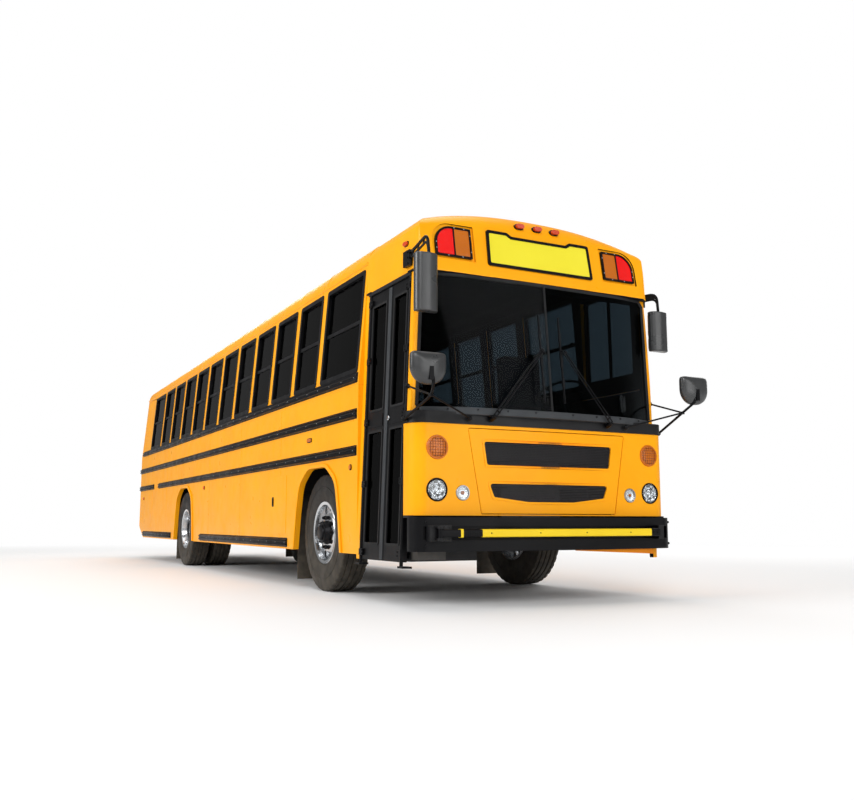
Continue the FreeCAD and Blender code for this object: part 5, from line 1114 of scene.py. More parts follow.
@dataclass(frozen=True)
class WindowBand:
    """Upper side wall with its sashes and tinted panes.

    Attributes:
        name: right or left.
    """

    name: str
    corner: float = 26.0
    sash: float = 34.0
    flange: float = 9.0

    def _set(self, solid: Solid) -> Solid:
        """Leans a solid drawn on the upright wall and puts it on this side."""
        solid.warp(lambda p: (p.x - COACH.lean * max(0.0, p.z - COACH.belt_z), p.y, p.z))
        return solid.mirror() if self.name == "right" else solid

    def build(self) -> None:
        """Builds the band, the sashes and the glass."""
        face = COACH.half_w
        rear = COACH.end_y - COACH.wall
        holes = [rounded(span, (COACH.sill_z, COACH.window_top_z), self.corner) for span in COACH.windows()]
        edge = [(COACH.cap_end_y, COACH.belt_z), (rear, COACH.belt_z), (rear, COACH.eave_z),
                (COACH.cap_end_y, COACH.eave_z)]
        band = Solid().prism(Plane.YZ, edge, face - COACH.wall, face, holes)
        self._set(band).piece(self.name + "_window_wall", [YELLOW], [self.name + "_window_band"], bevel=4.0,
                              inside=CABIN_LINING_PAINTED_SHADE)
        self._sashes(face)
        self._gutter(face)

    def _sashes(self, face: float) -> None:
        """Black frames with a flange on the wall, a middle rail and catches, and their panes."""
        frames = Solid()
        panes = Solid()
        middle = (COACH.sill_z + COACH.window_top_z) / 2
        rise = z0, z1 = COACH.sill_z, COACH.window_top_z
        for y0, y1 in COACH.windows():
            grown = rounded((y0, y1), rise, 34.0, self.flange)
            fitted = rounded((y0, y1), rise, self.corner, -0.4)
            sight = rounded((y0, y1), rise, 16.0, -self.sash)
            frames.prism(Plane.YZ, grown, face - 2, face + 5, [sight])
            frames.prism(Plane.YZ, fitted, face - 38, face - 1.5, [sight])
            frames.box((face - 35, face - 8), (y0 + self.sash - 4, y1 - self.sash + 4), about(middle, 17))
            for y in (y0 + 90, y1 - 90):
                frames.box((face - 44, face - 30), about(y, 24), (middle - 6, middle + 24))
            low = [(y0 + self.sash - 6, z0 + self.sash - 6), (y1 - self.sash + 6, z0 + self.sash - 6),
                   (y1 - self.sash + 6, middle), (y0 + self.sash - 6, middle)]
            high = [(low[0][0], middle), (low[1][0], middle), (low[1][0], z1 - self.sash + 6),
                    (low[0][0], z1 - self.sash + 6)]
            panes.prism(Plane.YZ, low, face - 24, face - 18)
            panes.prism(Plane.YZ, high, face - 32, face - 26)
        self._set(frames).piece(self.name + "_sash_frames", [BLACK], ["window_frames"], bevel=2.0, segments=2)
        self._set(panes).piece(self.name + "_side_panes", [SIDE_GLASS], ["body_glass"])

    def _gutter(self, face: float) -> None:
        """Rain gutter along the eave, over the windows."""
        z = COACH.eave_z - 14
        section = [(face - 1, z - 10), (face + 10, z - 2), (face + 13, z + 10), (face + 10, z + 11), (face + 7, z + 2),
                   (face - 1, z + 2)]
        gutter = Solid().prism(Plane.XZ, section, COACH.cap_end_y, COACH.end_y - COACH.wall)
        self._set(gutter).piece(self.name + "_rain_gutter", [YELLOW], bevel=1.5, segments=2)


@dataclass(frozen=True)
class Roof:
    """Roof skin between the caps, its bows and the two hatches."""

    hatch_ys: tuple = (3250.0, 8250.0)
    hatch_side: float = 600.0

    def build(self) -> None:
        """Builds the skin, the bows over the pillars and the hatches."""
        rear = COACH.end_y - COACH.wall
        outer = [p for p in COACH.body_section(0.0) if p[1] >= COACH.eave_z]
        inner = [p for p in COACH.body_section(COACH.wall) if p[1] >= COACH.eave_z]
        edge = COACH.wall_x(COACH.eave_z)
        ring = [(edge, COACH.eave_z)] + outer + [(-edge, COACH.eave_z), (COACH.wall - edge, COACH.eave_z)]
        ring += inner[::-1] + [(edge - COACH.wall, COACH.eave_z)]
        skin = Solid().prism(Plane.XZ, ring, COACH.cap_end_y, rear)
        half = self.hatch_side / 2 - 26
        for y in self.hatch_ys:
            way = Solid().prism(Plane.XY, rounded((-half, half), about(y, half), 40.0), 3000, 3300)
            skin.carve(way)
        skin.piece("roof_sheet", [ROOF_YELLOW], ["roof_skin"], bevel=2.0, inside=CABIN_LINING_PAINTED_SHADE)
        self._bows(outer, edge)
        for name, y in zip(("front", "rear"), self.hatch_ys):
            self._hatch(name, y)

    def _bows(self, outer: list[tuple], edge: float) -> None:
        """Lapped joints of the roof sheets over each pillar."""
        bows = Solid()
        arc = [(edge, COACH.eave_z)] + outer + [(-edge, COACH.eave_z)]
        lifted = [(x * 1.0013, z + 1.6) for x, z in arc]
        for _, window_end in COACH.windows():
            y = window_end + 63.0
            if any(abs(y - hatch) < 330 for hatch in self.hatch_ys):
                continue
            bows.prism(Plane.XZ, lifted + arc[::-1], y - 16, y + 16)
        bows.piece("roof_bow_laps", [ROOF_YELLOW])

    def _hatch(self, name: str, y: float) -> None:
        """Hatch cover with a crowned, ribbed top over its kerb.

        Args:
            name: front or rear.
            y: Its middle along the bus.
        """
        half = self.hatch_side / 2
        z = COACH.roof_z
        cover = Solid().prism(Plane.XY, rounded((-half, half), about(y, half), 55.0), z + 13, z + 34)
        cover.prism(Plane.XY, rounded((50 - half, half - 50), (y + 50 - half, y + half - 50), 45.0), z + 33, z + 49)
        for i in range(-2, 3):
            cover.box(about(i * 90, 12), (y - half + 90, y + half - 90), (z + 48, z + 51))
        cover.tube([(-80, y - half - 14, z + 26), (80, y - half - 14, z + 26)], 9.0, 16)
        cover.box((-76, 76), (y - half - 14, y - half + 10), (z + 21, z + 31))
        cover.piece(name + "_hatch_cover", [DOME], ["roof_hatch_" + name], body="hatch_" + name, bevel=5.0)
        inner = half - 45
        kerb = Solid().prism(Plane.XY, rounded((20 - half, half - 20), (y + 20 - half, y + half - 20), 45.0),
                             z - 34, z + 11.5, [rounded((-inner, inner), about(y, inner), 35.0)])
        for a, b in ((-160.0, -80.5), (80.5, 160.0)):
            kerb.box((a, b), (y - half - 22, y - half - 6), (z - 20, z + 34))
        kerb.piece(name + "_hatch_kerb", [ABS], bevel=2.0)


# ---------------------------------------------------------------- front end
def warning_outline(side: int, x0: float, x1: float, z0: float, z1: float, r: float) -> list[tuple]:
    """Warning lamp's outline, its top outer corner rounded.

    Args:
        side: Sign of X.
        x0: Inner half width.
        x1: Outer half width.
        z0: Foot.
        z1: Top.
        r: Radius of the top outer corner.

    Returns:
        The outline in X and Z.
    """
    points = [(side * x0, z0, 10.0), (side * x1, z0, 10.0), (side * x1, z1, r), (side * x0, z1, 10.0)]
    return eased(points)


def leaning_face(p: Vector) -> tuple:
    """Moves a point drawn before an upright wall at Y = 0 onto the brow's leaning face.

    Args:
        p: The point.

    Returns:
        Its new place.
    """
    return p.x, p.y + COACH.face_y(p.z), p.z


@dataclass(frozen=True)
class FrontCap:
    """Moulded front: brow, windscreen posts, door portal and driver's window."""

    post_y: float = -98.0
    post_w: float = 72.0
    post_r: float = 62.0
    taper: float = 42.0
    screen_foot_z: float = 1475.0
    side_r: float = 130.0
    top_r: float = 215.0
    portal: tuple = (-36.0, 794.0)
    portal_top_z: float = 2600.0
    lamps: tuple = ((657.0, 815.0, 12.0), (815.0, 988.0, 150.0))
    pocket: float = 20.0
    lamp_z: tuple = (2724.0, 2985.0)
    window: tuple = (60.0, 790.0)
    window_lean: float = 0.018

    def screen_hole(self) -> list[tuple]:
        """Outline of the windscreen's opening in X and Z."""
        foot = COACH.half_w - self.post_w
        top = foot - self.taper
        return [(-foot, 1380.0), (foot, 1380.0), (top, COACH.screen_top_z, 55.0), (-top, COACH.screen_top_z, 55.0)]

    def build(self) -> None:
        """Builds the moulding, the driver's window and the door's header."""
        wall = COACH.wall
        brow = Solid().prism(Plane.XZ, COACH.cab_section(0.0), COACH.brow_y, COACH.cap_end_y)
        brow.carve(self._crowned(), "INTERSECT")
        brow.carve(self._column(COACH.brow_y, self.side_r, COACH.screen_top_z - 5, COACH.roof_z + 10), "INTERSECT")
        # hollow behind the rounded edge only, so the wall stays whole
        brow.carve(Solid().prism(Plane.XZ, COACH.cab_section(wall), self.top_r - 150.0, COACH.cap_end_y + 1))
        posts = Solid().prism(Plane.XZ, COACH.cab_section(0.0), self.post_y, COACH.cap_end_y)
        column = self._column(self.post_y, self.post_r, COACH.belt_z, COACH.screen_top_z + 1)
        column.carve(self._column(self.post_y, self.post_r, COACH.door_foot_z, COACH.belt_z), "UNION")
        posts.carve(column, "INTERSECT")
        posts.carve(Solid().prism(Plane.XZ, COACH.cab_section(wall), self.post_y + wall, COACH.cap_end_y + 1))
        posts.carve(Solid().prism(Plane.XZ, eased(self.screen_hole()), self.post_y - 200, self.post_y + wall + 5))
        foot = COACH.half_w - self.post_w
        posts.carve(Solid().box((-foot, foot), (self.post_y - 5, self.post_y + wall + 5), (330.0, self.screen_foot_z)))
        posts.carve(Solid().box((300.0, COACH.half_w + 20), (-10.0, COACH.cap_end_y + 5), (330.0, COACH.belt_z)))
        # the kerb side's foot ends at the bumper
        posts.carve(Solid().box((-COACH.half_w - 20, -900.0), (self.post_y - 5, -24.0), (330.0, 672.0)))
        door = rounded(self.portal, (280.0, self.portal_top_z), 30.0)
        for part in (brow, posts):
            part.carve(Solid().prism(Plane.YZ, door, -COACH.half_w - 20, -COACH.half_w + 260))
            part.carve(Solid().prism(Plane.YZ, self._window(0.0, 40.0), 900.0, 1300.0))
        # shallow recess round each pair of warning lamps
        for side in (-1, 1):
            outline = warning_outline(side, self.lamps[0][0] - 26, self.lamps[1][1] + 26, self.lamp_z[0] - 24,
                                      self.lamp_z[1] + 24, 160.0)
            brow.carve(Solid().prism(Plane.XZ, outline, -80.0, self.pocket).warp(leaning_face))
        head = brow.join(posts)
        head.piece("front_cap_moulding", [YELLOW], ["front_cap"], bevel=9.0, angle=38.0, segments=5, inside=CABIN_LINING_PAINTED_SHADE)
        self._driver_window()

    def _crowned(self) -> Solid:
        """Block behind the brow's leaning face, whose rounded top follows the roof's crown."""
        reach, steps = COACH.half_w + 7, 36
        top_z = COACH.roof_z + 9
        ring = eased([(COACH.brow_y, COACH.screen_top_z, 16.0), (COACH.cap_end_y + 60, COACH.screen_top_z),
                      (COACH.cap_end_y + 60, top_z), (COACH.face_y(COACH.roof_z), top_z, self.top_r)], 7.0)
        span = COACH.roof_z - COACH.eave_z
        corners = []
        for i in range(steps + 1):
            x = reach * (2 * i / steps - 1)
            fall = (COACH.crown(x) - COACH.roof_z) / span
            corners += [(x, y, z + fall * max(0.0, z - COACH.eave_z)) for y, z in ring]
        block = Solid().add(corners, bands(steps + 1, len(ring)) + caps(steps + 1, len(ring)))
        bmesh.ops.triangulate(block.mesh, faces=block.mesh.faces)
        return block

    def _column(self, front_y: float, r: float, low: float, high: float) -> Solid:
        """Block with two rounded front corners, as wide as the leaning sides at its foot and top.

        Args:
            front_y: Y of its front.
            r: Radius of the corners.
            low: Foot.
            high: Top.

        Returns:
            The block.
        """
        half = COACH.half_w
        plan = eased([(-half, COACH.cap_end_y + 1), (-half, front_y, r), (half, front_y, r),
                      (half, COACH.cap_end_y + 1)], 6.0)
        block = Solid().prism(Plane.XY, plan, low, high)
        return block.warp(lambda p: (p.x * (COACH.wall_x(p.z) + 1.0) / half, p.y, p.z))

    def _window(self, inset: float, r: float) -> list[tuple]:
        """Outline of the driver's window in Y and Z, smaller by an inset all round."""
        return rounded(self.window, (COACH.sill_z, COACH.window_top_z - 60), r, -inset)

    def _driver_window(self) -> None:
        """Sliding window beside the driver, in a black frame."""
        face = COACH.half_w - 30
        hole = self._window(0.5, 40.0)
        sight = self._window(40.0, 20.0)
        frame_ring = Solid().prism(Plane.YZ, hole, face - 20, face + 10, [sight])
        frame_ring.box((face - 16, face + 4), (412.0, 438.0), (COACH.sill_z + 30, COACH.window_top_z - 90))
        pane = Solid().prism(Plane.YZ, self._window(35.0, 20.0), face - 9, face - 3)
        for solid in (frame_ring, pane):
            solid.warp(lambda p: (p.x - self.window_lean * (p.z - 1900.0) - 18, p.y, p.z))
        frame_ring.piece("driver_window_frame", [BLACK], bevel=2.5)
        pane.piece("driver_window_pane", [SIDE_GLASS])


CAP = FrontCap()


@dataclass(frozen=True)
class Screen:
    """Bowed two-piece windscreen with its rubber and middle strip."""

    bow_foot: float = 180.0
    bow_top: float = 78.0
    foot_z: float = 1520.0
    thick: float = 8.0
    strip: float = 10.0

    def _share(self, z: float) -> float:
        """Share of the opening's height, 0 at its foot and 1 at its top."""
        return (z - CAP.screen_foot_z) / (COACH.screen_top_z - CAP.screen_foot_z)

    def half(self, z: float) -> float:
        """Half width of the opening at a height."""
        return COACH.half_w - CAP.post_w - CAP.taper * self._share(z)

    def plan(self, z: float, inset: float, half: float, back: float) -> list[tuple]:
        """Plan of the bow at a height, closed behind by a straight line."""
        bow = self.bow_foot + (self.bow_top - self.bow_foot) * self._share(z)
        side_y = CAP.post_y + 2 + inset
        shoulder = half * 0.72
        return eased([(-half, back), (-half, side_y), (-shoulder, side_y - bow * 0.72, 1100.0),
                      (0, side_y - bow * 1.04, 4000.0), (shoulder, side_y - bow * 0.72, 1100.0), (half, side_y),
                      (half, back)], 1.5)

    def face_y(self, x: float, z: float, inset: float = 0.0) -> float:
        """Y of the glass's outer face at a place.

        Args:
            x: Across the bus.
            z: Height.
            inset: Distance behind the outer face.

        Returns:
            The Y.
        """
        line = self.plan(z, inset, self.half(z) + 8, 150.0)[1:-1]
        for (x0, y0), (x1, y1) in zip(line, line[1:]):
            if x0 <= x <= x1:
                return y0 + (y1 - y0) * (x - x0) / max(x1 - x0, 1e-6)
        return line[0][1]

    def build(self) -> None:
        """Builds the panes, the rubber round them and the strip between them."""
        for name, side in SIDES.items():
            self._pane(name, side)
        self._rubber()

    def _pane(self, name: str, side: int) -> None:
        """One bowed pane.

        Args:
            name: right or left.
            side: Sign of its X.
        """
        top = COACH.screen_top_z - 4

        def point(u: float, v: float, inset: float) -> tuple:
            z = self.foot_z + (top - self.foot_z) * v
            corner = max(0.0, z - (top - 50.0))
            reach = self.half(z) - 6 - corner * 0.7
            x = side * (8.0 + (reach - 8.0) * u)
            return x, self.face_y(x, z, inset), z

        pane = Solid().shell(24, 16, lambda u, v: point(u, v, 0.0), lambda u, v: point(u, v, self.thick))
        stands = ["windscreen_trim"] if side > 0 else []
        pane.piece("windscreen_pane_" + name, [SCREEN_GLASS], stands)

    def _rubber(self) -> None:
        """Black glazing rubber round the opening, and the black strip in the middle."""
        top = COACH.screen_top_z - 8
        low = self.foot_z + 4
        corners = [(-self.half(low) + 8, low), (-self.half(top) + 9, top - 46), (-self.half(top) + 52, top),
                   (self.half(top) - 52, top), (self.half(top) - 9, top - 46), (self.half(low) - 8, low)]
        path = []
        for (x0, z0), (x1, z1) in zip(corners, corners[1:]):
            steps = max(2, int(math.hypot(x1 - x0, z1 - z0) / 45))
            for k in range(steps):
                x, z = x0 + (x1 - x0) * k / steps, z0 + (z1 - z0) * k / steps
                path.append((x, self.face_y(x, z) - 1, z))
        path.append((corners[-1][0], self.face_y(*corners[-1]) - 1, corners[-1][1]))
        rubber = Solid().sweep(path, [(-13, -5), (13, -5), (15, 2), (8, 8), (-8, 8), (-15, 2)], up=(0.0, -1.0, 0.0))
        rubber.piece("windscreen_rubber", [BLACK_RUBBER], bevel=1.5, segments=2)
        strip = []
        for k in range(25):
            z = low - 6 + (top - low + 6) * k / 24
            strip.append((0.0, self.face_y(0.0, z) - 2, z))
        section = [(-self.strip, -4), (self.strip, -4), (self.strip, 3), (5, 7), (-5, 7), (-self.strip, 3)]
        bead = Solid().sweep(strip, section, up=(0.0, -1.0, 0.0))
        bead.piece("windscreen_strip", [BLACK_RUBBER], bevel=1.0, segments=2)


SCREEN = Screen()


@dataclass(frozen=True)
class Nose:
    """Steel front below the windscreen: corners, access panel with two grilles, cowl and ledge."""

    front_y: float = -240.0
    bow: float = 26.0
    half_w: float = 1216.0
    corner_r: float = 132.0
    foot_z: float = 685.0
    cowl_z: float = 1382.0
    top_z: float = 1475.0
    back_y: float = -36.0
    access: tuple = ((1352.0, 753.0), (700.0, 640.0))
    grilles: tuple = ((632.0, 1271.0, 605.0, 1059.0, 0.0), (586.0, 947.0, 545.0, 812.0, 36.0))
    lamps: tuple = ((1020.0, 1198.0, 93.0), (1023.0, 878.0, 89.0), (804.0, 857.0, 60.0))
    pitch: float = 15.0

    def plan(self, inset: float, back: float | None = None) -> list[tuple]:
        """Plan of the nose between its two rounded corners."""
        half = self.half_w - inset
        side_y = self.front_y + self.bow + inset
        rear = self.back_y if back is None else back
        r = self.corner_r - inset
        return eased([(-half, rear), (-half, side_y, r), (0, self.front_y + inset, 9000.0), (half, side_y, r),
                      (half, rear)], 4.0)

    def face_y(self, x: float) -> float:
        """Y of the front face at a place across it."""
        return self.front_y + self.bow * abs(x) / self.half_w

    def access_outline(self, grow: float) -> list[tuple]:
        """Outline of the access panel in X and Z."""
        (top_z, top), (foot_z, foot) = self.access
        r = 14.0 + grow
        return eased([(-foot - grow, foot_z - grow, r), (foot + grow, foot_z - grow, r), (top + grow, top_z + grow, r),
                      (-top - grow, top_z + grow, r)])

    def grille_outline(self, grille: tuple, grow: float) -> list[tuple]:
        """Outline of a grille opening in X and Z."""
        top, top_z, foot, foot_z, sag = grille
        low, high = foot_z - grow - sag, top_z + grow
        points = [(-foot - grow, foot_z - grow, 20.0), (-foot * 0.4, low, 260.0), (0.0, low), (foot * 0.4, low, 260.0),
                  (foot + grow, foot_z - grow, 20.0), (top + grow, high, 20.0), (top * 0.5, high), (0.0, high),
                  (-top * 0.5, high), (-top - grow, high, 20.0)]
        return eased(points, 6.0)

    def build(self) -> None:
        """Builds the nose's pieces."""
        self._corners()
        self._access()
        self._cowl()

    def _through(self, outline: Outline) -> Solid:
        """Tool that passes through the whole front skin."""
        return Solid().prism(Plane.XZ, outline, self.front_y - 20, self.front_y + 120)

    def _corners(self) -> None:
        """Front skin outside the access panel, pierced for the lamps."""
        skin = Solid().prism(Plane.XY, self.plan(0.0), self.foot_z, self.cowl_z)
        skin.carve(Solid().prism(Plane.XY, self.plan(COACH.wall, 200.0), self.foot_z - 1, self.cowl_z + 1))
        skin.carve(self._through(self.access_outline(5.0)))
        for x, z, r in self.lamps:
            for side in (-1, 1):
                skin.carve(self._through(circle(side * x, z, r - 3, 48)))
        skin.piece("nose_skin", [YELLOW], ["nose_shell"], bevel=5.0, segments=4)
        trims = Solid()
        for side in (-1, 1):
            # black filler between the lower corner and the bumper's end
            trims.box(spread(side, 1120.0, 1222.0), (-160.0, -44.0), (668.0, 686.0))
        trims.piece("nose_foot_filler", [BLACK_RUBBER], bevel=2.0)

    def _access(self) -> None:
        """Lifting panel with its two openings, their borders and the mesh behind them."""
        panel = Solid().prism(Plane.XY, self.plan(0.0), self.foot_z, self.cowl_z)
        panel.carve(Solid().prism(Plane.XY, self.plan(20.0, 200.0), self.foot_z - 1, self.cowl_z + 1))
        panel.carve(self._through(self.access_outline(0.0)), "INTERSECT")
        for grille in self.grilles:
            panel.carve(self._through(self.grille_outline(grille, 0.0)))
        panel.piece("access_panel_skin", [YELLOW], ["access_panel"], body="front_access", bevel=4.0, segments=4)
        borders = Solid()
        for grille in self.grilles:
            start = len(borders.mesh.verts)
            borders.prism(Plane.XZ, self.grille_outline(grille, 1.0), -3.0, 12.0, [self.grille_outline(grille, -16.0)])
            borders.mesh.verts.ensure_lookup_table()
            borders.warp(lambda p: (p.x, p.y + self.face_y(p.x), p.z), start)
        borders.piece("grille_borders", [YELLOW], body="front_access", bevel=3.5)
        self._mesh()

    def _mesh(self) -> None:
        """Honeycomb of flat bars behind the openings."""
        mesh = Solid()
        pitch = self.pitch
        row_h = pitch * math.sqrt(3) / 2
        reach = pitch / math.sqrt(3)
        turns = [math.radians(30 + 60 * i) for i in range(6)]
        rings = ((reach, 0.0), (reach - 2.2, 0.0), (reach - 2.2, 5.0), (reach, 5.0))
        faces = bands(4, 6) + [(18 + i, 18 + (i + 1) % 6, (i + 1) % 6, i) for i in range(6)]
        for grille in self.grilles:
            outline = [Vector(p) for p in self.grille_outline(grille, -8.0)]
            top = max(p.y for p in outline)
            low = min(p.y for p in outline)
            side = max(p.x for p in outline)
            for row in range(int((top - low) / row_h) + 1):
                z = low + row_h * row
                for column in range(int(2 * side / pitch) + 1):
                    x = -side + pitch * (column + 0.5 * (row % 2))
                    if not inside(outline, x, z):
                        continue
                    y = self.face_y(x) + 8.0
                    corners = [(x + r * math.cos(t), y + deep, z + r * math.sin(t)) for r, deep in rings for t in turns]
                    mesh.add(corners, faces)
        mesh.piece("grille_honeycomb", [MESH], ["grille_mesh"], body="front_access")

    def _cowl(self) -> None:
        """Black moulding under the windscreen with the grey ledge and its nuts."""
        cowl = Solid().prism(Plane.XY, self.plan(-8.0, CAP.post_y - 0.5), self.cowl_z + 0.5, self.top_z)
        cowl.piece("cowl_moulding", [ABS], bevel=13.0, segments=5)
        ledge = Solid().prism(Plane.XY, SCREEN.plan(self.top_z, -34.0, COACH.half_w - CAP.post_w - 30, CAP.post_y - 1),
                              self.top_z - 20, self.top_z + 38)
        ledge.piece("screen_ledge", [SEAL], bevel=8.0, segments=4)
        work = Solid()
        for side in (-1, 1):
            for x in (180.0, 430.0, 690.0, 930.0):
                y = SCREEN.face_y(side * x, self.top_z, -34.0)
                work.nut((side * x, y + 0.5, self.top_z + 20), (0, -1, 0), 8.0, 5.0)
        work.piece("ledge_nuts", [NUTS])


def inside(outline: Sequence[Vector], a: float, b: float) -> bool:
    """Tells whether a point lies within a closed outline.

    Args:
        outline: Points of the outline.
        a: First measure of the point.
        b: Second measure of the point.

    Returns:
        True inside it.
    """
    within = False
    for here, there in zip(outline, list(outline[1:]) + [outline[0]]):
        if (here.y > b) != (there.y > b) and a < here.x + (b - here.y) * (there.x - here.x) / (there.y - here.y):
            within = not within
    return within


NOSE = Nose()


@dataclass(frozen=True)
class FrontLamps:
    """Turn, head and parking lamps in the nose, and the warning lamps and blank sign on the brow."""

    def build(self) -> None:
        """Builds the lamps of the nose and the brow."""
        for name, side in SIDES.items():
            (x, z, r), (head_x, head_z, head_r), (park_x, park_z, park_r) = NOSE.lamps
            self._round("turn_lamp_" + name, side * x, z, r, AMBER, grid=True)
            self._headlamp("head_lamp_" + name, side * head_x, head_z, head_r)
            self._round("park_lamp_" + name, side * park_x, park_z, park_r, WHITE_LENS, grid=False)
        self._warning()
        self._sign()
        self._markers()

    def _round(self, name: str, x: float, z: float, r: float, lens: Finish, grid: bool) -> None:
        """Round lamp: bezel, lens with bars, and the reflector behind it.

        Args:
            name: Name of the piece.
            x: Across the bus.
            z: Height.
            r: Radius over the bezel.
            lens: Finish of the lens.
            grid: Whether moulded bars cross the lens.
        """
        y = NOSE.face_y(x)
        at, way = (x, y, z), (0, 1, 0)
        lamp = Solid()
        lamp.lathe([(14, r - 1), (-3, r), (-9, r - 4), (-9, r - 11), (-3, r - 15), (14, r - 15)], at, way, 64)
        lamp.finish = 1
        lamp.lathe([(8, 0)] + bulge(-6, -8, r - 13) + [(8, r - 13)], at, way, 64)
        if grid:
            reach = r - 16
            for i in range(-3, 4):
                a = i * reach / 3.6
                b = math.sqrt(max(0.0, reach ** 2 - a ** 2)) - 3
                # the moulded bars take amber painted darker, as shade on them
                lamp.finish = 4
                lamp.box((x + a - 1.6, x + a + 1.6), (y - 15, y - 9), about(z, b))
                lamp.box(about(x, b), (y - 15, y - 9), (z + a - 1.6, z + a + 1.6))
        lamp.finish = 2
        lamp.lathe([(9, 0), (9, r - 14), (12, r - 14), (12, 0)], at, way, 48)
        if not grid:
            lamp.finish = 3
            lamp.lathe([(-2, 0), (-2, 13), (8, 15), (8, 0)], at, way, 24)
        stands = ["front_lamps"] if name == "turn_lamp_right" else []
        bezel = AMBER if grid else STEEL
        lamp.piece(name, [bezel, lens, REFLECTOR, AMBER, AMBER_RIB_PAINTED_SHADE], stands, bevel=0.8, segments=2)

    def _headlamp(self, name: str, x: float, z: float, r: float) -> None:
        """Sealed headlamp: black bezel, faceted bowl, bulb shield and fluted glass.

        Args:
            name: Name of the piece.
            x: Across the bus.
            z: Height.
            r: Radius over the bezel.
        """
        y = NOSE.face_y(x)
        at, way = (x, y, z), (0, 1, 0)
        lamp = Solid()
        lamp.lathe([(30, r - 1), (-3, r), (-10, r - 4), (-10, r - 9), (-2, r - 13), (30, r - 13)], at, way, 64)
        lamp.finish = 1
        bowl = [(45 - 40 * (k / 8) ** 2, 8 + (r - 21) * k / 8) for k in range(9)]
        lamp.lathe(bowl + [(a + 3, b) for a, b in reversed(bowl)], at, way, 48)
        for ring in range(3):
            near, far = 20 + (r - 36) * ring / 3, 17 + (r - 36) * (ring + 1) / 3
            for sector in range(12):
                # some facets take a painted dark reflection
                lamp.finish = 3 if (sector * 5 + ring * 3) % 4 == 0 else 1
                start, end = (math.radians(30 * (sector + share) + 9 * ring) for share in (0.06, 0.94))
                rim = [(near, start), (far, start), (far, end), (near, end)]
                tilt = (sector % 3 - 1) * 5.0
                flat = [(x + a * math.cos(t), y + 24 - 16 * a / r + tilt * (k > 1), z + a * math.sin(t))
                        for k, (a, t) in enumerate(rim)]
                lamp.add(flat + [(a, b + 4, c) for a, b, c in flat], BLOCK_FACES)
        lamp.finish = 1
        lamp.lathe([(12, 0), (12, 14), (16, 18), (24, 18), (24, 0)], at, way, 32)
        lamp.finish = 2
        glass = bulge(-2, -9, r - 12)
        lamp.lathe(glass + [(a + 4, b) for a, b in reversed(glass)], at, way, 64)
        lamp.piece(name, [BLACK, REFLECTOR, WHITE_LENS, BOWL_PAINTED_REFLECTION], bevel=0.8, segments=2)

    def _warning(self) -> None:
        """Red outer and amber inner warning lamps in one bolted black frame on each side."""
        z0, z1 = CAP.lamp_z
        low, high = CAP.lamps[0][0], CAP.lamps[1][1]
        rim = 17.0
        for name, side in SIDES.items():
            lamp = Solid()
            lenses = [warning_outline(side, x0 + (rim if x0 == low else 5), x1 - (rim if x1 == high else 5), z0 + rim,
                                      z1 - rim, max(8.0, r - rim)) for x0, x1, r in CAP.lamps]
            lamp.prism(Plane.XZ, warning_outline(side, low, high, z0, z1, CAP.lamps[1][2]), -2.0, 40.0, lenses)
            for x, z in ((low + 8, z0 + 60), (low + 8, z1 - 60), (low + 90, z0 + 8), (low + 220, z0 + 8),
                         (high - 8, z0 + 60), (low + 60, z1 - 8), (low + 150, z1 - 8), (high - 8, z1 - 150)):
                lamp.finish = 3
                lamp.dome((side * x, -2.0, z), (0, -1, 0), 5.5, 3.0, 12)
            for index, lens in enumerate(lenses):
                lamp.finish = 1 + index
                lamp.prism(Plane.XZ, lens, 5.0, 30.0)
            lamp.warp(leaning_face)
            stands = ["warning_lamps"] if name == "right" else []
            lamp.piece("front_warning_lamps_" + name, [BLACK, AMBER, RED, STEEL], stands, bevel=2.5)

    def _sign(self) -> None:
        """Blank retroreflective plate in a black frame whose top steps up at both ends."""
        foot, top, half = 2693.0, 3006.0, 521.0
        outline = eased([(-half, foot, 22), (half, foot, 22), (half - 9, top, 24), (half - 205, top, 10),
                         (half - 250, top - 28, 10), (250 - half, top - 28, 10), (205 - half, top, 10),
                         (9 - half, top, 24)])
        plate_edge = eased([(25 - half, foot + 25, 12), (half - 25, foot + 25, 12), (half - 33, top - 25, 14),
                            (half - 197, top - 25, 10), (half - 241, top - 52, 10), (241 - half, top - 52, 10),
                            (197 - half, top - 25, 10), (33 - half, top - 25, 14)])
        sign = Solid().prism(Plane.XZ, outline, -14.0, 6.0, [plate_edge])
        for x in (-470.0, -240.0, 0.0, 240.0, 470.0):
            sign.dome((x, -14.0, foot + 12), (0, -1, 0), 5.0, 3.0)
        sign.finish = 1
        sign.prism(Plane.XZ, plate_edge, -9.0, 5.0)
        sign.warp(leaning_face)
        sign.piece("front_sign", [BLACK, SHEETING], ["sign_panels"], bevel=2.0)

    def _markers(self) -> None:
        """Oval orange clearance lamps along the brow's top."""
        lamps = Solid()
        for x in (0.0, 177.0, -177.0):
            z = COACH.crown(x) - 104
            y = COACH.face_y(z)
            base = rounded(about(x, 44), (z - 26, z + 24), 24.0)
            lens = rounded(about(x, 38), (z - 18, z + 20), 18.9)
            lamps.finish = 0
            lamps.prism(Plane.XZ, base, y - 8, y + 50)
            lamps.finish = 1
            lamps.prism(Plane.XZ, lens, y - 32, y - 7)
        cheek_y, cheek_z = 81.0, 2846.0
        for side in (-1, 1):
            x = COACH.wall_x(cheek_z)
            for finish, grow, proud in ((0, 0, 7), (1, -6, 24)):
                lamps.finish = finish
                oval = rounded(about(cheek_y, 40), about(cheek_z, 22), 21.0 + grow, grow)
                lamps.prism(Plane.YZ, oval, *spread(side, x - 4, x + proud))
        lamps.piece("front_clearance_lamps", [BLACK, MARKER], ["body_lamps"], bevel=7.0)


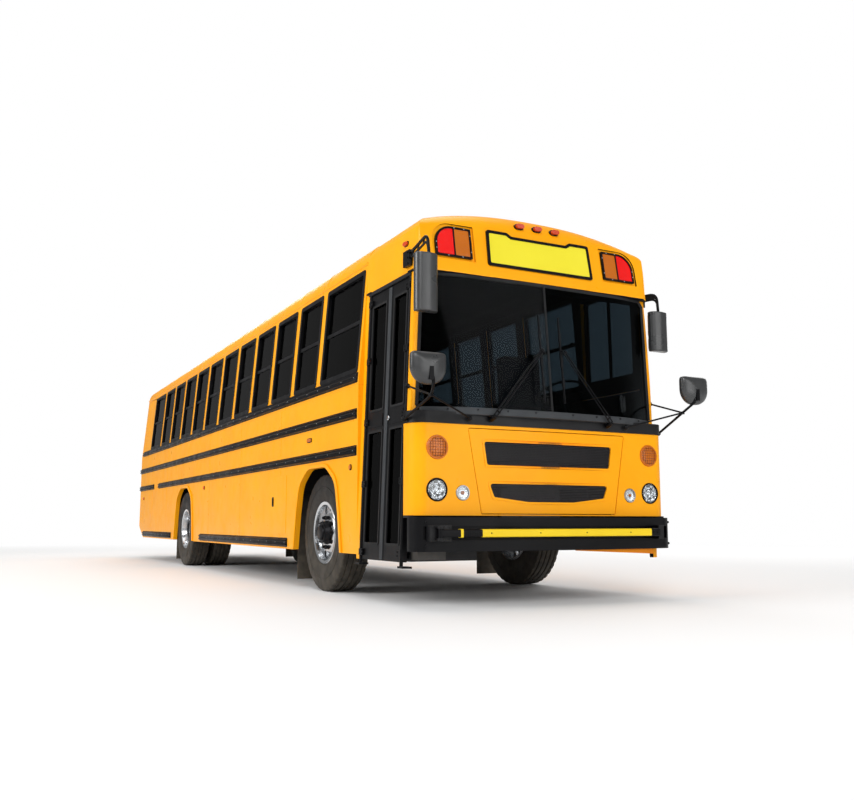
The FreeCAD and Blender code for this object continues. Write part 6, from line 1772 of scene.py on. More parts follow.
# ---------------------------------------------------------------- entrance door
@dataclass(frozen=True)
class Leaf:
    """One glazed leaf of the entrance, swinging on a rod at its outer edge."""

    name: str
    span: tuple
    pivot_y: float
    meeting: tuple
    thick: float = 40.0
    stile: float = 66.0
    top_z: float = 2560.0
    panes: tuple = ((460.0, 1380.0), (1550.0, 2460.0))

    def build(self) -> None:
        """Builds the leaf's frame, rubbers, rod and hinge straps."""
        face = -COACH.half_w
        foot = COACH.door_foot_z
        inner_y = (self.span[0] + self.stile, self.span[1] - self.stile)
        leaf = Solid().prism(Plane.YZ, rounded(self.span, (foot, self.top_z), 10.0), face, face + self.thick,
                             [rounded(inner_y, pane, 22.0) for pane in self.panes])
        leaf.box((face - 4, face + 6), (inner_y[0] + 6, inner_y[1] - 6), (self.panes[0][1] + 34, self.panes[1][0] - 34))
        self._lean(leaf).piece(f"entrance_{self.name}_frame", [BLACK], ["entrance_leaf_" + self.name],
                               body="entrance_" + self.name, bevel=3.5)
        rubber = Solid()
        for pane in self.panes:
            rubber.prism(Plane.YZ, rounded(inner_y, pane, 26.0, 5), face - 4, face + 5,
                         [rounded(inner_y, pane, 12.0, -13)])
        self._lean(rubber).piece(f"entrance_{self.name}_rubber", [BLACK_RUBBER], body="entrance_" + self.name,
                                 bevel=3.0)
        seal = Solid().prism(Plane.YZ, rounded(self.meeting, (foot + 6, self.top_z - 6), 8.0), face - 9, face + 30)
        self._lean(seal).piece(f"entrance_{self.name}_seal", [SEAL], body="entrance_" + self.name, bevel=6.0)
        self._hinge()

    def _hinge(self) -> None:
        """Pivot rod with straps bolted to the leaf, and the lock."""
        work = Solid()
        foot, top = COACH.door_foot_z, self.top_z
        work.tube([(-COACH.half_w, self.pivot_y, z) for z in (foot - 28, top + 28)], 14.0, 24)
        inward = 1 if self.name == "front" else -1
        for z in (foot + 60, 950.0, 1465.0, 1990.0, top - 70):
            strap = sorted((self.pivot_y - inward * 12, self.pivot_y + inward * 62))
            work.box((-COACH.half_w - 17, -COACH.half_w - 1), strap, about(z, 26))
            for dz in (-14, 14):
                work.nut((-COACH.half_w - 17, self.pivot_y + inward * 44, z + dz), (-1, 0, 0), 8.0, 5.0)
        if self.name == "front":
            work.finish = 1
            work.lathe([(0, 0), (0, 20), (5, 20), (8, 15), (8, 0)], (-COACH.half_w - 4, 312.0, 1465.0), (-1, 0, 0), 28)
        self._lean(work).piece(f"entrance_{self.name}_hinge", [BLACK, STEEL], body="entrance_" + self.name, bevel=1.5)

    def _lean(self, solid: Solid) -> Solid:
        """Leans a solid inwards with the door."""
        return solid.warp(lambda p: (p.x + COACH.door_lean * (p.z - COACH.door_foot_z), p.y, p.z))


@dataclass(frozen=True)
class Entrance:
    """Paired entrance door with its header."""

    def build(self) -> None:
        """Builds both leaves and the header over them."""
        Leaf("front", (-24.0, 356.0), -10.0, (334.0, 359.0)).build()
        Leaf("rear", (362.0, 782.0), 768.0, (362.0, 386.0)).build()
        header = Solid().box((-COACH.half_w + 62, -COACH.half_w + 96), (-30.0, 788.0), (2566.0, 2597.0))
        header.piece("entrance_header", [BLACK_RUBBER], bevel=3.0)


# ---------------------------------------------------------------- bumper and arms
def bumper_plan(inset: float, back: float = -130.0) -> list[tuple]:
    """Plan of the front bumper, swept back at its ends.

    Args:
        inset: Distance inside the outer face.
        back: Y of its two ends.

    Returns:
        The outline in X and Y.
    """
    half = 1230.0 - inset
    right = [(-half, back), (-half, -255.0 + inset, max(4.0, 120.0 - inset)), (-half + 330, -299.0 + inset, 900.0),
             (-0.3 * half, -345.0 + inset, 1500.0)]
    return eased(right + [(-x, y, *r) for x, y, *r in reversed(right)], 3.0)


@dataclass(frozen=True)
class FrontBumper:
    """Black channel bumper with the crossing arm lying in its groove."""

    foot_z: float = 418.0
    top_z: float = 673.0
    groove: tuple = (505.0, 603.0)
    reach: float = 1160.0

    def build(self) -> None:
        """Builds the bumper, its brackets and bolts, and the guard under it."""
        bumper = Solid().prism(Plane.XY, bumper_plan(0.0), self.foot_z, self.top_z)
        bumper.carve(Solid().prism(Plane.XY, bumper_plan(60.0, -100.0), self.foot_z - 1, self.top_z + 1))
        slot = Solid().prism(Plane.XY, bumper_plan(-40.0), *self.groove)
        slot.carve(Solid().prism(Plane.XY, bumper_plan(26.0, -90.0), self.groove[0] - 1, self.groove[1] + 1))
        slot.carve(Solid().box((-self.reach, self.reach), (-500.0, 0.0), (0.0, 1000.0)), "INTERSECT")
        bumper.carve(slot)
        bumper.piece("front_bumper_channel", [BLACK], ["front_bumper"], bevel=9.0, segments=4)
        work = Solid()
        for side in (-1, 1):
            work.box(spread(side, 352.0, 432.0), (-299.0, -150.0), (438.0, 661.0))
            for x in (300.0, 520.0, 1050.0):
                work.nut((side * x, -262.0 + 0.06 * x, self.top_z), (0, 0, 1), 11.0, 7.0)
            for z in (460.0, 636.0):
                work.dome((side * 1150.0, -290.0, z), (0, -1, 0), 11.0, 5.0, 16)
        work.piece("front_bumper_bolts", [BLACK], bevel=1.5)
        guard = Solid().prism(Plane.XY, bumper_plan(14.0), 380.0, 419.0)
        guard.carve(Solid().prism(Plane.XY, bumper_plan(24.0, -90.0), 379.0, 420.0))
        guard.carve(Solid().box((160.0, 1003.0), (-500.0, -200.0), (300.0, 500.0)), "INTERSECT")
        guard.warp(lambda p: (p.x, p.y, p.z if p.z > 400 else 412.0 - 38.0 * (p.x - 160.0) / 843.0))
        # the guard's colour is painted shade of its yellow under the bumper
        guard.piece("front_guard_strip", [GUARD_YELLOW_PAINTED_SHADE], bevel=2.0)


@dataclass(frozen=True)
class CrossingGate:
    """Yellow arm that swings out across the front, with its drive box and catch."""

    pivot: tuple = (-1065.0, -359.0)
    z: float = 554.0
    tip_x: float = 985.0

    def build(self) -> None:
        """Builds the arm and what holds it."""
        x, y = self.pivot
        arm = Solid()
        arm.lathe([(-34, 0), (-34, 20), (34, 20), (34, 0)], (x, y, self.z), (0, 0, 1), 32)
        # sleeve, seven ribs of its bellows, yellow ring, yellow pole and black tip
        stretches = [(0, 22, 28, 9.0, x, x + 342)]
        stretches += [(0, 24, 30, 10.0, x + 196 + 20 * k, x + 205 + 20 * k) for k in range(7)]
        stretches += [(1, 24, 32, 10.0, x + 156, x + 178), (1, 21, 30, 11.0, x + 341, self.tip_x - 90),
                      (0, 22, 32, 12.0, self.tip_x - 91, self.tip_x)]
        for finish, half_y, half_z, r, start, end in stretches:
            arm.finish = finish
            arm.prism(Plane.YZ, rounded(about(y, half_y), about(self.z, half_z), r), start, end)
        for k in range(2):
            arm.nut((self.tip_x - 66 + 42 * k, y - 21.5, self.z), (0, -1, 0), 10.0, 6.0)
        for k in range(4):
            arm.dome((x + 420 + 440 * k, y - 21, self.z), (0, -1, 0), 6.0, 2.5, 12)
        arm.piece("crossing_arm_pole", [BLACK, ARM_YELLOW], ["crossing_arm"], body="crossing_gate", bevel=1.5)
        drive = Solid().box((x - 70, x + 110), (y + 34, y + 140), about(self.z, 60))
        for z0, z1 in ((-52, -34.3), (34.3, 52)):
            drive.prism(Plane.XY, rounded(about(x, 26), (y - 24, y + 40), 22.0), self.z + z0, self.z + z1)
        for dx in (-52, 92):
            for dz in (-44, 44):
                drive.nut((x + dx, y + 34, self.z + dz), (0, -1, 0), 8.0, 5.0)
        drive.box((self.tip_x + 5, self.tip_x + 60), (y + 4, y + 140), about(self.z, 56))
        drive.piece("crossing_arm_drive", [ABS], ["arm_mount"], bevel=5.0)


@dataclass(frozen=True)
class StopSign:
    """Blank eight-sided sign on the driver's side, hinged at its front edge."""

    hinge: tuple = (1265.0, 300.0)
    z: float = 1500.0
    r: float = 232.0

    def build(self) -> None:
        """Builds the sign with its white rim and two lamps, and its wind box."""
        x, y = self.hinge
        middle = y + 70 + self.r
        turns = [math.radians(22.5 + 45 * i) for i in range(8)]
        outer = [(middle + self.r * math.cos(t), self.z + self.r * math.sin(t)) for t in turns]
        inner = [(middle + (self.r - 14) * math.cos(t), self.z + (self.r - 14) * math.sin(t)) for t in turns]
        sign = Solid()
        sign.prism(Plane.YZ, eased([(a, b, 10.0) for a, b in outer]), x - 4, x + 4)
        sign.finish = 1
        sign.prism(Plane.YZ, eased([(a, b, 8.0) for a, b in inner]), x - 5.5, x + 5.5)
        sign.finish = 2
        sign.lathe([(-120, 0), (-120, 14), (120, 14), (120, 0)], (x, y, self.z), (0, 0, 1), 24)
        sign.box(about(x, 7), (y, y + 118), about(self.z, 106))
        for dz in (-70, 0, 70):
            sign.nut((x + 7, y + 84, self.z + dz), (1, 0, 0), 8.0, 4.0)
        for dz in (-130, 130):
            sign.finish = 2
            sign.lathe([(-8, 0), (-8, 46), (8, 46), (8, 0)], (x, middle, self.z + dz), (1, 0, 0), 32)
            sign.finish = 3
            sign.lathe([(-12, 0), (-8, 38), (8, 38), (12, 0)], (x, middle, self.z + dz), (1, 0, 0), 32)
        sign.piece("stop_sign_plate", [WHITE_PAINT, SIGN_RED, BLACK, RED], ["stop_arm"], body="stop_sign", bevel=1.0,
                   segments=2)


# ---------------------------------------------------------------- mirrors and wipers
@dataclass(frozen=True)
class CrossviewMirrors:
    """Domed D-shaped mirrors ahead of the nose on thin rods."""

    head: tuple = (1262.0, -543.0, 1746.0)
    arm: tuple = ((1244.0, -110.0, 1412.0), (1195.0, -467.0, 1553.0), (1238.0, -585.0, 1640.0),
                  (1238.0, -560.0, 1700.0))
    feet: tuple = ((759.0, -262.0, 1427.0), (1196.0, -66.0, 1673.0))

    def build(self) -> None:
        """Builds both mirrors and their rods."""
        for name, side in SIDES.items():
            head = Solid()
            rim = bulge(0, 48, 100)
            head.lathe([(-32, 0), (-32, 90), (-25, 99)] + rim[::-1], (0, 0, 0), (0, -1, 0), 64)
            head.finish = 1
            head.lathe([(-37, 0), (-35, 50), (-31, 88), (-28, 88), (-28, 0)], (0, 0, 0), (0, -1, 0), 64)
            head.warp(self._shape)
            head.warp(lambda p: (p.x + side * self.head[0], p.y + self.head[1], p.z + self.head[2]))
            stands = ["crossview_mirrors"] if side > 0 else []
            head.piece("crossview_head_" + name, [DOME, MIRROR], stands, bevel=2.0)
            rods = Solid()
            arm = [(side * a, b, c) for a, b, c in self.arm]
            rods.tube(bent(arm, 60.0), 10.5, 16)
            rods.tube([(side * self.head[0], self.head[1] + 10, self.head[2] - 40), arm[3]], 13.0, 16)
            back = self.head[1] - 50
            rods.box(spread(side, self.head[0] - 20, self.head[0] + 14), (back, back + 34),
                     (self.head[2] - 100, self.head[2] - 4))
            for foot in self.feet:
                start = (side * foot[0], foot[1], foot[2])
                rods.tube([start, arm[1]], 7.5, 12)
            for x, y, z in [arm[0]] + [(side * a, b, c) for a, b, c in self.feet]:
                rods.dome((x, y + 4, z), (0, -1, 0), 22.0, 14.0, 20)
            rods.dome((arm[1][0], arm[1][1], arm[1][2] - 12), (0, 0, 1), 18.0, 24.0, 16)
            rods.piece("crossview_rods_" + name, [BLACK])

    def _shape(self, p: Vector) -> tuple:
        """Stretches a round dome of radius 100 to the mirror's D outline."""
        reach = math.hypot(p.x, p.z)
        if reach < 1e-6:
            return tuple(p)
        a, b = abs(p.x) / reach, p.z / reach
        power, high = (9.0, 108.0) if b > 0 else (2.1, 132.0)
        edge = ((a / 142.0) ** power + (abs(b) / high) ** power) ** (-1 / power)
        return p.x * edge / 100, p.y, p.z * edge / 100


@dataclass(frozen=True)
class SideMirrors:
    """Tall flat mirrors over the doors, on black arms."""

    sets: tuple = (
        (-1, 1212.0, -420.0, 2180.0, 2630.0,
         ((1152.0, 0.0, 2740.0), (1204.0, -415.0, 2777.0), (1190.0, -418.0, 2600.0))),
        (1, 1232.0, -170.0, 2130.0, 2490.0,
         ((1130.0, -40.0, 2640.0), (1225.0, -160.0, 2660.0), (1232.0, -170.0, 2470.0))),
    )

    def build(self) -> None:
        """Builds both mirrors and their arms."""
        for side, x, y, z0, z1, arm in self.sets:
            name = "right" if side < 0 else "left"
            plan = eased([(-103, 43, 14.0), (-103, -34, 60.0), (0, -56, 130.0), (103, -34, 60.0), (103, 43, 14.0)], 8.0)
            shell = Solid().prism(Plane.XY, plan, z0 + 1, z1 - 1)
            shell.warp(lambda p: (p.x * (0.5 + 0.5 * self._swell((p.z - z0) / (z1 - z0))),
                                  p.y if p.y > 30 else 30 + (p.y - 30) * self._swell((p.z - z0) / (z1 - z0)), p.z))
            shell.warp(lambda p: (p.x + side * x, p.y + y, p.z))
            stands = ["upper_mirrors"] if side > 0 else []
            shell.piece("side_mirror_shell_" + name, [DOME], stands, bevel=24.0, segments=6)
            glass = Solid()
            split = z0 + (z1 - z0) * 0.36
            for low, high in ((z0 + 18, split - 5), (split + 5, z1 - 18)):
                glass.prism(Plane.XZ, rounded((-88, 88), (low, high), 18.0), 40.0, 46.0)
            glass.warp(lambda p: (p.x + side * x, p.y + y, p.z))
            glass.piece("side_mirror_glass_" + name, [MIRROR], bevel=1.5)
            bars = Solid()
            path = [(side * a, b, c) for a, b, c in arm]
            bars.tube(bent(path, 70.0), 12.5, 16)
            lower = [(p[0], p[1], p[2] - 46) for p in path[:2]] + [(path[2][0], path[2][1], path[2][2] - 30)]
            bars.tube(bent(lower, 60.0), 9.5, 16)
            if side < 0:
                for t in (0.25, 0.55, 0.85):
                    a, b = Vector(path[0]).lerp(Vector(path[1]), t), Vector(lower[0]).lerp(Vector(lower[1]), t - 0.08)
                    bars.tube([a, b], 7.0, 10)
            else:
                # cast web that fills the elbow
                web = [path[0], tuple(Vector(path[0]).lerp(Vector(path[1]), 0.9)), lower[1], lower[0]]
                across = (Vector(web[1]) - Vector(web[0])).cross(Vector((0, 0, 1))).normalized() * 7
                bars.add([tuple(Vector(p) - across) for p in web] + [tuple(Vector(p) + across) for p in web],
                         BLOCK_FACES)
            foot = path[0]
            bars.box(sorted((foot[0] - side * 40, foot[0] + side * 26)), (foot[1] - 46, foot[1] + 66),
                     (foot[2] - 100, foot[2] + 26))
            for dz in (-82, -36, 8):
                bars.nut((foot[0] + side * 26, foot[1] - 20, foot[2] + dz), (side, 0, 0), 9.0, 6.0)
            bars.piece("side_mirror_arm_" + name, [BLACK], bevel=4.0)

    def _swell(self, share: float) -> float:
        """Depth of the shell at a share of its height, fullest a little above the middle."""
        return 0.82 + 0.18 * math.sin(math.pi * min(1.0, max(0.0, share)))


@dataclass(frozen=True)
class Wipers:
    """Pair of wipers with twin rods and upright blades."""

    foot: tuple = (562.0, -288.0, 1439.0)
    knee_z: float = 2010.0
    tips: tuple = ((-1, -110.0), (1, 85.0))
    blade_z: tuple = (1580.0, 2300.0)
    blade_foot_y: float = -344.0
    blade_set_back: float = 78.0

    def build(self) -> None:
        """Builds both wipers."""
        for side, tip_x in self.tips:
            name = "right" if side < 0 else "left"
            foot = Vector((side * self.foot[0], self.foot[1], self.foot[2]))
            knee = Vector((tip_x, -322.0, self.knee_z))
            work = Solid()
            work.lathe([(-40, 0), (-40, 22), (12, 20), (14, 14), (30, 14), (32, 0)], tuple(foot), (0, -1, 0.3), 24)
            start = foot + Vector((0, -26, 12))
            across = (knee - start).cross(Vector((0, 1, 0))).normalized()
            for shift in (-13, 13):
                work.tube([start + across * shift, knee + across * shift * 0.8], 5.5, 12)
            for share in (0.06, 0.97):
                middle = start.lerp(knee, share)
                work.tube([middle - across * 20, middle + across * 20], 8.0, 12)
            blade_x = tip_x - 10
            low, high = self.blade_z
            work.tube([knee + Vector((0, 4, 0)), (blade_x, -304.0, self.knee_z + 4)], 8.0, 12)
            spine = [(blade_x, self._blade_y(z), z) for z in (low, (low + high) / 2, high)]
            work.sweep(spine, [(-7, -5), (7, -5), (5, 5), (-5, 5)], up=(0.0, -1.0, 0.0))
            for z in (low + 170, low + 330, high - 330, high - 170):
                y = self._blade_y(z)
                work.box(about(blade_x, 11), (y - 6, y + 8), about(z, 34))
            work.finish = 1
            rubber = [(a, b + 9, c) for a, b, c in spine]
            work.sweep(rubber, [(-3, -5), (3, -5), (1.5, 5), (-1.5, 5)], up=(0.0, -1.0, 0.0))
            stands = ["wipers"] if side > 0 else []
            work.piece("wiper_" + name, [BLACK, BLACK_RUBBER], stands, bevel=1.5, segments=2)

    def _blade_y(self, z: float) -> float:
        """Y of the blades at a height, along the leaning glass."""
        low, high = self.blade_z
        return self.blade_foot_y + self.blade_set_back * (z - low) / (high - low)


# ---------------------------------------------------------------- wheels
TYRE_R = 540.0      # also the height of the axles


@dataclass(frozen=True)
class Tyre:
    """Road tyre with ribbed sidewalls, four grooves and notched shoulders."""

    r: float = TYRE_R
    half_w: float = 137.0
    bead_r: float = 290.0
    steps: int = 160

    def add(self, solid: Solid, x: float, y: float) -> None:
        """Adds the tyre to a solid.

        Args:
            solid: Solid that gets it.
            x: Middle of its width.
            y: Middle of its axle.
        """
        w, r, bead = self.half_w, self.r, self.bead_r
        side = [(w - 30, bead), (w - 14, bead + 6), (w - 8, bead + 26), (w - 3, bead + 60), (w, bead + 100),
                (w - 2, bead + 128), (w + 1, bead + 130), (w + 1, bead + 137), (w - 3, bead + 139), (w - 5, r - 82),
                (w - 8, r - 52), (w - 10, r - 30), (w - 14, r - 12), (w - 22, r - 3)]
        tread = [(88.0, r - 1), (84.0, r - 12), (76.0, r - 12), (72.0, r), (34.0, r), (30.0, r - 12), (22.0, r - 12),
                 (18.0, r)]
        half = side + tread
        profile = half + [(-a, b) for a, b in reversed(half)]
        start = len(solid.mesh.verts)
        solid.lathe(profile, (x, y, r), (1, 0, 0), self.steps)
        solid.warp(lambda p: self._notch(p, x, y), start)

    def _notch(self, p: Vector, x: float, y: float) -> tuple:
        """Sinks every fourth step of the shoulders and ribs to leave blocks."""
        dy, dz = p.y - y, p.z - self.r
        reach = math.hypot(dy, dz)
        step = round(math.atan2(dz, dy) / (2 * math.pi) * self.steps) % 4
        across = abs(p.x - x)
        depth = 0.0
        if reach > self.r - 56 and across > 85 and step == 0:
            depth = 9.0
        elif reach > self.r - 2 and across < 75 and step == 2:
            depth = 4.0
        scale = (reach - depth) / reach
        return p.x, y + dy * scale, self.r + dz * scale


@dataclass(frozen=True)
class Wheel:
    """Disc wheel of polished aluminium with black nuts and hub.

    Attributes:
        side: Sign of X of the wheel's side of the bus.
        x: Middle of its rim.
        y: Middle of its axle.
        dish: Offset from the rim's middle to the disc's outer face.
        hub: (offset, radius) points of the hub and its cap, out from the disc.
    """

    side: int
    x: float
    y: float
    dish: float
    hub: tuple
    z: float = TYRE_R
    nut_circle_r: float = 143.0
    hole_r: float = 222.0
    holes: int = 10

    @property
    def crown(self) -> float:
        """How far the disc's middle stands out from its outer face."""
        return 34.0 if self.dish > 0 else -18.0

    @property
    def centre(self) -> tuple:
        """Middle of the rim."""
        return self.side * self.x, self.y, self.z

    def rim(self, solid: Solid) -> None:
        """Adds the rim with its two flanges and drop centre."""
        outer = [(-118, 262), (-122, 290), (-116, 296), (-108, 292), (-104, 276), (-92, 270), (-40, 262), (20, 254),
                 (60, 262), (96, 270), (104, 276), (108, 292), (116, 296), (122, 290), (118, 262)]
        inner = [(92, 256), (60, 248), (20, 243), (-40, 250), (-92, 256)]
        solid.lathe([(a, b - 3) for a, b in outer + inner], self.centre, (self.side, 0, 0), 96)

    def disc(self, solid: Solid) -> Solid:
        """Cuts the hand holes in a dished disc and gives it back."""
        face, out = self.dish, self.crown
        profile = [(face + out, 100), (face + out, 168), (face + out * 0.9, 176), (face + out * 0.25, 196), (face, 212),
                   (face - 4, 236), (face - 14, 251), (face - 30, 258), (face - 30, 250), (face - 24, 244),
                   (face - 16, 232), (face - 12, 210), (face + out * 0.25 - 12, 194), (face + out * 0.9 - 14, 174),
                   (face + out - 14, 166), (face + out - 14, 100)]
        disc = Solid().lathe(profile, self.centre, (self.side, 0, 0), 96)
        cutters = Solid()
        for k in range(self.holes):
            t = 2 * math.pi * (k + 0.5) / self.holes
            outline = []
            for a in [2 * math.pi * i / 24 for i in range(24)]:
                along, across = 21 * math.cos(a), 31 * math.sin(a)
                r = self.hole_r + along
                outline.append((self.y + r * math.cos(t) - across * math.sin(t),
                                self.z + r * math.sin(t) + across * math.cos(t)))
            low, high = spread(self.side, self.x + face - 60, self.x + face + 60)
            cutters.prism(Plane.YZ, outline, low, high)
        disc.carve(cutters)
        return solid.join(disc)

    def hardware(self, solid: Solid) -> None:
        """Adds the nuts, studs, hub and cap."""
        face = self.dish + self.crown
        way = (self.side, 0, 0)
        for k in range(10):
            t = 2 * math.pi * k / 10
            y, z = self.y + self.nut_circle_r * math.cos(t), self.z + self.nut_circle_r * math.sin(t)
            at = (self.side * (self.x + face), y, z)
            solid.lathe([(-1, 0), (-1, 21), (4, 21), (6, 18), (6, 0)], at, way, 20)
            solid.nut((self.side * (self.x + face + 5), y, z), way, 18.0, 22.0)
            solid.lathe([(20, 0), (20, 9), (34, 9), (36, 7), (36, 0)], at, way, 12)
        solid.lathe([(face - 20, 0), *self.hub, (self.hub[-1][0], 0)], self.centre, way, 48)
        reach = self.hub[-1][1] + 13
        for k in range(6):
            t = math.pi * k / 3
            at = (self.side * (self.x + self.hub[-3][0]), self.y + reach * math.cos(t), self.z + reach * math.sin(t))
            solid.nut(at, way, 8.0, 6.0)


@dataclass(frozen=True)
class RoadWheels:
    """All six tyres and their wheels."""

    front_x: float = 1030.0
    front_y: float = 1806.0
    rear_x: float = 1052.0
    rear_inner_x: float = 727.0
    rear_y: float = 7576.0

    def build(self) -> None:
        """Builds the wheels on both sides."""
        for name, side in SIDES.items():
            self._front(name, side)
            self._rear(name, side)

    def _front(self, name: str, side: int) -> None:
        """Single front wheel with its polished domed disc."""
        body = "front_wheel_" + name
        tyre = Solid()
        Tyre().add(tyre, side * self.front_x, self.front_y)
        tyre.piece("front_tyre_tread_" + name, [TYRE], ["front_tyre_" + name], body=body, angle=28.0)
        hub = ((93, 112), (108, 110), (124, 96), (148, 92), (150, 70), (164, 66), (168, 60))
        wheel = Wheel(side, self.front_x, self.front_y, 58.0, hub)
        metal = Solid()
        wheel.rim(metal)
        wheel.disc(metal)
        metal.piece("front_disc_" + name, [ALLOY], ["front_rim_" + name], body=body, bevel=2.0, angle=40.0)
        work = Solid()
        wheel.hardware(work)
        work.piece("front_hub_" + name, [NUTS], body=body, bevel=1.0, angle=40.0, segments=2)

    def _rear(self, name: str, side: int) -> None:
        """Pair of rear wheels, the outer one dished inwards."""
        body = "rear_wheels_" + name
        tyres = Solid()
        Tyre().add(tyres, side * self.rear_x, self.rear_y)
        Tyre().add(tyres, side * self.rear_inner_x, self.rear_y)
        tyres.piece("rear_tyre_tread_" + name, [TYRE], ["rear_tyres_" + name], body=body, angle=28.0)
        hub = ((-106, 112), (-60, 112), (0, 110), (20, 106), (22, 90), (52, 88), (60, 76))
        outer = Wheel(side, self.rear_x, self.rear_y, -66.0, hub)
        inner = Wheel(side, self.rear_inner_x, self.rear_y, 84.0, hub)
        metal = Solid()
        outer.rim(metal)
        inner.rim(metal)
        outer.disc(metal)
        metal.lathe([(62, 100), (78, 100), (78, 250), (62, 256)], inner.centre, (side, 0, 0), 64)
        metal.lathe([(60, 100), (230, 100), (230, 168), (60, 168)], inner.centre, (side, 0, 0), 48)
        metal.piece("rear_disc_" + name, [ALLOY], ["rear_rims_" + name], body=body, bevel=2.0, angle=40.0)
        work = Solid()
        outer.hardware(work)
        work.piece("rear_hub_" + name, [NUTS], body=body, bevel=1.0, angle=40.0, segments=2)


# ---------------------------------------------------------------- rear end
@dataclass(frozen=True)
class RearEnd:
    """Rear wall with the emergency door, its glass rubbers, lamps and bumper."""

    foot_z: float = 560.0
    door: tuple = ((-430.0, 430.0), (1010.0, 2520.0))
    gap: float = 6.0
    panes: tuple = ((1960.0, 2420.0), (1180.0, 1480.0))
    pane_half_w: float = 330.0
    windows: tuple = ((560.0, 1010.0), (1960.0, 2560.0))
    tails: tuple = ((1060.0, 1440.0, 88.0, 1), (860.0, 1440.0, 88.0, 2), (1060.0, 1080.0, 60.0, 1),
                    (870.0, 1080.0, 60.0, 3))

    def build(self) -> None:
        """Builds the rear end's pieces."""
        self._wall()
        self._door()
        self._rubbers()
        self._lamps()
        self._bumper()

    def _lean(self, solid: Solid) -> Solid:
        """Leans what stands on an upright wall at the body's end onto the sloping rear."""
        return solid.warp(lambda p: (p.x, p.y + COACH.rear_y(p.z) - COACH.end_y, p.z))

    def _wall(self) -> None:
        """Painted wall pierced for the door and the two windows."""
        end = COACH.end_y
        wall = Solid().prism(Plane.XZ, COACH.body_section(0.0), end - COACH.wall, end)
        wall.carve(Solid().box((-1300.0, 1300.0), (end - 200, end + 50), (300.0, self.foot_z)))
        openings = [rounded(*self.door, 40.0, self.gap)]
        openings += [rounded(spread(side, *self.windows[0]), self.windows[1], 40.0) for side in (-1, 1)]
        for opening in openings:
            wall.carve(Solid().prism(Plane.XZ, opening, end - 90, end + 20))
        self._lean(wall).piece("rear_wall", [YELLOW], ["rear_end"], bevel=14.0, segments=4, angle=40.0)

    def _door(self) -> None:
        """Emergency door with its pressed panel, handle and three hinges."""
        end = COACH.end_y
        across = (-self.pane_half_w, self.pane_half_w)
        holes = [rounded(across, pane, 40.0) for pane in self.panes]
        door = Solid().prism(Plane.XZ, rounded(*self.door, 36.0), end - COACH.wall, end, holes)
        door.finish = 1
        for pane in self.panes:
            door.prism(Plane.XZ, rounded(across, pane, 46.0, 8), end - 4, end + 5, [rounded(across, pane, 30.0, -12)])
        door.finish = 2
        door.prism(Plane.XZ, rounded((240.0, 360.0), (1540.0, 1590.0), 12.0), end, end + 10)
        door.tube([(300.0, end, 1565.0), (300.0, end + 38, 1565.0), (300.0, end + 40, 1555.0),
                   (300.0, end + 40, 1440.0)], 11.0, 16)
        for hinge_z in (1250.0, 1760.0, 2270.0):
            door.lathe([(-30, 0), (-30, 10), (30, 10), (30, 0)], (-436.0, end + 12, hinge_z), (0, 0, 1), 24)
            door.box((-428.0, -340.0), (end, end + 6), about(hinge_z, 28))
            for dx in (-395.0, -360.0):
                door.dome((dx, end + 6, hinge_z), (0, 1, 0), 8.0, 4.0, 14)
        self._lean(door).piece("rear_door_panel", [YELLOW, BLACK_RUBBER, BLACK], ["rear_door"], body="emergency_door",
                               bevel=3.0)

    def _rubbers(self) -> None:
        """Glazing rubbers of the outer rear windows."""
        end = COACH.end_y
        rubber = Solid()
        for side in (-1, 1):
            spans = spread(side, *self.windows[0]), self.windows[1]
            rubber.prism(Plane.XZ, rounded(*spans, 48.0, 10), end - 4, end + 5, [rounded(*spans, 28.0, -14)])
        self._lean(rubber).piece("rear_window_rubbers", [BLACK_RUBBER], bevel=3.0)

    def _lamps(self) -> None:
        """Tail, stop, turn and reversing lamps, markers, warning lamps and the blank sign."""
        end = COACH.end_y
        lamps = Solid()
        for x, z, r, lens in self.tails:
            for side in (-1, 1):
                at = (side * x, end, z)
                lamps.finish = 0
                lamps.lathe([(-2, r - 16), (-2, r), (10, r), (16, r - 6), (16, r - 12), (8, r - 16)], at, (0, 1, 0), 48)
                lamps.finish = lens
                lamps.lathe([(-2, 0)] + bulge(10, 8, r - 14, 6) + [(-2, r - 14)], at, (0, 1, 0), 48)
        z0, z1 = 2684.0, 2874.0
        for side in (-1, 1):
            for (x0, x1, r), lens in zip(((655.0, 780.0, 12.0), (806.0, 948.0, 54.0)), (2, 1)):
                outer = warning_outline(side, x0, x1, z0, z1, r)
                inner = warning_outline(side, x0 + 12, x1 - 12, z0 + 12, z1 - 12, max(6.0, r - 12))
                lamps.finish = 0
                lamps.prism(Plane.XZ, outer, end - 4, end + 18, [inner])
                lamps.finish = lens
                lamps.prism(Plane.XZ, inner, end - 4, end + 11)
        for x in (0.0, 177.0, -177.0, 880.0, -880.0):
            z = COACH.crown(x) - 68
            lamps.finish = 0
            lamps.prism(Plane.XZ, rounded(about(x, 40), about(z, 22), 21.0), end - 6, end + 12)
            lamps.finish = 1
            lamps.prism(Plane.XZ, rounded(about(x, 34), about(z, 16), 15.9), end + 11, end + 20)
        self._lean(lamps).piece("rear_lamps", [BLACK, RED, AMBER, WHITE_LENS], bevel=2.0)
        spans = (-500, 500), (2622, 2878)
        sign = Solid().prism(Plane.XZ, rounded(*spans, 14.0), end - 4, end + 14, [rounded(*spans, 8.0, -16)])
        sign.finish = 1
        sign.prism(Plane.XZ, rounded(*spans, 8.0, -15), end - 4, end + 9)
        self._lean(sign).piece("rear_sign", [BLACK, SHEETING], bevel=2.0)

